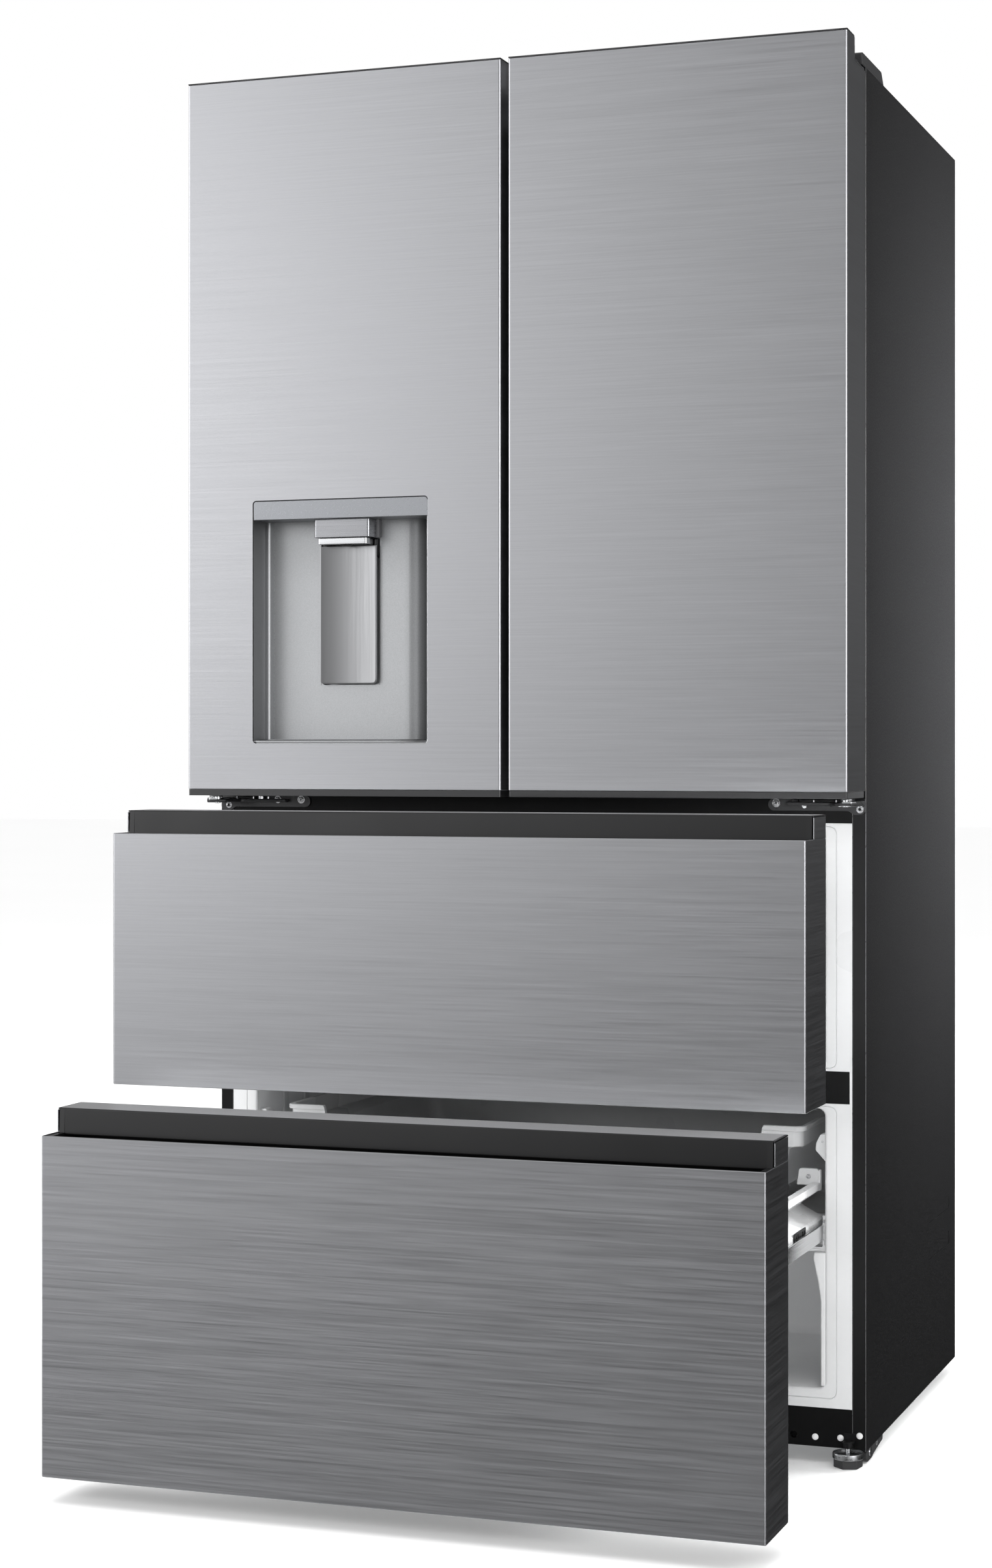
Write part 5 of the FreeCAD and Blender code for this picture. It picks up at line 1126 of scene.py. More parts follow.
s = Shape()
for sx in (-1, 1):
    m = (lambda pts: [(sx * a, b) for a, b in pts])
    bx = lambda a, b: (a, b) if sx > 0 else (-b, -a)
    end = 319.4 if sx > 0 else 312.9
    plate = rounded(m([(end, 824.2), (423.0, 824.2), (430.5, 819.3), (444.2, 819.3), (444.2, 839.6), (end, 839.6)]), [8.5, 4.0, 3.0, 6.5, 1.0, 8.5], 7)
    s.prism("y", plate, 102.6, 105.15, 0, 0.6, 2)
    arm = rounded(m([(345.0, 102.8), (444.0, 102.8), (444.0, 56.0), (438.0, 50.0), (424.0, 50.0), (416.0, 56.0), (405.0, 84.0), (345.0, 92.0)]), [1, 1, 5, 5, 4, 6, 8, 4], 5)
    s.prism("z", arm, 831.0, 835.2, 0, 0.8, 2)
    tip = rounded(m([(425.5, 102.6), (444.1, 102.6), (444.1, 57.0), (438.0, 50.2), (427.0, 50.2), (424.0, 54.0)]), [1, 1, 5, 4, 2, 2], 5)
    s.prism("z", tip, 830.6, 836.9, 1, 0.9, 2)
    s.lathe("z", (sx * 432.0, 60.0, 0.0), [(8.8, 837.9), (9.0, 838.4), (9.0, 839.6), (8.4, 840.2), (5.6, 840.2)], 1, 36)
    s.lathe("z", (sx * 432.0, 60.0, 0.0), [(0.0, 836.0), (5.0, 836.0), (5.0, 864.0), (0.0, 864.4)], 1, 28)
    bossx = 430.6 if sx > 0 else 427.0
    s.lathe("z", (sx * bossx, 54.4, 0.0), [(0.0, 829.6), (3.4, 829.8), (4.2, 830.6), (4.2, 838.4), (3.6, 839.3), (0.0, 839.4)], 2, 28)
    if sx > 0:
        s.box((351.2, 359.8), (97.4, 102.8), (832.2, 838.8), 0.7, 2, 0)
        s.box((352.4, 355.0), (96.6, 98.0), (834.0, 839.4), 0.5, 2, 0)
        s.box((361.2, 409.2), (96.4, 102.8), (830.9, 838.4), 0.9, 2, 0)
        s.box((379.5, 381.0), (95.6, 97.0), (831.4, 838.2), 0.5, 2, 2)
        s.box((408.3, 410.2), (95.2, 102.6), (830.6, 838.4), 0.6, 2, 2)
        s.lathe("y", (367.4, 0.0, 830.4), [(0.0, 102.8), (3.5, 102.8), (3.5, 98.2), (2.6, 97.2), (0.0, 96.9)], 2, 24)
        s.box((412.2, 423.8), (93.6, 102.8), (829.6, 831.2), 0.5, 2, 2)
    else:
        s.box((-410.0, -391.5), (96.4, 102.8), (831.4, 838.6), 0.9, 2, 0)
        s.box((-418.4, -416.8), (95.8, 102.8), (831.0, 838.6), 0.5, 2, 1)
        s.box((-394.2, -392.4), (95.4, 102.6), (831.2, 838.6), 0.5, 2, 2)
        s.box((-391.0, -387.6), (95.4, 102.6), (831.6, 832.9), 0.4, 2, 2)
        s.lathe("z", (-382.6, 97.6, 0.0), [(0.0, 832.4), (3.4, 832.6), (4.0, 833.2), (4.0, 838.6), (0.0, 838.9)], 2, 28)
        s.box((-372.4, -370.4), (95.4, 102.6), (833.0, 838.6), 0.5, 2, 2)
s.make("mid_hinge_sets", "cabinet", "black_steel", [M["hinge_black"], M["zinc"], M["chrome"]], ["mid_hinges"])

# screws: the shouldered ones of the mid hinges, and pan heads on the upper hinges
s = Shape()
for x, z, r in ((330.0, 833.9, 4.6), (438.0, 826.2, 4.0), (-360.4, 834.4, 4.2), (-326.2, 834.4, 4.4), (-432.8, 826.6, 3.6)):
    s.lathe("y", (x, 0.0, z), [(r * 0.5, 102.7), (r * 1.18, 102.7), (r * 1.22, 102.2), (r * 1.1, 101.7), (r * 0.5, 101.7)], 0, 32)
    s.cross_screw("y", (x, 101.8, z), r * 0.86, 1.9 if z > 830.0 else 1.1, 0, 28, -1, 0.4)
    # dark disc in each cross recess: painted shade
    s.lathe("y", (x, 0.0, z), [(0.0, 100.9), (r * 0.5, 100.9), (r * 0.5, 100.6), (0.0, 100.6)], 1, 20)
for sx in (-1, 1):
    for x, y in ((385.0, 125.0), (385.0, 168.0), (422.0, 168.0)):
        s.cross_screw("z", (sx * x, y, 1762.5), 5.0, 2.6, 0, 28, 1, 0.5)
s.make("hinge_screw_heads", "cabinet", "screw_steel", [M["screw_steel"], M["dark_gap"]], ["hinge_screws"])

# fine lighter beads on the cabinet face: painted highlights along its edges, with the black flange strip between them
s = Shape()
for sx in (-1, 1):
    bx = lambda a, b: (a, b) if sx > 0 else (-b, -a)
    s.box(bx(444.15, 445.05), (104.9, 106.0), (18.6, 1758.8), 0.35, 2, 0)
    s.box(bx(427.35, 428.25), (104.85, 105.6), (21.2, 1741.6), 0.3, 2, 0)
    s.box(bx(428.2, 444.3), (104.86, 105.6), (20.4, 1758.2), 0.25, 2, 1)
s.make("face_edge_beads", "cabinet", "painted_steel", [M["edge_paint"], M["flange_paint"]])


# ---------------------------------------------------------------- compartment liners


def tub_rows(s, rows, mat=0, n=6, inner=None):
    """Rounded rectangles in XZ, one behind another, joined into a closed shell."""
    bm = bmesh.new()
    made = []
    for half, z0, z1, y, r in rows:
        ring = rounded([(-half, z0), (half, z0), (half, z1), (-half, z1)], max(0.4, r), n)
        made.append([bm.verts.new((a, y, b)) for a, b in ring])
    ring_rows(bm, made)
    bm.faces.new(made[0])
    bm.faces.new(made[-1])
    bmesh.ops.recalc_face_normals(bm, faces=bm.faces)
    first = len(s.bm.faces)
    s.take(bm, mat)
    # faces deeper than y 110 take the lighter copy of the white, painted lamp light inside the compartments
    if inner is not None:
        s.bm.faces.ensure_lookup_table()
        for f in s.bm.faces[first:]:
            c = f.calc_center_median()
            if c.y > 110.0:
                f.material_index = inner


def liner_rows(lo, hi, face_lo, face_hi, a, b, step=None):
    ci, back = 392.0, 640.0
    rows = []
    if step:
        rows += [(ci + 2, step - 2, hi + 2, back + 2, 12), (ci + 2, step - 2, hi + 2, 443.0, 12), (ci + 2, lo - 2, hi + 2, 442.0, 12)]
    else:
        rows += [(ci + 2, lo - 2, hi + 2, back + 2, 12)]
    rows += [(ci + 6, lo - 6, hi + 6, 107.3, 14), (427.6, face_lo + 0.05, face_hi - 0.05, 107.1, 0.4), (427.6, face_lo + 0.05, face_hi - 0.05, 105.5, 0.4),
             (427.3, face_lo + 0.3, face_hi - 0.3, 105.2, 0.4), (407.9, a, b, 105.2, 10.0), (407.2, a + 0.7, b - 0.7, 106.5, 9.3),
             (406.1, a + 1.8, b - 1.8, 105.0, 8.2), (ci + 4.0, lo - 4.0, hi + 4.0, 105.2, 14.0)]
    for k in range(1, 6):
        t = math.pi / 2 * k / 5
        rows.append((ci + 4 - 4 * math.sin(t), lo - 4 + 4 * math.sin(t), hi + 4 - 4 * math.sin(t), 105.2 + 4 * (1 - math.cos(t)), 14 - 4 * math.sin(t)))
    floor = lo
    if step:
        for k in range(6):
            t = math.pi / 2 * k / 5
            rows.append((ci, lo + 14 * (1 - math.cos(t)), hi, 426.0 + 14 * math.sin(t), 10))
        for k in range(5):
            t = math.pi / 2 * k / 4
            rows.append((ci, step - 6 + 6 * math.sin(t), hi, 440.0 + 6 * (1 - math.cos(t)), 10))
        floor = step
    for k in range(6):
        t = math.pi / 2 * k / 5
        e = 14 * (1 - math.cos(t))
        rows.append((ci - e, floor + e, hi - e, back - 14 + 14 * math.sin(t), 10))
    return rows


s = Shape()
# inner=2 gives the inside of each compartment the lighter white with painted lamp light
tub_rows(s, liner_rows(868.0, 1715.0, 861.5, 1741.8, 864.0, 1735.0), inner=2)
tub_rows(s, liner_rows(502.3, 802.0, 495.3, 808.5, 498.6, 805.2), inner=2)
tub_rows(s, liner_rows(94.1, 447.5, 69.7, 454.5, 81.0, 451.2, 260.0), inner=2)
for sx in (-1, 1):
    bx = lambda a, b: (a, b) if sx > 0 else (-b, -a)
    for z in (1080.0, 1243.0, 1398.0, 1553.0):
        s.box(bx(383.0, 392.3), (240.0, 622.0), (z - 9.0, z - 0.05), 2.2, 3)
    for y in (190.0, 262.0, 420.0, 520.0):
        s.box(bx(389.4, 392.6), (y, y + 16.0), (320.0, 440.0), 1.4, 3)
    # rails of the liner that the crispers and the drawer runners stand on
    shoulder = rounded([(sx * a, b) for a, b in ((392.8, 97.0), (386.8, 97.0), (386.6, 204.0), (383.0, 230.0), (378.6, 250.0), (377.0, 259.0), (378.5, 265.5), (392.8, 265.5))],
                       [0, 0, 10, 14, 8, 4, 2, 0], 5)
    s.prism("y", shoulder, 105.1, 600.0, 0, 2.6, 4)
    s.box(bx(424.0, 427.8), (104.95, 105.8), (446.0, 503.0), 0.3)
    # stop that keeps the tray in
    tab = rounded([(sx * a, b) for a, b in ((392.4, 414.0), (384.0, 414.0), (378.0, 402.0), (377.4, 393.0), (392.4, 377.0))], [0, 3, 4, 4, 0], 5)
    s.prism("y", tab, 116.0, 134.0, 0, 1.6, 3)
    s.lathe("y", (sx * 386.6, 0.0, 404.6), [(0.0, 115.6), (1.3, 115.6), (1.6, 115.9), (1.6, 118.0), (0.0, 118.0)], 1, 20)
s.make("compartment_liners", "cabinet", "white_plastic", [M["white_plastic"], M["screw_steel"], M["inner_white"]], ["cavity_liners"], angle=30)

# white brackets at the front of the lower runners
s = Shape()
for sx in (-1, 1):
    u = [(sx * a, b) for a, b in ((369.0, 265.6), (391.9, 265.6), (391.9, 310.0), (388.4, 313.0), (387.6, 300.0), (387.6, 271.6), (373.4, 271.6), (373.4, 283.0), (369.0, 281.0))]
    s.prism("y", rounded(u, [1.5, 0.5, 2.5, 1.5, 1, 1.5, 1.5, 1.5, 1.5], 4), 112.0, 131.0, 0, 0.8, 2)
    bx = lambda a, b: (a, b) if sx > 0 else (-b, -a)
    for k in range(3):
        s.box(bx(388.2, 390.8), (110.6, 112.6), (274.0 + 9.0 * k, 280.4 + 9.0 * k), 0.5, 2, 0)
    s.box(bx(372.0, 386.6), (110.9, 112.6), (267.0, 269.8), 0.5, 2, 0)
    s.cross_screw("y", (sx * 389.6, 111.8, 304.5), 1.9, 0.9, 1, 18)
s.make("runner_brackets", "cabinet", "white_plastic", [M["white_plastic"], M["screw_steel"]])


def drawer_arms(tag, shift, z):
    """The drawer's members of the telescopic runners."""
    s = Shape(shift)
    for sx in (-1, 1):
        bx = lambda a, b: (a, b) if sx > 0 else (-b, -a)
        web = rounded([(sx * a, b) for a, b in ((387.0, z - 6.6), (387.0, z + 7.4), (379.4, z + 8.0), (377.6, z + 6.8), (379.2, z + 5.8), (385.4, z + 5.9),
                                                (385.4, z - 5.1), (379.2, z - 5.0), (377.6, z - 6.0), (379.4, z - 7.2))], [1.6, 1.6, 1, 0.8, 0.6, 1.2, 1.2, 0.6, 0.8, 1], 3)
        s.prism("y", web, 100.4, 595.6, 0, 0.3, 1)
        for dz in (-3.4, 4.2):
            s.tube([(sx * 383.0, 101.0, z + dz), (sx * 383.0, 594.0, z + dz)], 1.9, 0, 16)
        s.box(bx(383.6, 386.0), (101.0, 594.0), (z - 0.8, z + 1.6), 0.4, 2, 1)
        plate = [(381.0, z + 8.0), (440.0, z + 8.0), (440.0, z + 18.0), (381.0, z + 18.0)]
        holes = [[(a, z + 10.4), (a + 5.0, z + 10.4), (a + 5.0, z + 15.4), (a, z + 15.4)] for a in (388.0, 396.0, 420.0, 429.0)]
        s.prism("x", plate, sx * 382.2, sx * 383.8, 1, 0.0, 1, holes=holes)
        if tag == "lower":
            vee = [(sx * a, b) for a, b in ((341.0, 321.0), (369.0, 350.0), (380.0, 350.0), (380.0, 341.5), (352.5, 321.6), (379.4, 307.0), (382.0, 304.0), (382.0, 297.6),
                                            (377.0, 297.6), (375.6, 301.0), (369.6, 303.4))]
            s.prism("y", rounded(vee, [2.0, 3.0, 1.5, 1.5, 1.2, 2, 1.2, 0.8, 0.8, 2, 3], 5), 107.0, 541.0, 2, 0.9, 2)
            stand = rounded([(sx * a, b) for a, b in ((349.0, 346.0), (352.2, 367.0), (377.0, 367.0), (380.6, 346.0))], [1, 3.5, 3.5, 1], 5)
            s.prism("y", stand, 534.8, 541.0, 2, 0.9, 2)
            s.cross_screw("y", (sx * 364.5, 534.9, 357.0), 3.0, 1.3, 3, 24)
            s.prism("x", rounded([(530.0, 340.0), (541.0, 340.0), (541.0, 366.0), (536.0, 366.0)], [0, 1, 2, 2], 4), sx * 377.2, sx * 380.2, 2, 0.6, 2)
        else:
            s.box(bx(362.2, 376.2), (112.2, 540.0), (z - 15.8, z + 15.8), 2.4, 3, 2)
    s.make("%s_drawer_side_rails" % tag, "%s_drawer" % tag, "runner_steel", [M["runner_chrome"], M["black_steel"], M["white_plastic"], M["screw_steel"]],
           ["%s_drawer_arms" % tag], angle=30)


drawer_arms("upper", UP, 648.0)
drawer_arms("lower", LOW, 290.0)

# pull-out tray in the freezer: stepped sides under a flat rim
s = Shape()
bm = bmesh.new()
made = []
for half, y0, y1, z, r in ((318.0, 152.0, 582.0, 330.0, 12), (328.0, 143.0, 591.0, 332.4, 18), (333.5, 139.5, 594.5, 340.0, 20), (346.0, 136.5, 597.5, 388.0, 20),
                           (352.0, 135.0, 599.0, 392.0, 18), (366.6, 133.0, 601.0, 393.6, 14), (367.0, 132.5, 601.5, 395.0, 13), (367.2, 132.2, 601.8, 413.0, 13),
                           (370.4, 130.2, 603.6, 414.0, 12), (371.0, 130.0, 604.0, 415.2, 12), (371.0, 130.0, 604.0, 419.0, 12), (370.2, 130.8, 603.2, 420.0, 12),
                           (364.6, 136.4, 597.6, 420.0, 12), (363.8, 137.2, 596.8, 419.0, 11), (363.4, 137.6, 596.4, 397.0, 11), (350.0, 139.4, 594.6, 394.6, 16),
                           (343.0, 140.0, 594.0, 389.0, 18), (331.0, 142.6, 591.4, 341.0, 18), (325.0, 147.0, 587.0, 334.4, 15), (316.0, 155.0, 579.0, 332.6, 10)):
    half -= 11.0
    ring = rounded([(-half, y0), (half, y0), (half, y1), (-half, y1)], r, 7)
    low = 341.0 + (z - 341.0) * 0.5 if z > 341.0 else z
    cut = max(k for k, q in enumerate(ring) if q[1] < y0 + 0.01 and q[0] < 0.0) + 1
    reach = half - r - 1.0
    drop = [(min(reach, a), f) for a, f in ((306.0, 0.0), (304.4, 0.06), (302.6, 0.3), (300.6, 0.7), (298.6, 0.94), (296.0, 1.0), (200.0, 1.0), (92.0, 1.0))]
    front = [(-a, y0, z + (low - z) * f) for a, f in drop] + [(a, y0, z + (low - z) * f) for a, f in reversed(drop)]
    row = [(a, b, z) for a, b in ring[:cut]] + front + [(a, b, z) for a, b in ring[cut:]]
    made.append([bm.verts.new(q) for q in row])
ring_rows(bm, made)
bm.faces.new(made[0])
bm.faces.new(made[-1])
bmesh.ops.recalc_face_normals(bm, faces=bm.faces)
s.take(bm)
for k in range(9):
    s.box((-300.0 + 72.0 * k, -276.0 + 72.0 * k), (170.0, 560.0), (332.2, 334.0), 0.8, 2)
s.box((-90.0, 90.0), (127.0, 136.0), (366.0, 381.2), 3.0, 4)
s.make("freezer_pull_tray", "freezer_tray", "white_plastic", M["white_plastic"], ["freezer_tray"], angle=30)

# ---------------------------------------------------------------- feet, levers and rear castors

for side, sx in (("left", -1), ("right", 1)):
    fx, fy = sx * 424.0, 97.0
    s = Shape()
    hexa = rounded([(fx + 18.6 * math.cos(math.radians(60 * i + 20)), fy + 18.6 * math.sin(math.radians(60 * i + 20))) for i in range(6)], 2.0, 4)
    s.prism("z", hexa, 0.0, 11.4, 0, 1.6, 3)
    s.lathe("z", (fx, fy, 0.0), [(16.4, 11.2), (18.9, 11.2), (19.6, 12.0), (19.6, 17.6), (19.1, 18.5), (17.1, 18.5), (16.6, 17.9), (16.4, 14.0), (16.4, 11.2)], 1, 48)
    s.lathe("z", (fx, fy, 0.0), [(0.0, 11.2), (16.3, 11.2), (16.3, 14.2), (14.0, 13.4), (7.0, 13.2), (6.2, 14.4), (4.0, 14.8), (0.0, 14.8)], 0, 48)
    thread = [(0.0, 14.0)]
    z = 14.0
    while z < 30.8:
        thread += [(2.9, z), (3.42, z + 0.45), (3.42, z + 0.65), (2.9, z + 1.1)]
        z += 1.25
    s.lathe("z", (fx, fy, 0.0), thread + [(2.6, 31.4), (0.0, 31.4)], 2, 24)
    s.make("%s_levelling_foot" % side, "%s_foot" % side, "foot_plastic", [M["foot_plastic"], M["zinc"], M["chrome"]], ["%s_foot" % side], angle=35)

s = Shape()
for sx in (-1, 1):
    fx, fy = sx * 424.0, 97.0
    bx = lambda a, b: (a, b) if sx > 0 else (-b, -a)
    s.box(bx(417.0, 431.0), (94.2, 105.2), (28.4, 31.5), 0.8, 2, 1)
    s.lathe("z", (fx, fy, 0.0), [(3.5, 24.0), (6.0, 24.0), (6.6, 24.6), (6.6, 31.0), (6.1, 31.7), (3.5, 31.7), (3.5, 24.0)], 1, 32)
    s.box(bx(417.0, 431.0), (103.6, 105.2), (28.6, 40.4), 0.5, 2, 1)
    arm = rounded([(118.5, 4.0), (124.0, 1.2), (148.0, 1.2), (160.0, 4.0), (214.0, 10.0), (216.0, 18.0), (206.0, 24.0), (190.0, 24.0), (190.0, 48.0), (150.0, 48.0), (150.0, 24.0), (128.0, 22.0), (118.5, 14.0)],
                  [3, 4, 6, 8, 3, 3, 4, 2, 1, 1, 3, 6, 5], 5)
    s.prism("x", arm, sx * 429.8, sx * 443.2, 0, 1.6, 3)
    s.lathe("x", (0.0, 136.0, 12.0), [(0.0, sx * 429.0), (5.0, sx * 429.0), (5.4, sx * 443.4), (4.6, sx * 444.5), (0.0, sx * 444.7)], 2, 28)
    s.cross_screw("x", (sx * 443.1, 176.0, 15.0), 4.2, 1.4, 2, 24, sx)
    for x in (sx * 400.0 - 13.5, sx * 400.0 + 11.5):
        s.prism("x", rounded([(645.0, 8.0), (665.0, 8.0), (673.0, 38.6), (637.0, 38.6)], [8, 8, 2, 2], 6), x, x + 2.0, 1, 0.5, 2)
        s.lathe("x", (0.0, 655.0, 17.0), [(0.0, x - 1.4), (5.2, x - 1.4), (5.6, x - 0.8), (5.6, x + 2.8), (5.2, x + 3.4), (0.0, x + 3.4)], 2, 24)
    s.box((sx * 400.0 - 13.6, sx * 400.0 + 13.6), (637.0, 673.0), (38.0, 40.2), 0.6, 2, 1)
    s.lathe("x", (0.0, 655.0, 17.0), [(0.0, sx * 400.0 - 12.0), (3.9, sx * 400.0 - 12.0), (3.9, sx * 400.0 + 12.0), (0.0, sx * 400.0 + 12.0)], 2, 24)
s.make("foot_hardware", "cabinet", "black_steel", [M["foot_plastic"], M["black_steel"], M["zinc"]], ["foot_brackets"], angle=35)

for side, sx in (("left", -1), ("right", 1)):
    c = sx * 400.0
    s = Shape()
    s.lathe("x", (0.0, 655.0, 17.0), [(4.1, c - 11.0), (9.0, c - 11.0), (9.4, c - 9.8), (12.4, c - 9.8), (12.8, c - 11.0), (15.8, c - 11.0), (17.0, c - 9.6), (17.0, c - 2.0), (16.3, c - 1.2),
                                      (16.3, c + 1.2), (17.0, c + 2.0), (17.0, c + 9.6), (15.8, c + 11.0), (12.8, c + 11.0), (12.4, c + 9.8), (9.4, c + 9.8), (9.0, c + 11.0), (4.1, c + 11.0), (4.1, c - 11.0)], 0, 48)
    for k in range(6):
        a = math.pi / 3 * k
        for e in (-1, 1):
            s.tube([(c + e * 9.6, 655.0 + 10.9 * math.cos(a), 17.0 + 10.9 * math.sin(a)), (c + e * 10.9, 655.0 + 10.9 * math.cos(a), 17.0 + 10.9 * math.sin(a))], 1.2, 0, 12)
    s.make("%s_castor_wheel" % side, "%s_roller" % side, "foot_plastic", M["foot_plastic"], ["%s_roller" % side], angle=35)

# toe rail and its white plugs
s = Shape()
s.box((-428.0, 428.0), (105.0, 106.9), (808.5, 861.5), 0.5)
s.box((-428.0, 428.0), (105.0, 106.9), (454.5, 495.3), 0.5)
hole = lambda x: [(x + 4.6 * math.cos(2 * math.pi * i / 28), 33.5 + 4.6 * math.sin(2 * math.pi * i / 28)) for i in range(28)]
s.prism("y", [(-427.8, 20.6), (427.8, 20.6), (427.8, 69.7), (-427.8, 69.7)], 105.2, 106.7, 0, 0.0, 1, holes=[hole(-352.0), hole(352.0)])
for x in (-352.0, 352.0):
    s.lathe("y", (x, 0.0, 33.5), [(4.6, 105.1), (5.1, 105.0), (5.2, 105.4), (4.6, 106.0), (4.6, 112.0), (0.0, 112.0), (0.0, 111.6), (4.2, 111.6), (4.3, 106.0), (4.6, 105.1)], 0, 32)
s.prism("x", rounded([(106.7, 20.6), (128.0, 20.6), (128.0, 26.0), (126.6, 26.0), (126.6, 22.1), (106.7, 22.1)], [0, 2.5, 0.5, 0.5, 1.5, 0], 4), -402.0, 402.0)
# the rails take the darker black, which carries painted shade
s.make("cross_rails", "cabinet", "black_steel", M["rail_black"], ["front_rails"], angle=30)
s = Shape()
for sx in (-1, 1):
    for x, z in ((380.0, 32.6), (412.5, 33.6), (437.0, 37.9)):
        s.lathe("y", (sx * x, 0.0, z), [(0.0, 105.2), (2.4, 105.2), (4.0, 105.2), (4.2, 104.7), (3.8, 103.9), (2.6, 103.2), (1.2, 102.9), (0.0, 102.85)], 0, 28)
s.make("rail_plugs", "cabinet", "cap_white", M["cap_white"], ["toe_rail_caps"], angle=50)


# ---------------------------------------------------------------- inner panels of the doors and drawers

for side, sx in (("left", -1), ("right", 1)):
    m = lambda pts: [(sx * a, b) for a, b in pts]
    bx = lambda a, b: (a, b) if sx > 0 else (-b, -a)
    s = Shape()
    s.prism("y", rounded(m([(6.6, 851.0), (443.4, 851.0), (443.4, 1752.4), (6.6, 1752.4)]), 3.0, 5), 97.5, 100.4, 0, 0.7, 2)
    # raised frame with drawn corners that carries the shelves of the door
    s.frame(bx(52.0, 372.0), (884.0, 1704.0), [(0.0, 99.8), (0.0, 102.0), (1.0, 128.0), (2.2, 134.5), (4.0, 138.0), (6.0, 139.0), (8.2, 138.6), (10.2, 136.6),
                                               (11.2, 132.0), (11.8, 104.0), (11.9, 99.8)], 0, 16.0, 8)
    # shallow drawn panels between the shelves
    for lo, hi in ((1034.0, 1128.0), (1262.0, 1308.0), (1438.0, 1504.0), (1622.0, 1676.0)) if sx > 0 else ((1034.0, 1100.0), (1308.0, 1360.0), (1484.0, 1522.0), (1636.0, 1676.0)):
        s.frame(bx(86.0, 338.0), (lo, hi), [(0.0, 100.1), (1.2, 101.2), (3.0, 101.6), (4.8, 101.2), (6.0, 100.1)], 0, 9.0, 6)
    # moulded lugs that hold the shelves
    for z in ((1024.0, 1254.0, 1429.0, 1614.0) if sx > 0 else (1024.0, 1476.0, 1629.0)):
        for a, b in ((64.0, 78.0), (346.0, 360.0)):
            lug = rounded([(100.2, z), (118.0, z), (128.0, z + 5.0), (128.0, z + 11.0), (122.0, z + 15.0), (100.2, z + 15.0)], [0, 3, 3, 3, 4, 0], 4)
            s.prism("x", lug, *bx(a, b), 0, 0.9, 2)
    s.make("%s_door_inner_panel" % side, "%s_door" % side, "white_plastic", M["white_plastic"], ["%s_door_liner" % side], angle=30)

for tag, shift, lo, hi, grip, dlo, dhi in (("upper", UP, 481.5, 796.6, 824.5, 519.0, 787.0), ("lower", LOW, 32.1, 439.9, 468.8, 104.0, 433.0)):
    s = Shape(shift)
    s.prism("y", rounded([(-443.4, lo + 1.4), (443.4, lo + 1.4), (443.4, grip - 2.4), (-443.4, grip - 2.4)], 3.0, 5), 97.5, 100.4, 0, 0.7, 2)
    s.prism("y", rounded([(-372.0, dlo), (372.0, dlo), (372.0, dhi), (-372.0, dhi)], 16.0, 8), 99.8, 112.0, 0, 4.5, 4)
    s.frame((-340.0, 340.0), (dlo + 26.0, dhi - 26.0), [(0.0, 111.4), (1.4, 112.6), (3.6, 113.2), (5.8, 112.6), (7.2, 111.4)], 0, 12.0, 6)
    for x in (-392.0, -130.0, 130.0, 392.0):
        for z in (lo + 30.0, grip - 30.0):
            s.cross_screw("y", (x if abs(x) > 300 else x, 100.4, z), 3.4, 1.4, 1, 24, 1)
    s.make("%s_drawer_inner_panel" % tag, "%s_drawer" % tag, "white_plastic", [M["white_plastic"], M["screw_steel"]], ["%s_drawer_back" % tag], angle=30)

# baskets: ribbed white tubs with a rolled rim and a finger notch
for tag, shift, ymax, zlo, zhi in (("upper", UP, 592.0, 522.0, 668.0), ("lower", LOW, 432.0, 108.0, 262.0)):
    s = Shape(shift)
    s.tub((-352.0, 352.0), (113.0, ymax), (zlo, zhi), 2.6, 16.0, 2.6, 0, 7, 6.0, 2.0)
    lip = 358.5
    s.prism("z", rounded([(-lip, 112.4), (lip, 112.4), (lip, ymax + 3.8), (-lip, ymax + 3.8)], 16.0, 7), zhi - 5.0, zhi - 2.2, 0, 0.9, 2,
            holes=[rounded([(-346.0, 119.0), (346.0, 119.0), (346.0, ymax - 6.0), (-346.0, ymax - 6.0)], 12.0, 6)])
    for k in range(9):
        y = 150.0 + (ymax - 190.0) * k / 8
        for sx in (-1, 1):
            bx = (350.2, 353.6) if sx > 0 else (-353.6, -350.2)
            s.box(bx, (y, y + 5.0), (zlo + 16.0, zhi - 12.0), 1.2, 2)
    for k in range(15):
        x = -308.0 + 44.0 * k
        s.box((x - 2.5, x + 2.5), (ymax - 2.4, ymax + 1.2), (zlo + 16.0, zhi - 12.0), 1.2, 2)
        s.box((x - 2.0, x + 2.0), (140.0, ymax - 24.0), (zlo + 2.0, zlo + 3.8), 0.7, 2)
    s.box((-1.6, 1.6), (118.0, ymax - 5.0), (zlo + 2.0, zhi - 26.0), 0.8, 2)
    s.make("%s_basket" % tag, "%s_drawer" % tag, "white_plastic", M["white_plastic"], ["%s_drawer_basket" % tag], angle=30)

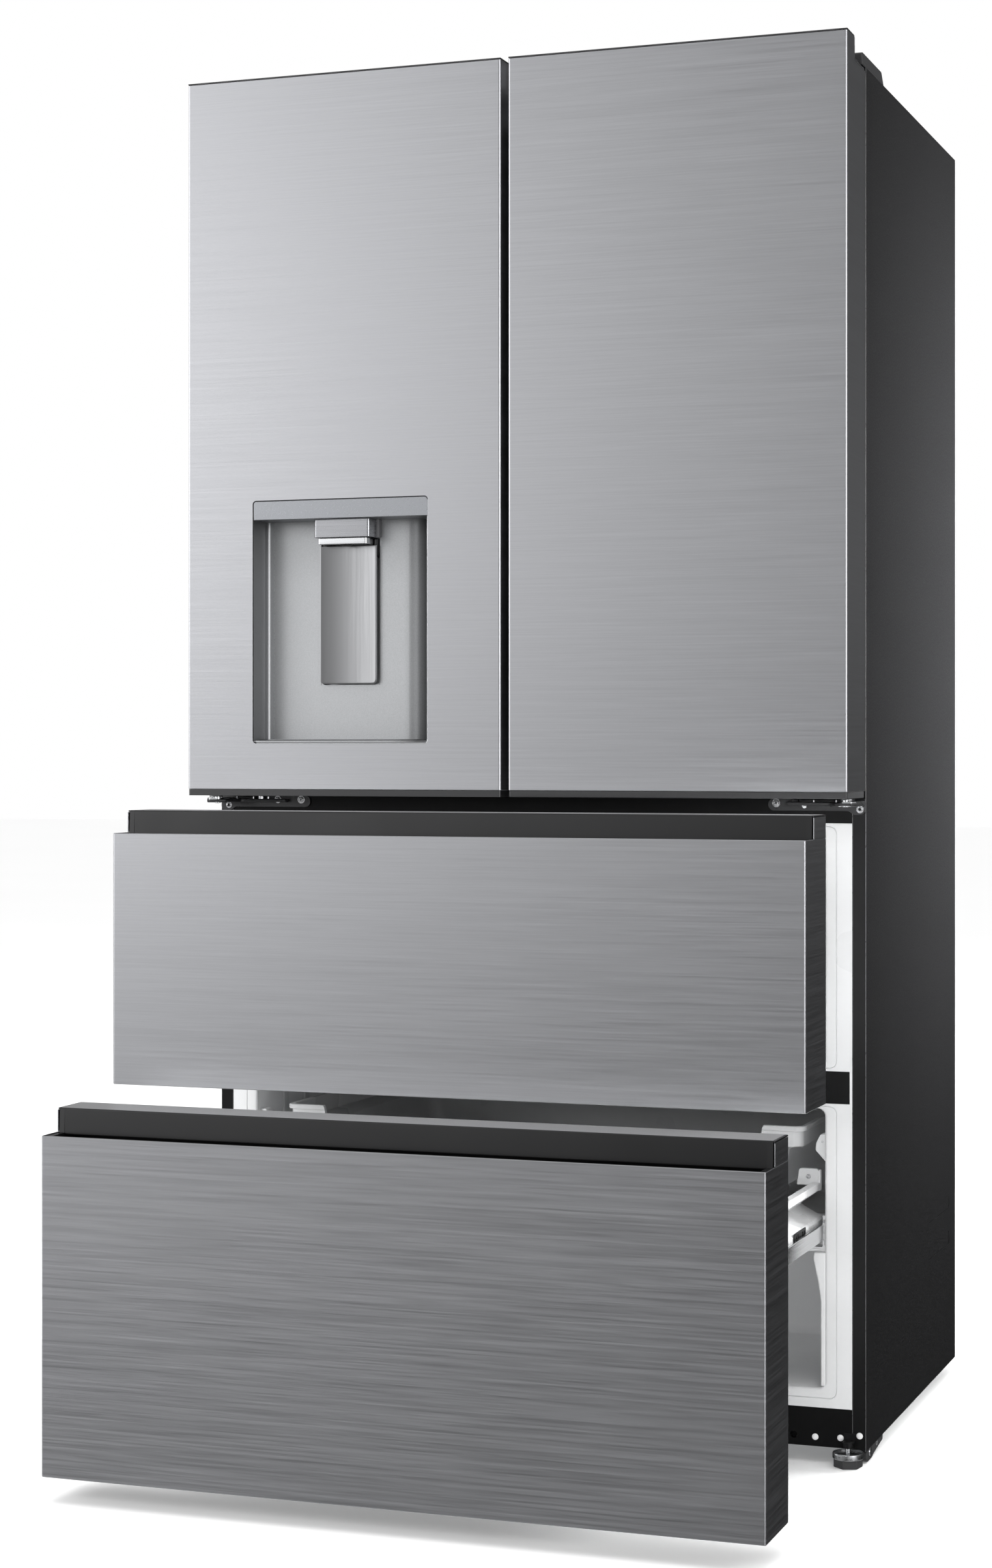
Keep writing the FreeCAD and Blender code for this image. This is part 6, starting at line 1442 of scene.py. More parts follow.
# clear shelves of the doors with a satin rail along the top edge
for side, sx, rows in (("right", 1, ((900.0, 120.0), (1145.0, 105.0), (1325.0, 100.0), (1520.0, 90.0))), ("left", -1, ((900.0, 120.0), (1372.0, 100.0), (1535.0, 90.0)))):
    s = Shape()
    lo_x, hi_x = (64.6, 359.4) if sx > 0 else (-359.4, -64.6)
    for z, h in rows:
        s.tub((lo_x, hi_x), (101.0, 204.6), (z, z + h), 2.4, 11.0, 2.6, 0, 7, 2.0, 0.8)
        path = rounded([(lo_x + 0.4, 130.0), (lo_x + 0.4, 205.4), (hi_x - 0.4, 205.4), (hi_x - 0.4, 130.0), (hi_x - 2.4, 130.0), (hi_x - 2.4, 203.2), (lo_x + 2.4, 203.2), (lo_x + 2.4, 130.0)],
                       [0.8, 11.0, 11.0, 0.8, 0.8, 9.0, 9.0, 0.8], 7)
        s.prism("z", path, z + h - 15.0, z + h - 2.0, 1, 0.5, 2)
        for k in range(6):
            x = lo_x + 36.0 + 44.6 * k
            s.box((x - 1.2, x + 1.2), (112.0, 196.0), (z + 2.2, z + 3.8), 0.6, 2)
    s.make("%s_door_shelf_bins" % side, "%s_door" % side, "clear_plastic", [M["clear_plastic"], M["bright_trim"]], ["%s_door_bins" % side], angle=30)

# water tank with its lid, filler flap and outlet pipe
s = Shape()
s.tub((-351.0, -73.0), (102.0, 197.4), (1110.0, 1290.0), 2.4, 12.0, 2.6, 0, 7, 1.0, 0.0)
s.prism("z", rounded([(-353.0, 101.0), (-71.0, 101.0), (-71.0, 199.0), (-353.0, 199.0)], 13.0, 7), 1290.2, 1297.0, 1, 1.6, 3)
s.prism("z", rounded([(-300.0, 118.0), (-124.0, 118.0), (-124.0, 182.0), (-300.0, 182.0)], 9.0, 6), 1296.6, 1299.4, 1, 1.0, 2)
s.prism("z", rounded([(-238.0, 124.0), (-186.0, 124.0), (-186.0, 138.0), (-238.0, 138.0)], 6.0, 6), 1299.2, 1300.4, 2, 0.4, 2)
for x in (-330.0, -94.0):
    s.prism("x", rounded([(196.0, 1276.0), (202.0, 1276.0), (202.6, 1300.0), (196.0, 1300.0)], [1, 2, 2, 1], 4), x - 14.0, x + 14.0, 1, 1.0, 2)
s.lathe("z", (-228.5, 118.0, 0.0), [(0.0, 1100.0), (5.0, 1100.0), (5.4, 1100.6), (5.4, 1106.0), (9.0, 1107.0), (9.0, 1110.6), (0.0, 1110.6)], 2, 32)
for k in range(5):
    s.box((-351.9, -350.4), (118.0, 134.0), (1140.0 + 28.0 * k, 1141.6 + 28.0 * k), 0.3, 1, 2)
s.make("water_reservoir", "left_door", "clear_plastic", [M["clear_plastic"], M["white_plastic"], M["dark_plastic"]], ["water_tank"], angle=30)

# ---------------------------------------------------------------- inside of the cabinet

# tempered shelves with a clear trim in front and slim white rails below their sides
s = Shape()
for z in (1080.0, 1243.0, 1398.0, 1553.0):
    s.prism("z", rounded([(-390.4, 239.0), (390.4, 239.0), (390.4, 621.6), (-390.4, 621.6)], 5.0, 5), z + 0.1, z + 4.6, 0, 0.8, 2)
    front = rounded([(241.4, z - 3.0), (241.4, z + 8.0), (235.0, z + 9.0), (232.0, z + 7.4), (232.0, z - 7.4), (234.6, z - 9.0), (238.4, z - 8.0), (238.4, z - 3.0)],
                    [0.6, 1.6, 2.4, 2.6, 2.6, 1.6, 1.2, 0.8], 4)
    s.prism("x", front, -388.0, 388.0, 1, 0.6, 2)
    s.box((-386.0, 386.0), (231.8, 233.0), (z - 1.0, z + 4.0), 0.4, 2, 2)
    s.prism("x", rounded([(612.0, z - 2.6), (623.4, z - 2.6), (623.4, z + 10.0), (620.8, z + 10.0), (620.4, z + 5.4), (612.0, z + 5.4)], 1.0, 3), -388.0, 388.0, 1, 0.5, 2)
s.make("fridge_shelves", "cabinet", "clear_plastic", [M["shelf_glass"], M["white_plastic"], M["bright_trim"]], ["glass_shelves"], angle=30)

# crisper boxes with a moulded front and a finger slot
s = Shape()
for a, b in ((-380.0, -4.0), (4.0, 380.0)):
    s.tub((a + 5.0, b - 5.0), (245.0, 599.6), (872.0, 1061.0), 2.6, 16.0, 2.8, 0, 7, 5.0, 1.2)
    hole = rounded([(a + 92.0, 1036.0), (b - 92.0, 1036.0), (b - 92.0, 1053.0), (a + 92.0, 1053.0)], 7.0, 6)
    s.prism("y", rounded([(a + 0.2, 870.8), (b - 0.2, 870.8), (b - 0.2, 1067.6), (a + 0.2, 1067.6)], 7.0, 6), 238.0, 245.0, 1, 2.0, 3, holes=[hole])
    s.frame((a + 88.0, b - 88.0), (1032.0, 1057.0), [(0.0, 237.4), (0.6, 236.6), (3.0, 236.6), (3.8, 238.4), (3.8, 240.0), (0.0, 240.0)], 2, 9.0, 6)
    s.frame((a + 18.0, b - 18.0), (890.0, 1014.0), [(0.0, 238.2), (1.0, 237.2), (3.0, 236.8), (5.0, 237.2), (6.0, 238.2)], 1, 12.0, 6)
    for k in range(7):
        x = a + 53.0 + 45.0 * k
        s.box((x - 1.6, x + 1.6), (262.0, 584.0), (874.4, 876.4), 0.8, 2)
s.box((-3.4, 3.4), (238.0, 636.0), (868.4, 1072.0), 0.8, 2, 3)
s.box((-390.6, 390.6), (242.0, 622.0), (1071.2, 1074.6), 0.8, 2, 3)
s.make("crisper_boxes", "cabinet", "clear_plastic", [M["clear_plastic"], M["frosted"], M["bright_trim"], M["white_plastic"]], ["crisper_drawers"], angle=30)

# air duct up the back of the fridge, and the cover in front of the evaporator
s = Shape()
duct = rounded([(-150.0, 640.0), (-150.0, 635.0), (-120.0, 627.4), (120.0, 627.4), (150.0, 635.0), (150.0, 640.0)], [0, 2, 8, 8, 2, 0], 5)
s.prism("z", duct, 1092.0, 1700.0, 0, 1.0, 2)
for z in (1180.0, 1330.0, 1480.0, 1630.0):
    s.frame((-78.0, 78.0), (z - 7.0, z + 14.0), [(0.0, 627.8), (0.6, 626.4), (2.6, 626.2), (3.4, 627.8)], 0, 5.0, 5)
    for k in range(5):
        x = -60.0 + 28.0 * k
        louvre = rounded([(628.4, z - 0.5), (627.0, z), (629.6, z + 7.0), (631.0, z + 7.0)], 0.4, 2)
        # dark blocks in the louvre openings: painted shade
        s.prism("x", rounded([(626.6, z), (627.8, z), (627.8, z + 7.4), (626.6, z + 7.4)], 0.3, 2), x - 10.0, x + 10.0, 1, 0.2, 1)
        s.prism("x", louvre, x - 10.4, x + 10.4, 0, 0.0, 1)
holes = [rounded([(-140.0 + 60.0 * k, 774.0), (-100.0 + 60.0 * k, 774.0), (-100.0 + 60.0 * k, 782.0), (-140.0 + 60.0 * k, 782.0)], 3.6, 5) for k in range(5)]
s.prism("y", rounded([(-384.0, 506.0), (384.0, 506.0), (384.0, 798.0), (-384.0, 798.0)], 12.0, 6), 604.0, 607.0, 0, 1.2, 3, holes=holes)
s.frame((-350.0, 350.0), (532.0, 756.0), [(0.0, 604.3), (1.0, 603.2), (4.0, 602.4), (7.0, 603.2), (8.0, 604.3)], 0, 16.0, 7)
for sx in (-1, 1):
    bx = (381.4, 384.0) if sx > 0 else (-384.0, -381.4)
    s.box(bx, (606.0, 640.0), (512.0, 792.0), 0.8, 2)
    for z in (524.0, 780.0):
        s.cross_screw("y", (sx * 366.0, 604.0, z), 4.2, 1.6, 2, 24)
s.make("air_ducts", "cabinet", "white_plastic", [M["white_plastic"], M["dark_gap"], M["screw_steel"]], ["duct_covers"], angle=30)

# evaporator: coil with its fins
EVAP = []
for k in range(9):
    z = 540.0 + 25.0 * k
    ends = (-238.0, 238.0) if k % 2 == 0 else (238.0, -238.0)
    EVAP += [(ends[0], 624.0, z), (ends[1], 624.0, z)]
    if k < 8:
        for i in range(1, 8):
            t = math.pi * i / 8
            EVAP.append((ends[1] + math.copysign(12.5 * math.sin(t), ends[1]), 624.0, z + 12.5 - 12.5 * math.cos(t)))
s = Shape()
s.tube(EVAP, 4.0, 0, 12)
for k in range(46):
    s.box((-225.0 + 10.0 * k, -224.4 + 10.0 * k), (612.0, 636.0), (528.0, 752.0))
s.make("evaporator_coil", "cabinet", "coil_metal", M["coil_metal"], ["evaporator"], angle=30)

# light under the ceiling, and the post between the doors
s = Shape()
lens = rounded([(330.0, 1715.0), (330.0, 1713.0), (335.0, 1709.2), (375.0, 1709.2), (380.0, 1713.0), (380.0, 1715.0)], [0, 1, 3, 3, 1, 0], 5)
s.prism("x", lens, -116.0, 116.0, 0, 1.4, 3)
s.prism("z", rounded([(-120.0, 327.0), (120.0, 327.0), (120.0, 383.0), (-120.0, 383.0)], 8.0, 6), 1712.6, 1715.2, 1, 0.8, 2)
for k in range(12):
    s.box((-104.0 + 17.6 * k, -101.0 + 17.6 * k), (338.0, 372.0), (1708.8, 1709.6), 0.3, 1)
s.make("ceiling_light", "cabinet", "cap_white", [M["lamp_glow"], M["white_plastic"]], ["ceiling_lamp"], angle=30)
s = Shape()
post = rounded([(-24.0, 105.2), (24.0, 105.2), (24.0, 131.2), (-24.0, 131.2)], [1.6, 1.6, 5.0, 5.0], 6)
s.prism("z", post, 868.0, 1715.0, 0, 1.2, 2)
for x in (-10.0, 10.0):
    s.prism("x", rounded([(104.9, 880.0), (105.6, 880.0), (105.6, 1703.0), (104.9, 1703.0)], 0.2, 2), x - 1.2, x + 1.2, 0, 0.1, 1)
for z in (900.0, 1291.0, 1683.0):
    s.cross_screw("y", (0.0, 131.2, z), 4.2, 1.5, 1, 24, 1)
s.make("post_between_doors", "cabinet", "dark_plastic", [M["dark_plastic"], M["screw_steel"]], ["centre_post"], angle=30)


def channel(s, outer, inner, z, h, y0, y1, t, sx, mat=0):
    """C-shaped runner member open towards the middle of the cabinet."""
    pts = [(outer, z - h), (outer, z + h), (inner, z + h), (inner, z + h - t), (outer - t, z + h - t), (outer - t, z - h + t), (inner, z - h + t), (inner, z - h)]
    s.prism("y", rounded([(sx * a, b) for a, b in pts], [1.6, 1.6, 0.5, 0.5, 0.8, 0.8, 0.5, 0.5], 3), y0, y1, mat, 0.2, 1)


s = Shape()
for z in (648.0, 290.0):
    for sx in (-1, 1):
        bx = lambda a, b: (a, b) if sx > 0 else (-b, -a)
        channel(s, 391.8, 385.2, z + 0.4, 12.6, 131.0, 600.0, 1.4, sx)
        for y in (150.0, 350.0, 560.0):
            s.cross_screw("x", (sx * 390.4, y, z), 4.0, 1.2, 1, 22, -sx)
        s.box(bx(385.6, 391.0), (598.6, 601.0), (z - 10.4, z + 11.2), 0.8, 2, 2)
s.make("cabinet_runner_channels", "cabinet", "runner_steel", [M["runner_steel"], M["screw_steel"], M["dark_plastic"]], ["runner_rails"], angle=30)
for tag, shift, z in (("upper", UP / 2, 648.0), ("lower", LOW / 2, 290.0)):
    s = Shape(shift)
    for sx in (-1, 1):
        bx = lambda a, b: (a, b) if sx > 0 else (-b, -a)
        channel(s, 389.6, 384.9, z + 0.4, 10.4, 116.0, 597.0, 1.2, sx)
        s.box(bx(385.2, 388.6), (117.0, 121.0), (z - 8.6, z + 9.4), 0.8, 2, 1)
        for k in range(12):
            for dz in (-8.0, 8.8):
                y = 132.0 + 40.0 * k
                s.lathe("y", (sx * 386.6, y, z + dz), [(0.0, y - 1.0), (0.7, y - 0.75), (1.0, y), (0.7, y + 0.75), (0.0, y + 1.0)], 2, 12)
    s.make("%s_runner_middles" % tag, "%s_slides" % tag, "runner_steel", [M["runner_chrome"], M["dark_plastic"], M["chrome"]], ["%s_runner_slides" % tag], angle=30)

# ---------------------------------------------------------------- top of the cabinet

s = Shape()
t2 = Shape()
for sx in (-1, 1):
    m = lambda pts: [(sx * a, b) for a, b in pts]
    bx = lambda a, b: (a, b) if sx > 0 else (-b, -a)
    plate = rounded(m([(372.0, 188.0), (372.0, 106.0), (415.0, 106.0), (415.0, 62.0), (440.4, 52.0), (440.4, 106.0), (436.0, 112.0), (436.0, 188.0)]),
                    [6, 8, 6, 8, 8.0, 3, 3, 6], 6)
    s.prism("z", plate, 1759.0, 1762.4, 0, 0.7, 2)
    s.lathe("z", (sx * 432.0, 60.0, 0.0), [(0.0, 1759.2), (8.6, 1759.2), (8.6, 1776.6), (7.6, 1778.0), (4.4, 1778.0), (4.0, 1776.8), (0.0, 1776.8)], 0, 40)
    s.lathe("z", (sx * 432.0, 60.0, 0.0), [(0.0, 1740.5), (3.4, 1740.5), (4.4, 1741.6), (4.4, 1759.4), (0.0, 1759.4)], 1, 32)
    # hood over the hinge: a shell with a sloped back, a screw well and ribs
    hood = rounded([(85.2, 1759.1), (85.2, 1774.2), (199.0, 1774.2), (213.2, 1759.1), (209.4, 1759.1), (197.4, 1772.2), (87.2, 1772.2), (87.2, 1759.1)],
                   [0, 3.0, 5.0, 0, 0, 3.6, 1.4, 0], 5)
    t2.prism("x", hood, *bx(331.8, 443.2), 0, 0.3, 1)
    flank = rounded([(85.2, 1759.1), (85.2, 1774.2), (199.0, 1774.2), (213.2, 1759.1)], [0, 3.0, 5.0, 0], 5)
    t2.prism("x", flank, *bx(330.2, 332.2), 0, 0.9, 3)
    front_cut = rounded([(88.0, 1759.1), (88.0, 1765.0), (96.0, 1765.0), (96.0, 1759.1)], 0.3, 2)
    t2.prism("x", flank, *bx(442.8, 444.8), 0, 0.9, 3)
    t2.lathe("z", (sx * 356.0, 150.0, 0.0), [(0.0, 1774.0), (6.4, 1774.0), (7.4, 1774.5), (7.4, 1775.0), (6.6, 1775.2), (5.6, 1774.6), (0.0, 1774.6)], 0, 32)
    t2.cross_screw("z", (sx * 356.0, 150.0, 1774.4), 4.6, 1.2, 1, 24, 1)
    for k in range(3):
        t2.box(bx(392.0, 430.0), (120.0 + 24.0 * k, 122.0 + 24.0 * k), (1774.0, 1774.9), 0.4, 2)
s.make("top_hinge_plates", "cabinet", "black_steel", [M["hinge_black"], M["zinc"]], ["top_hinges"], angle=30)
t2.make("hinge_hoods", "cabinet", "dark_plastic", [M["cap_plastic"], M["screw_steel"]], ["hinge_covers"], angle=30)

# ---------------------------------------------------------------- back of the cabinet and machine bay

s = Shape()
s.prism("y", rounded([(-444.6, 262.3), (444.6, 262.3), (444.6, 340.0), (-444.6, 340.0)], [0.5, 0.5, 0, 0], 2), 708.2, 710.2)
s.prism("y", rounded([(-444.6, 1690.0), (444.6, 1690.0), (444.6, 1758.6), (-444.6, 1758.6)], [0, 0, 3.0, 3.0], 4), 708.2, 710.2)
prof = [(-444.6, 710.2)]
for k in range(7):
    x = -330.0 + 108.0 * k
    prof += [(x - 3.0, 710.2), (x - 1.2, 709.9), (x + 1.0, 708.9), (x + 3.0, 708.5), (x + 9.0, 708.5), (x + 11.0, 708.9), (x + 13.2, 709.9), (x + 15.0, 710.2)]
prof.append((444.6, 710.2))
s.prism("z", prof + [(444.6, 708.2), (-444.6, 708.2)], 340.0, 1690.0)
slots = []
for i in range(5):
    for z in (70.0, 84.0, 98.0, 112.0, 126.0, 140.0, 154.0, 168.0, 182.0, 196.0, 210.0):
        x = -400.0 + 80.0 * i
        slots.append(rounded([(x, z), (x + 58.0, z), (x + 58.0, z + 4.4), (x, z + 4.4)], 2.1, 4))
inlet_hole = rounded([(350.0, 184.0), (404.0, 184.0), (404.0, 234.6), (350.0, 234.6)], 4.0, 4)
for sx in (-1, 1):
    s.prism("y", rounded([(sx * 438.0, 228.0), (sx * 444.6, 228.0), (sx * 444.6, 263.0), (sx * 438.0, 263.0)], [0, 0.6, 0, 0], 2), 706.9, 707.9, 0, 0.2, 1)
s.prism("y", rounded([(-440.0, 44.0), (440.0, 44.0), (440.0, 262.0), (-440.0, 262.0)], 5.0, 5), 707.4, 708.4, 0, 0.25, 1, holes=slots + [inlet_hole])
s.frame((-440.0, 440.0), (44.0, 262.0), [(0.3, 708.2), (1.2, 709.2), (4.0, 709.4), (5.0, 708.2)], 0, 5.0, 5)
for x in (-428.0, -214.0, 0.0, 214.0, 428.0):
    for z in (56.0, 250.0):
        s.cross_screw("y", (x, 708.3, z), 4.6, 1.9, 1, 24, 1)
for x in (-436.0, 436.0):
    for k in range(7):
        s.cross_screw("y", (x, 710.2, 290.0 + 240.0 * k), 4.0, 1.7, 1, 24, 1)
for x in (-260.0, 0.0, 260.0):
    s.cross_screw("y", (x, 710.2, 1748.0), 4.0, 1.7, 1, 24, 1)
for x in (-280.0, 280.0):
    spacer = rounded([(709.8, 1470.0), (709.8, 1530.0), (717.6, 1524.0), (717.6, 1476.0)], [0, 0, 3, 3], 5)
    s.prism("x", spacer, x - 9.0, x + 9.0, 2, 1.2, 3)
s.make("rear_sheets", "cabinet", "galvanised", [M["rear_paint"], M["screw_steel"], M["dark_plastic"]], ["rear_panels"], angle=30)

s = Shape()
plate = rounded([(107.6, 48.6), (468.5, 48.6), (468.5, 40.1), (706.0, 40.1), (706.0, 62.0), (704.5, 62.0), (704.5, 41.6), (470.0, 41.6), (470.0, 50.0), (107.6, 50.0)],
                [0.3, 1.5, 3.0, 3.0, 0.4, 0.4, 1.5, 1.5, 3.0, 0.3], 4)
s.prism("x", plate, -443.6, 443.6)
for x in (-330.0, -110.0, 110.0, 330.0):
    s.prism("x", rounded([(140.0, 50.0), (150.0, 53.0), (430.0, 53.0), (440.0, 50.0)], [0, 3, 3, 0], 3), x - 9.0, x + 9.0, 0, 0.8, 2)
s.make("base_plate", "cabinet", "galvanised", M["galvanised"], ["base_pan"], angle=30)

# compressor: domed can with a seam, feet on rubber mounts, terminal box
s = Shape()
c = (235.0, 590.0, 0.0)
s.lathe("z", c, [(0.0, 60.0), (50.0, 60.0), (66.0, 64.0), (75.0, 74.0), (77.6, 88.0), (77.6, 126.0), (79.6, 126.6), (79.6, 130.6), (77.0, 131.2), (76.2, 160.0), (72.0, 173.0),
                 (62.0, 183.0), (44.0, 188.4), (20.0, 190.0), (0.0, 190.0)], 0, 64)
s.prism("z", rounded([(145.0, 515.0), (325.0, 515.0), (325.0, 665.0), (145.0, 665.0)], 14.0, 6), 52.0, 55.6, 0, 0.8, 2)
s.lathe("z", c, [(0.0, 55.2), (60.0, 55.2), (62.0, 60.6), (0.0, 60.6)], 0, 48)
for x, y in ((158.0, 528.0), (312.0, 528.0), (158.0, 652.0), (312.0, 652.0)):
    s.lathe("z", (x, y, 0.0), [(0.0, 41.7), (11.0, 41.7), (11.0, 44.0), (8.4, 45.2), (8.4, 47.6), (11.0, 48.8), (11.0, 52.0), (0.0, 52.0)], 1, 28)
    s.lathe("z", (x, y, 0.0), [(0.0, 55.4), (8.0, 55.4), (8.0, 56.6), (0.0, 56.6)], 2, 28)
    s.lathe("z", (x, y, 0.0), [(0.0, 56.4), (4.6, 56.4), (5.0, 57.0), (4.6, 60.0), (0.0, 60.4)], 2, 6)
s.box((308.0, 330.0), (560.0, 620.0), (100.0, 150.0), 4.0, 4, 1)
s.box((329.0, 331.4), (572.0, 608.0), (108.0, 142.0), 1.0, 2, 1)
for z in (112.0, 138.0):
    s.cross_screw("x", (331.2, 590.0, z), 3.2, 1.2, 2, 22, 1)
s.lathe("z", (200.0, 650.0, 0.0), [(0.0, 150.0), (5.4, 150.0), (5.4, 168.0), (4.4, 169.0), (0.0, 169.0)], 3, 20)
s.make("compressor_unit", "cabinet", "black_can", [M["black_can"], M["dark_plastic"], M["zinc"], M["copper"]], ["compressor"], angle=32)

s = Shape()
COND = []
for k in range(7):
    z = 72.0 + 22.0 * k
    ends = (-384.0, -201.0) if k % 2 == 0 else (-201.0, -384.0)
    COND += [(ends[0], 590.0, z), (ends[1], 590.0, z)]
    if k < 6:
        out = 1 if ends[1] > ends[0] else -1
        for i in range(1, 8):
            t = math.pi * i / 8
            COND.append((ends[1] + out * 11.0 * math.sin(t), 590.0, z + 11.0 - 11.0 * math.cos(t)))
s.tube(COND, 4.0, 1, 14)
for dy in (-20.0, 20.0):
    s.tube([(a, b + dy, z) for a, b, z in COND], 4.0, 1, 12)
for k in range(40):
    s.box((-378.0 + 4.3 * k, -377.5 + 4.3 * k), (560.0, 620.0), (64.0, 212.0))
for x in (-381.0, -206.0):
    s.box((x - 0.8, x + 0.8), (556.0, 624.0), (60.0, 214.0), 0.5, 1, 2)
s.make("condenser", "cabinet", "coil_metal", [M["coil_metal"], M["copper"], M["galvanised"]], ["condenser_coil"], angle=30)

s = Shape()
ring = [(590.0 + 65.0 * math.cos(2 * math.pi * i / 64), 130.0 + 65.0 * math.sin(2 * math.pi * i / 64)) for i in range(64)]
s.prism("x", rounded([(520.0, 56.0), (660.0, 56.0), (660.0, 206.0), (520.0, 206.0)], 9.0, 6), -120.0, -117.0, 0, 0.6, 2, holes=[ring])
s.lathe("x", (0.0, 590.0, 130.0), [(65.0, -120.0), (67.0, -120.0), (67.0, -106.0), (66.2, -105.2), (65.4, -106.0), (65.0, -119.6), (65.0, -120.0)], 0, 64)
s.box((-117.4, -100.0), (526.0, 654.0), (56.0, 60.0), 1.0, 2)
s.lathe("x", (0.0, 590.0, 130.0), [(0.0, -92.4), (18.0, -92.4), (21.0, -90.0), (21.0, -67.0), (18.0, -64.0), (8.0, -64.0), (7.0, -62.6), (0.0, -62.6)], 1, 40)
s.box((-100.0, -92.0), (582.0, 598.0), (56.0, 206.0), 2.0, 3)
s.box((-117.4, -99.0), (582.0, 598.0), (196.5, 206.0), 1.6, 3)
s.box((-120.0, -92.0), (582.0, 598.0), (41.6, 60.0), 1.6, 3)
for y in (530.0, 650.0):
    for z in (66.0, 196.0):
        s.cross_screw("x", (-120.0, y, z), 3.6, 1.4, 2, 22, -1)
s.make("fan_mount", "cabinet", "fan_plastic", [M["fan_plastic"], M["black_can"], M["screw_steel"]], ["fan_bracket"], angle=32)

# fan wheel with five twisted blades
s = Shape()
fc = Vector((-109.0, 590.0, 130.0))
s.lathe("x", (0.0, 590.0, 130.0), [(0.0, -116.0), (13.0, -116.0), (16.4, -114.4), (17.0, -111.0), (17.0, -102.4), (14.6, -102.0), (14.0, -104.6), (0.0, -104.6)], 0, 40)
s.lathe("x", (0.0, 590.0, 130.0), [(0.0, -104.8), (3.0, -104.8), (3.0, -90.4), (0.0, -90.4)], 1, 20)
bm = bmesh.new()
for k in range(5):
    rows = []
    for i in range(9):
        r = 15.5 + (61.6 - 15.5) * i / 8
        half_arc = math.radians(27.0 - 3.0 * i / 8)
        pitch = math.radians(30.0 - 12.0 * i / 8)
        for_side = []
        for j in range(9):
            u = -1 + 2 * j / 8
            a = 2 * math.pi * k / 5 + u * half_arc + 0.18 * (i / 8) ** 1.5
            x = max(-6.0, min(6.0, u * half_arc * r * math.tan(pitch) * 0.5)) + 0.9 * (1 - u * u)
            thick = 0.45 + 0.55 * (1 - u * u)
            for_side.append((x, a, thick, r))
        rows.append(for_side)
    front = [[bm.verts.new((fc.x + x - th, fc.y + r * math.cos(a), fc.z + r * math.sin(a))) for x, a, th, r in row] for row in rows]
    back = [[bm.verts.new((fc.x + x + th, fc.y + r * math.cos(a), fc.z + r * math.sin(a))) for x, a, th, r in row] for row in rows]
    for i in range(8):
        for j in range(8):
            bm.faces.new((front[i][j], front[i][j + 1], front[i + 1][j + 1], front[i + 1][j]))
            bm.faces.new((back[i][j], back[i + 1][j], back[i + 1][j + 1], back[i][j + 1]))
    rim = [(0, j) for j in range(9)] + [(i, 8) for i in range(1, 9)] + [(8, j) for j in range(7, -1, -1)] + [(i, 0) for i in range(7, 0, -1)]
    for q in range(len(rim)):
        (i, j), (m2, n2) = rim[q], rim[(q + 1) % len(rim)]
        bm.faces.new((front[i][j], back[i][j], back[m2][n2], front[m2][n2]))
bmesh.ops.recalc_face_normals(bm, faces=bm.faces)
s.take(bm)
s.make("fan_wheel", "condenser_fan", "fan_plastic", [M["fan_plastic"], M["chrome"]], ["condenser_fan"], angle=35)

s = Shape()
s.tub((-60.0, 120.0), (500.0, 680.0), (41.6, 62.0), 2.0, 10.0, 2.0, 0, 6, 1.5, 0.8)
for k in range(4):
    s.box((-40.0 + 40.0 * k, -38.0 + 40.0 * k), (512.0, 668.0), (43.4, 47.0), 0.6, 2)
s.make("drip_tray", "cabinet", "dark_plastic", M["fan_plastic"], ["drain_pan"], angle=30)

s = Shape()
well = rounded([(363.0, 192.0), (391.0, 192.0), (391.0, 208.0), (385.0, 214.0), (369.0, 214.0), (363.0, 208.0)], 2.0, 4)
s.prism("y", rounded([(356.0, 186.0), (398.0, 186.0), (398.0, 226.0), (356.0, 226.0)], 3.0, 5), 690.0, 707.0, 0, 1.0, 2, holes=[well])
s.prism("y", rounded([(357.0, 187.0), (397.0, 187.0), (397.0, 225.0), (357.0, 225.0)], 3.0, 5), 676.5, 690.4, 0, 1.0, 2)
s.prism("y", rounded([(352.0, 224.0), (402.0, 224.0), (402.0, 235.0), (352.0, 235.0)], 3.0, 5), 690.2, 708.2, 0, 0.8, 2)
for x, z in ((370.0, 201.0), (384.0, 201.0), (377.0, 209.0)):
    s.prism("y", rounded([(x - 1.2, z - 2.4), (x + 1.2, z - 2.4), (x + 1.2, z + 2.4), (x - 1.2, z + 2.4)], 0.6, 3), 689.8, 704.0, 1, 0.5, 2)
for x in (356.5, 397.5):
    s.cross_screw("y", (x, 708.0, 229.6), 2.8, 1.0, 2, 20, 1)
s.make("power_inlet", "cabinet", "dark_plastic", [M["dark_plastic"], M["zinc"], M["screw_steel"]], ["mains_inlet"], angle=30)

# refrigerant pipes between the compressor and the condenser
s = Shape()


def bent(points, radius, bend, mat=0, n=14, k=6):
    """Tube along straight runs whose corners are rounded."""
    pts = [Vector(p) for p in points]
    out = [pts[0]]
    for i in range(1, len(pts) - 1):
        a, b, c = pts[i - 1], pts[i], pts[i + 1]
        d0, d1 = (a - b), (c - b)
        q = min(bend, d0.length * 0.49, d1.length * 0.49)
        p0, p1 = b + d0.normalized() * q, b + d1.normalized() * q
        for j in range(k + 1):
            t = j / k
            out.append(p0 * (1 - t) ** 2 + b * (2 * t * (1 - t)) + p1 * t ** 2)
    out.append(pts[-1])
    s.tube(out, radius, mat, n)


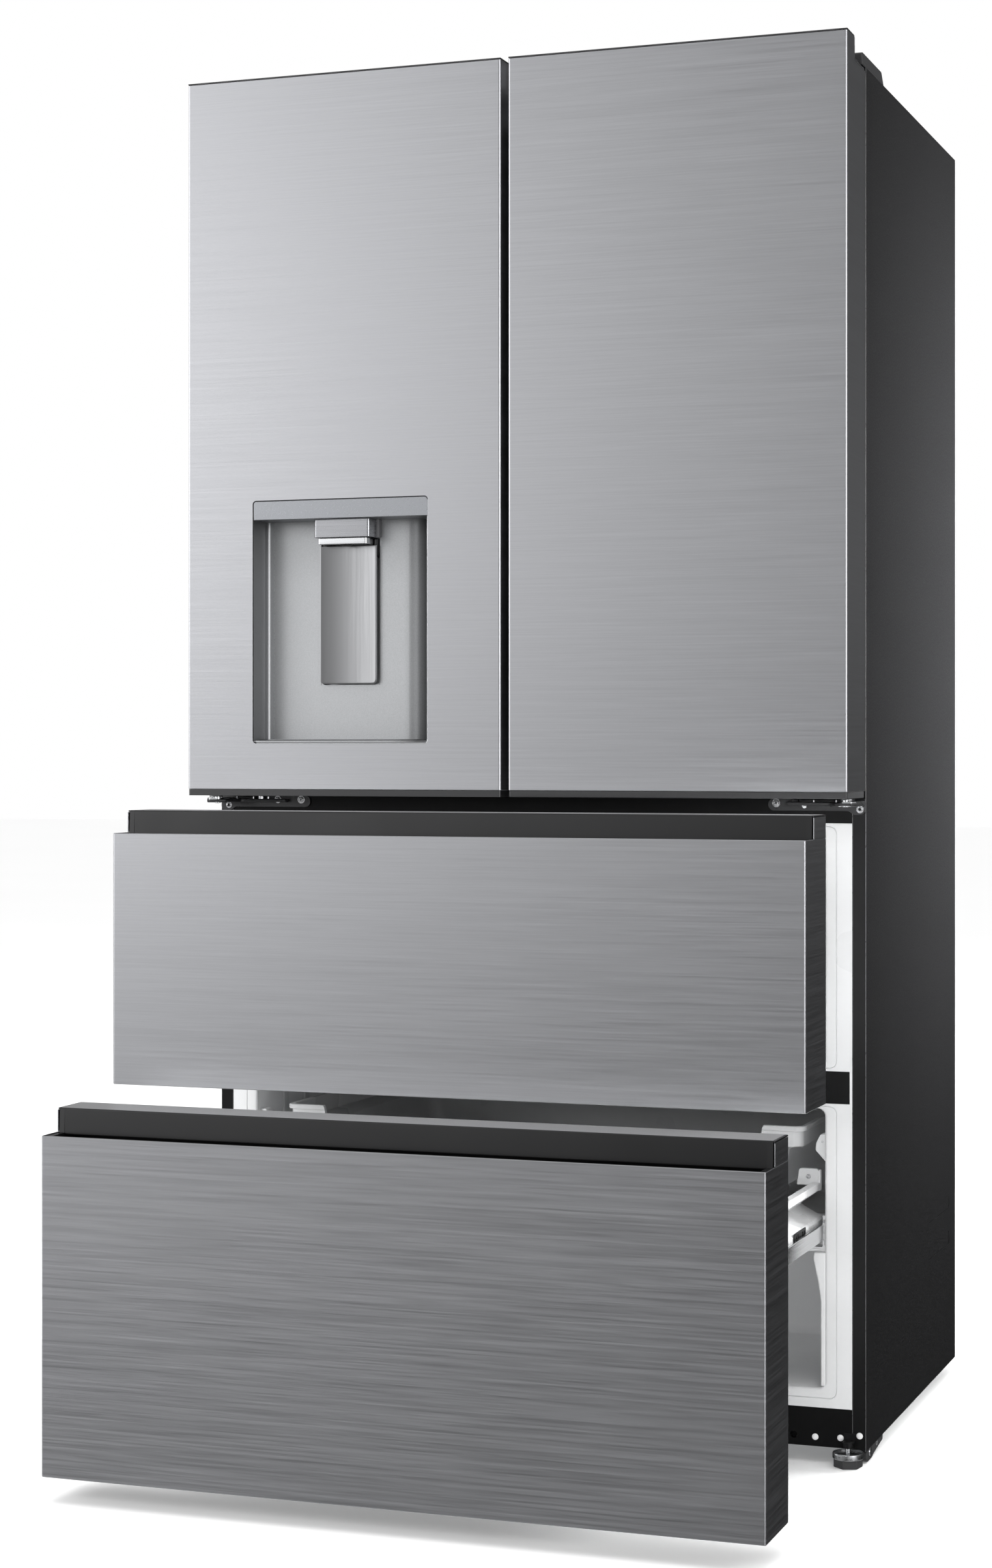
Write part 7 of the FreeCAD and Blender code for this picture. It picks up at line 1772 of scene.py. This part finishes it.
bent([(200.0, 650.0, 166.0), (200.0, 650.0, 200.0), (200.0, 684.0, 214.0), (20.0, 684.0, 214.0), (-60.0, 684.0, 222.0), (-202.0, 684.0, 222.0), (-202.0, 612.0, 204.0)], 3.2, 16.0)
bent([(196.0, 530.0, 140.0), (180.0, 512.0, 150.0), (180.0, 500.0, 236.0), (-150.0, 500.0, 240.0), (-384.0, 520.0, 236.0), (-384.0, 568.0, 200.0)], 3.2, 18.0)
bent([(170.0, 622.0, 120.0), (150.0, 640.0, 128.0), (142.0, 650.0, 240.0), (142.0, 700.0, 252.0)], 4.2, 14.0)
s.lathe("x", (0.0, 684.0, 214.0), [(0.0, 60.0), (4.0, 60.0), (9.0, 66.0), (9.6, 72.0), (9.6, 126.0), (9.0, 132.0), (4.0, 138.0), (0.0, 138.0)], 0, 28)
s.make("refrigerant_pipes", "cabinet", "coil_metal", M["copper"], angle=35)


# ---------------------------------------------------------------- stage

cam_data = bpy.data.cameras.new("camera")
cam_data.lens = 65.88
cam_data.sensor_width = 36.0
cam_data.shift_x = 0.0
cam_data.shift_y = -0.0212
cam_data.clip_start, cam_data.clip_end = 0.05, 100.0
cam = bpy.data.objects.new("camera", cam_data)
cam.location = (1.22026, -3.60171, 0.900)
cam.rotation_euler = (math.radians(90.0), 0.0, 0.343)
bpy.context.scene.collection.objects.link(cam)
bpy.context.scene.camera = cam


def area(name, loc, at, size, power, color=(1, 1, 1), glossy=True, size_y=None, spread=None):
    d = bpy.data.lights.new(name, "AREA")
    d.energy = power
    d.color = color
    d.shape = "RECTANGLE" if size_y else "SQUARE"
    d.size = size
    if size_y:
        d.size_y = size_y
    o = bpy.data.objects.new(name, d)
    o.location = loc
    o.rotation_mode = "QUATERNION"
    o.rotation_quaternion = (Vector(at) - Vector(loc)).to_track_quat("-Z", "Y")
    o.visible_glossy = glossy
    o.visible_camera = False
    if spread:
        d.spread = math.radians(spread)
    bpy.context.scene.collection.objects.link(o)
    return o


area("top_box", (0.0, -0.8, 4.6), (0.0, 0.0, 0.0), 4.5, 120, glossy=False)
area("front_box", (-2.4, -5.2, 2.4), (0.0, 0.0, 0.9), 2.6, 190, glossy=False)
area("rear_box", (2.6, 4.6, 3.0), (0.2, 0.2, 0.9), 2.6, 50, glossy=False)
area("fill_box", (1.5, -4.6, 0.95), (0.0, 0.1, 0.6), 2.2, 26, glossy=False)
area("side_box", (1.3, 1.15, 1.15), (0.445, 0.6, 1.1), 1.1, 40, glossy=False, spread=75.0)

world = bpy.data.worlds.new("studio")
bpy.context.scene.world = world
world.use_nodes = True
wt = world.node_tree
wt.nodes.clear()
tc = wt.nodes.new("ShaderNodeTexCoord")


def wmath(op, a, b=None, clamp=False):
    n = wt.nodes.new("ShaderNodeMath")
    n.operation = op
    n.use_clamp = clamp
    for sock, val in zip(n.inputs, (a, b)):
        if val is None:
            continue
        if isinstance(val, (int, float)):
            sock.default_value = val
        else:
            wt.links.new(val, sock)
    return n.outputs[0]


def lobe(az, el, power, strength):
    """A soft glow of light round a direction; az is measured from the front (-Y) towards the left (-X)."""
    a, e = math.radians(az), math.radians(el)
    d = (-math.sin(a) * math.cos(e), -math.cos(a) * math.cos(e), math.sin(e))
    n = wt.nodes.new("ShaderNodeVectorMath")
    n.operation = "DOT_PRODUCT"
    wt.links.new(tc.outputs["Generated"], n.inputs[0])
    n.inputs[1].default_value = d
    c = wmath("MAXIMUM", n.outputs["Value"], 0.0)
    return wmath("MULTIPLY", wmath("POWER", c, power), strength)


# side light as seen by height: dark near the floor, brightest just above the horizon
sep = wt.nodes.new("ShaderNodeSeparateXYZ")
wt.links.new(tc.outputs["Generated"], sep.inputs[0])
height = wt.nodes.new("ShaderNodeValToRGB")
stops = ((0.30, 0.006), (0.38, 0.006), (0.43, 0.01), (0.465, 0.09), (0.50, 0.64), (0.525, 0.97), (0.55, 1.0), (0.60, 0.5), (1.0, 0.34))
el = height.color_ramp.elements
while len(el) < len(stops):
    el.new(0.5)
for e, (pos, val) in zip(el, stops):
    e.position = pos
    e.color = (val, val, val, 1.0)
wt.links.new(wmath("ADD", wmath("MULTIPLY", sep.outputs["Z"], 0.5), 0.5), height.inputs["Fac"])
side_glow = wmath("MINIMUM", lobe(62, 0, 8.5, 13.0), 3.1)
for args in ((-52, 0, 14.0, 6.0), (-17, 0, 44.0, 1.2), (-150, 0, 5.0, 0.06), (150, 0, 16.0, 0.7)):
    side_glow = wmath("ADD", side_glow, lobe(*args))
side_glow = wmath("ADD", side_glow, 0.05)
glow = wmath("ADD", wmath("MULTIPLY", side_glow, height.outputs["Color"]), lobe(0, 90, 3.0, 0.6))
# the pale floor as the metal mirrors it from steeper views
sweep = wmath("MULTIPLY", wmath("SUBTRACT", -0.33, sep.outputs["Z"]), 6.0, True)
glow = wmath("ADD", glow, wmath("MULTIPLY", sweep, 0.42))
lp = wt.nodes.new("ShaderNodeLightPath")
soft = wt.nodes.new("ShaderNodeBackground")
soft.inputs["Color"].default_value = (1.0, 1.0, 1.0, 1.0)
soft.inputs["Strength"].default_value = 0.95
seen = wt.nodes.new("ShaderNodeBackground")
seen.inputs["Color"].default_value = (1.0, 1.0, 1.0, 1.0)
seen.inputs["Strength"].default_value = 1.0
refl = wt.nodes.new("ShaderNodeBackground")
refl.inputs["Color"].default_value = (1.0, 1.0, 1.01, 1.0)
wt.links.new(glow, refl.inputs["Strength"])
mix1 = wt.nodes.new("ShaderNodeMixShader")
wt.links.new(lp.outputs["Is Glossy Ray"], mix1.inputs[0])
wt.links.new(soft.outputs[0], mix1.inputs[1])
wt.links.new(refl.outputs[0], mix1.inputs[2])
mix2 = wt.nodes.new("ShaderNodeMixShader")
wt.links.new(lp.outputs["Is Camera Ray"], mix2.inputs[0])
wt.links.new(mix1.outputs[0], mix2.inputs[1])
wt.links.new(seen.outputs[0], mix2.inputs[2])
out = wt.nodes.new("ShaderNodeOutputWorld")
wt.links.new(mix2.outputs[0], out.inputs["Surface"])

floor_mat = Mat("studio_floor", (0.96, 0.96, 0.96), 0.7)
g = floor_mat.noise(0.7, 2.0, 0.5)
floor_mat.vary(g, 0.01)
floor_mat.b.inputs["Emission Color"].default_value = (1.0, 1.0, 1.0, 1.0)
floor_mat.b.inputs["Emission Strength"].default_value = 0.13
bm = bmesh.new()
bmesh.ops.create_grid(bm, x_segments=8, y_segments=8, size=30.0)
me = bpy.data.meshes.new("floor")
bm.to_mesh(me)
bm.free()
me.materials.append(floor_mat.m)
floor = bpy.data.objects.new("floor", me)
bpy.context.scene.collection.objects.link(floor)
floor.visible_glossy = False
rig.stage(floor)

bpy.context.scene.view_settings.view_transform = "Standard"
bpy.context.scene.view_settings.look = "None"

lo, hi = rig.bounds()
with open("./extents.json", "w") as fh:
    json.dump({"cad": [list(cad_lo), list(cad_hi)], "visual": [list(lo), list(hi)]}, fh)
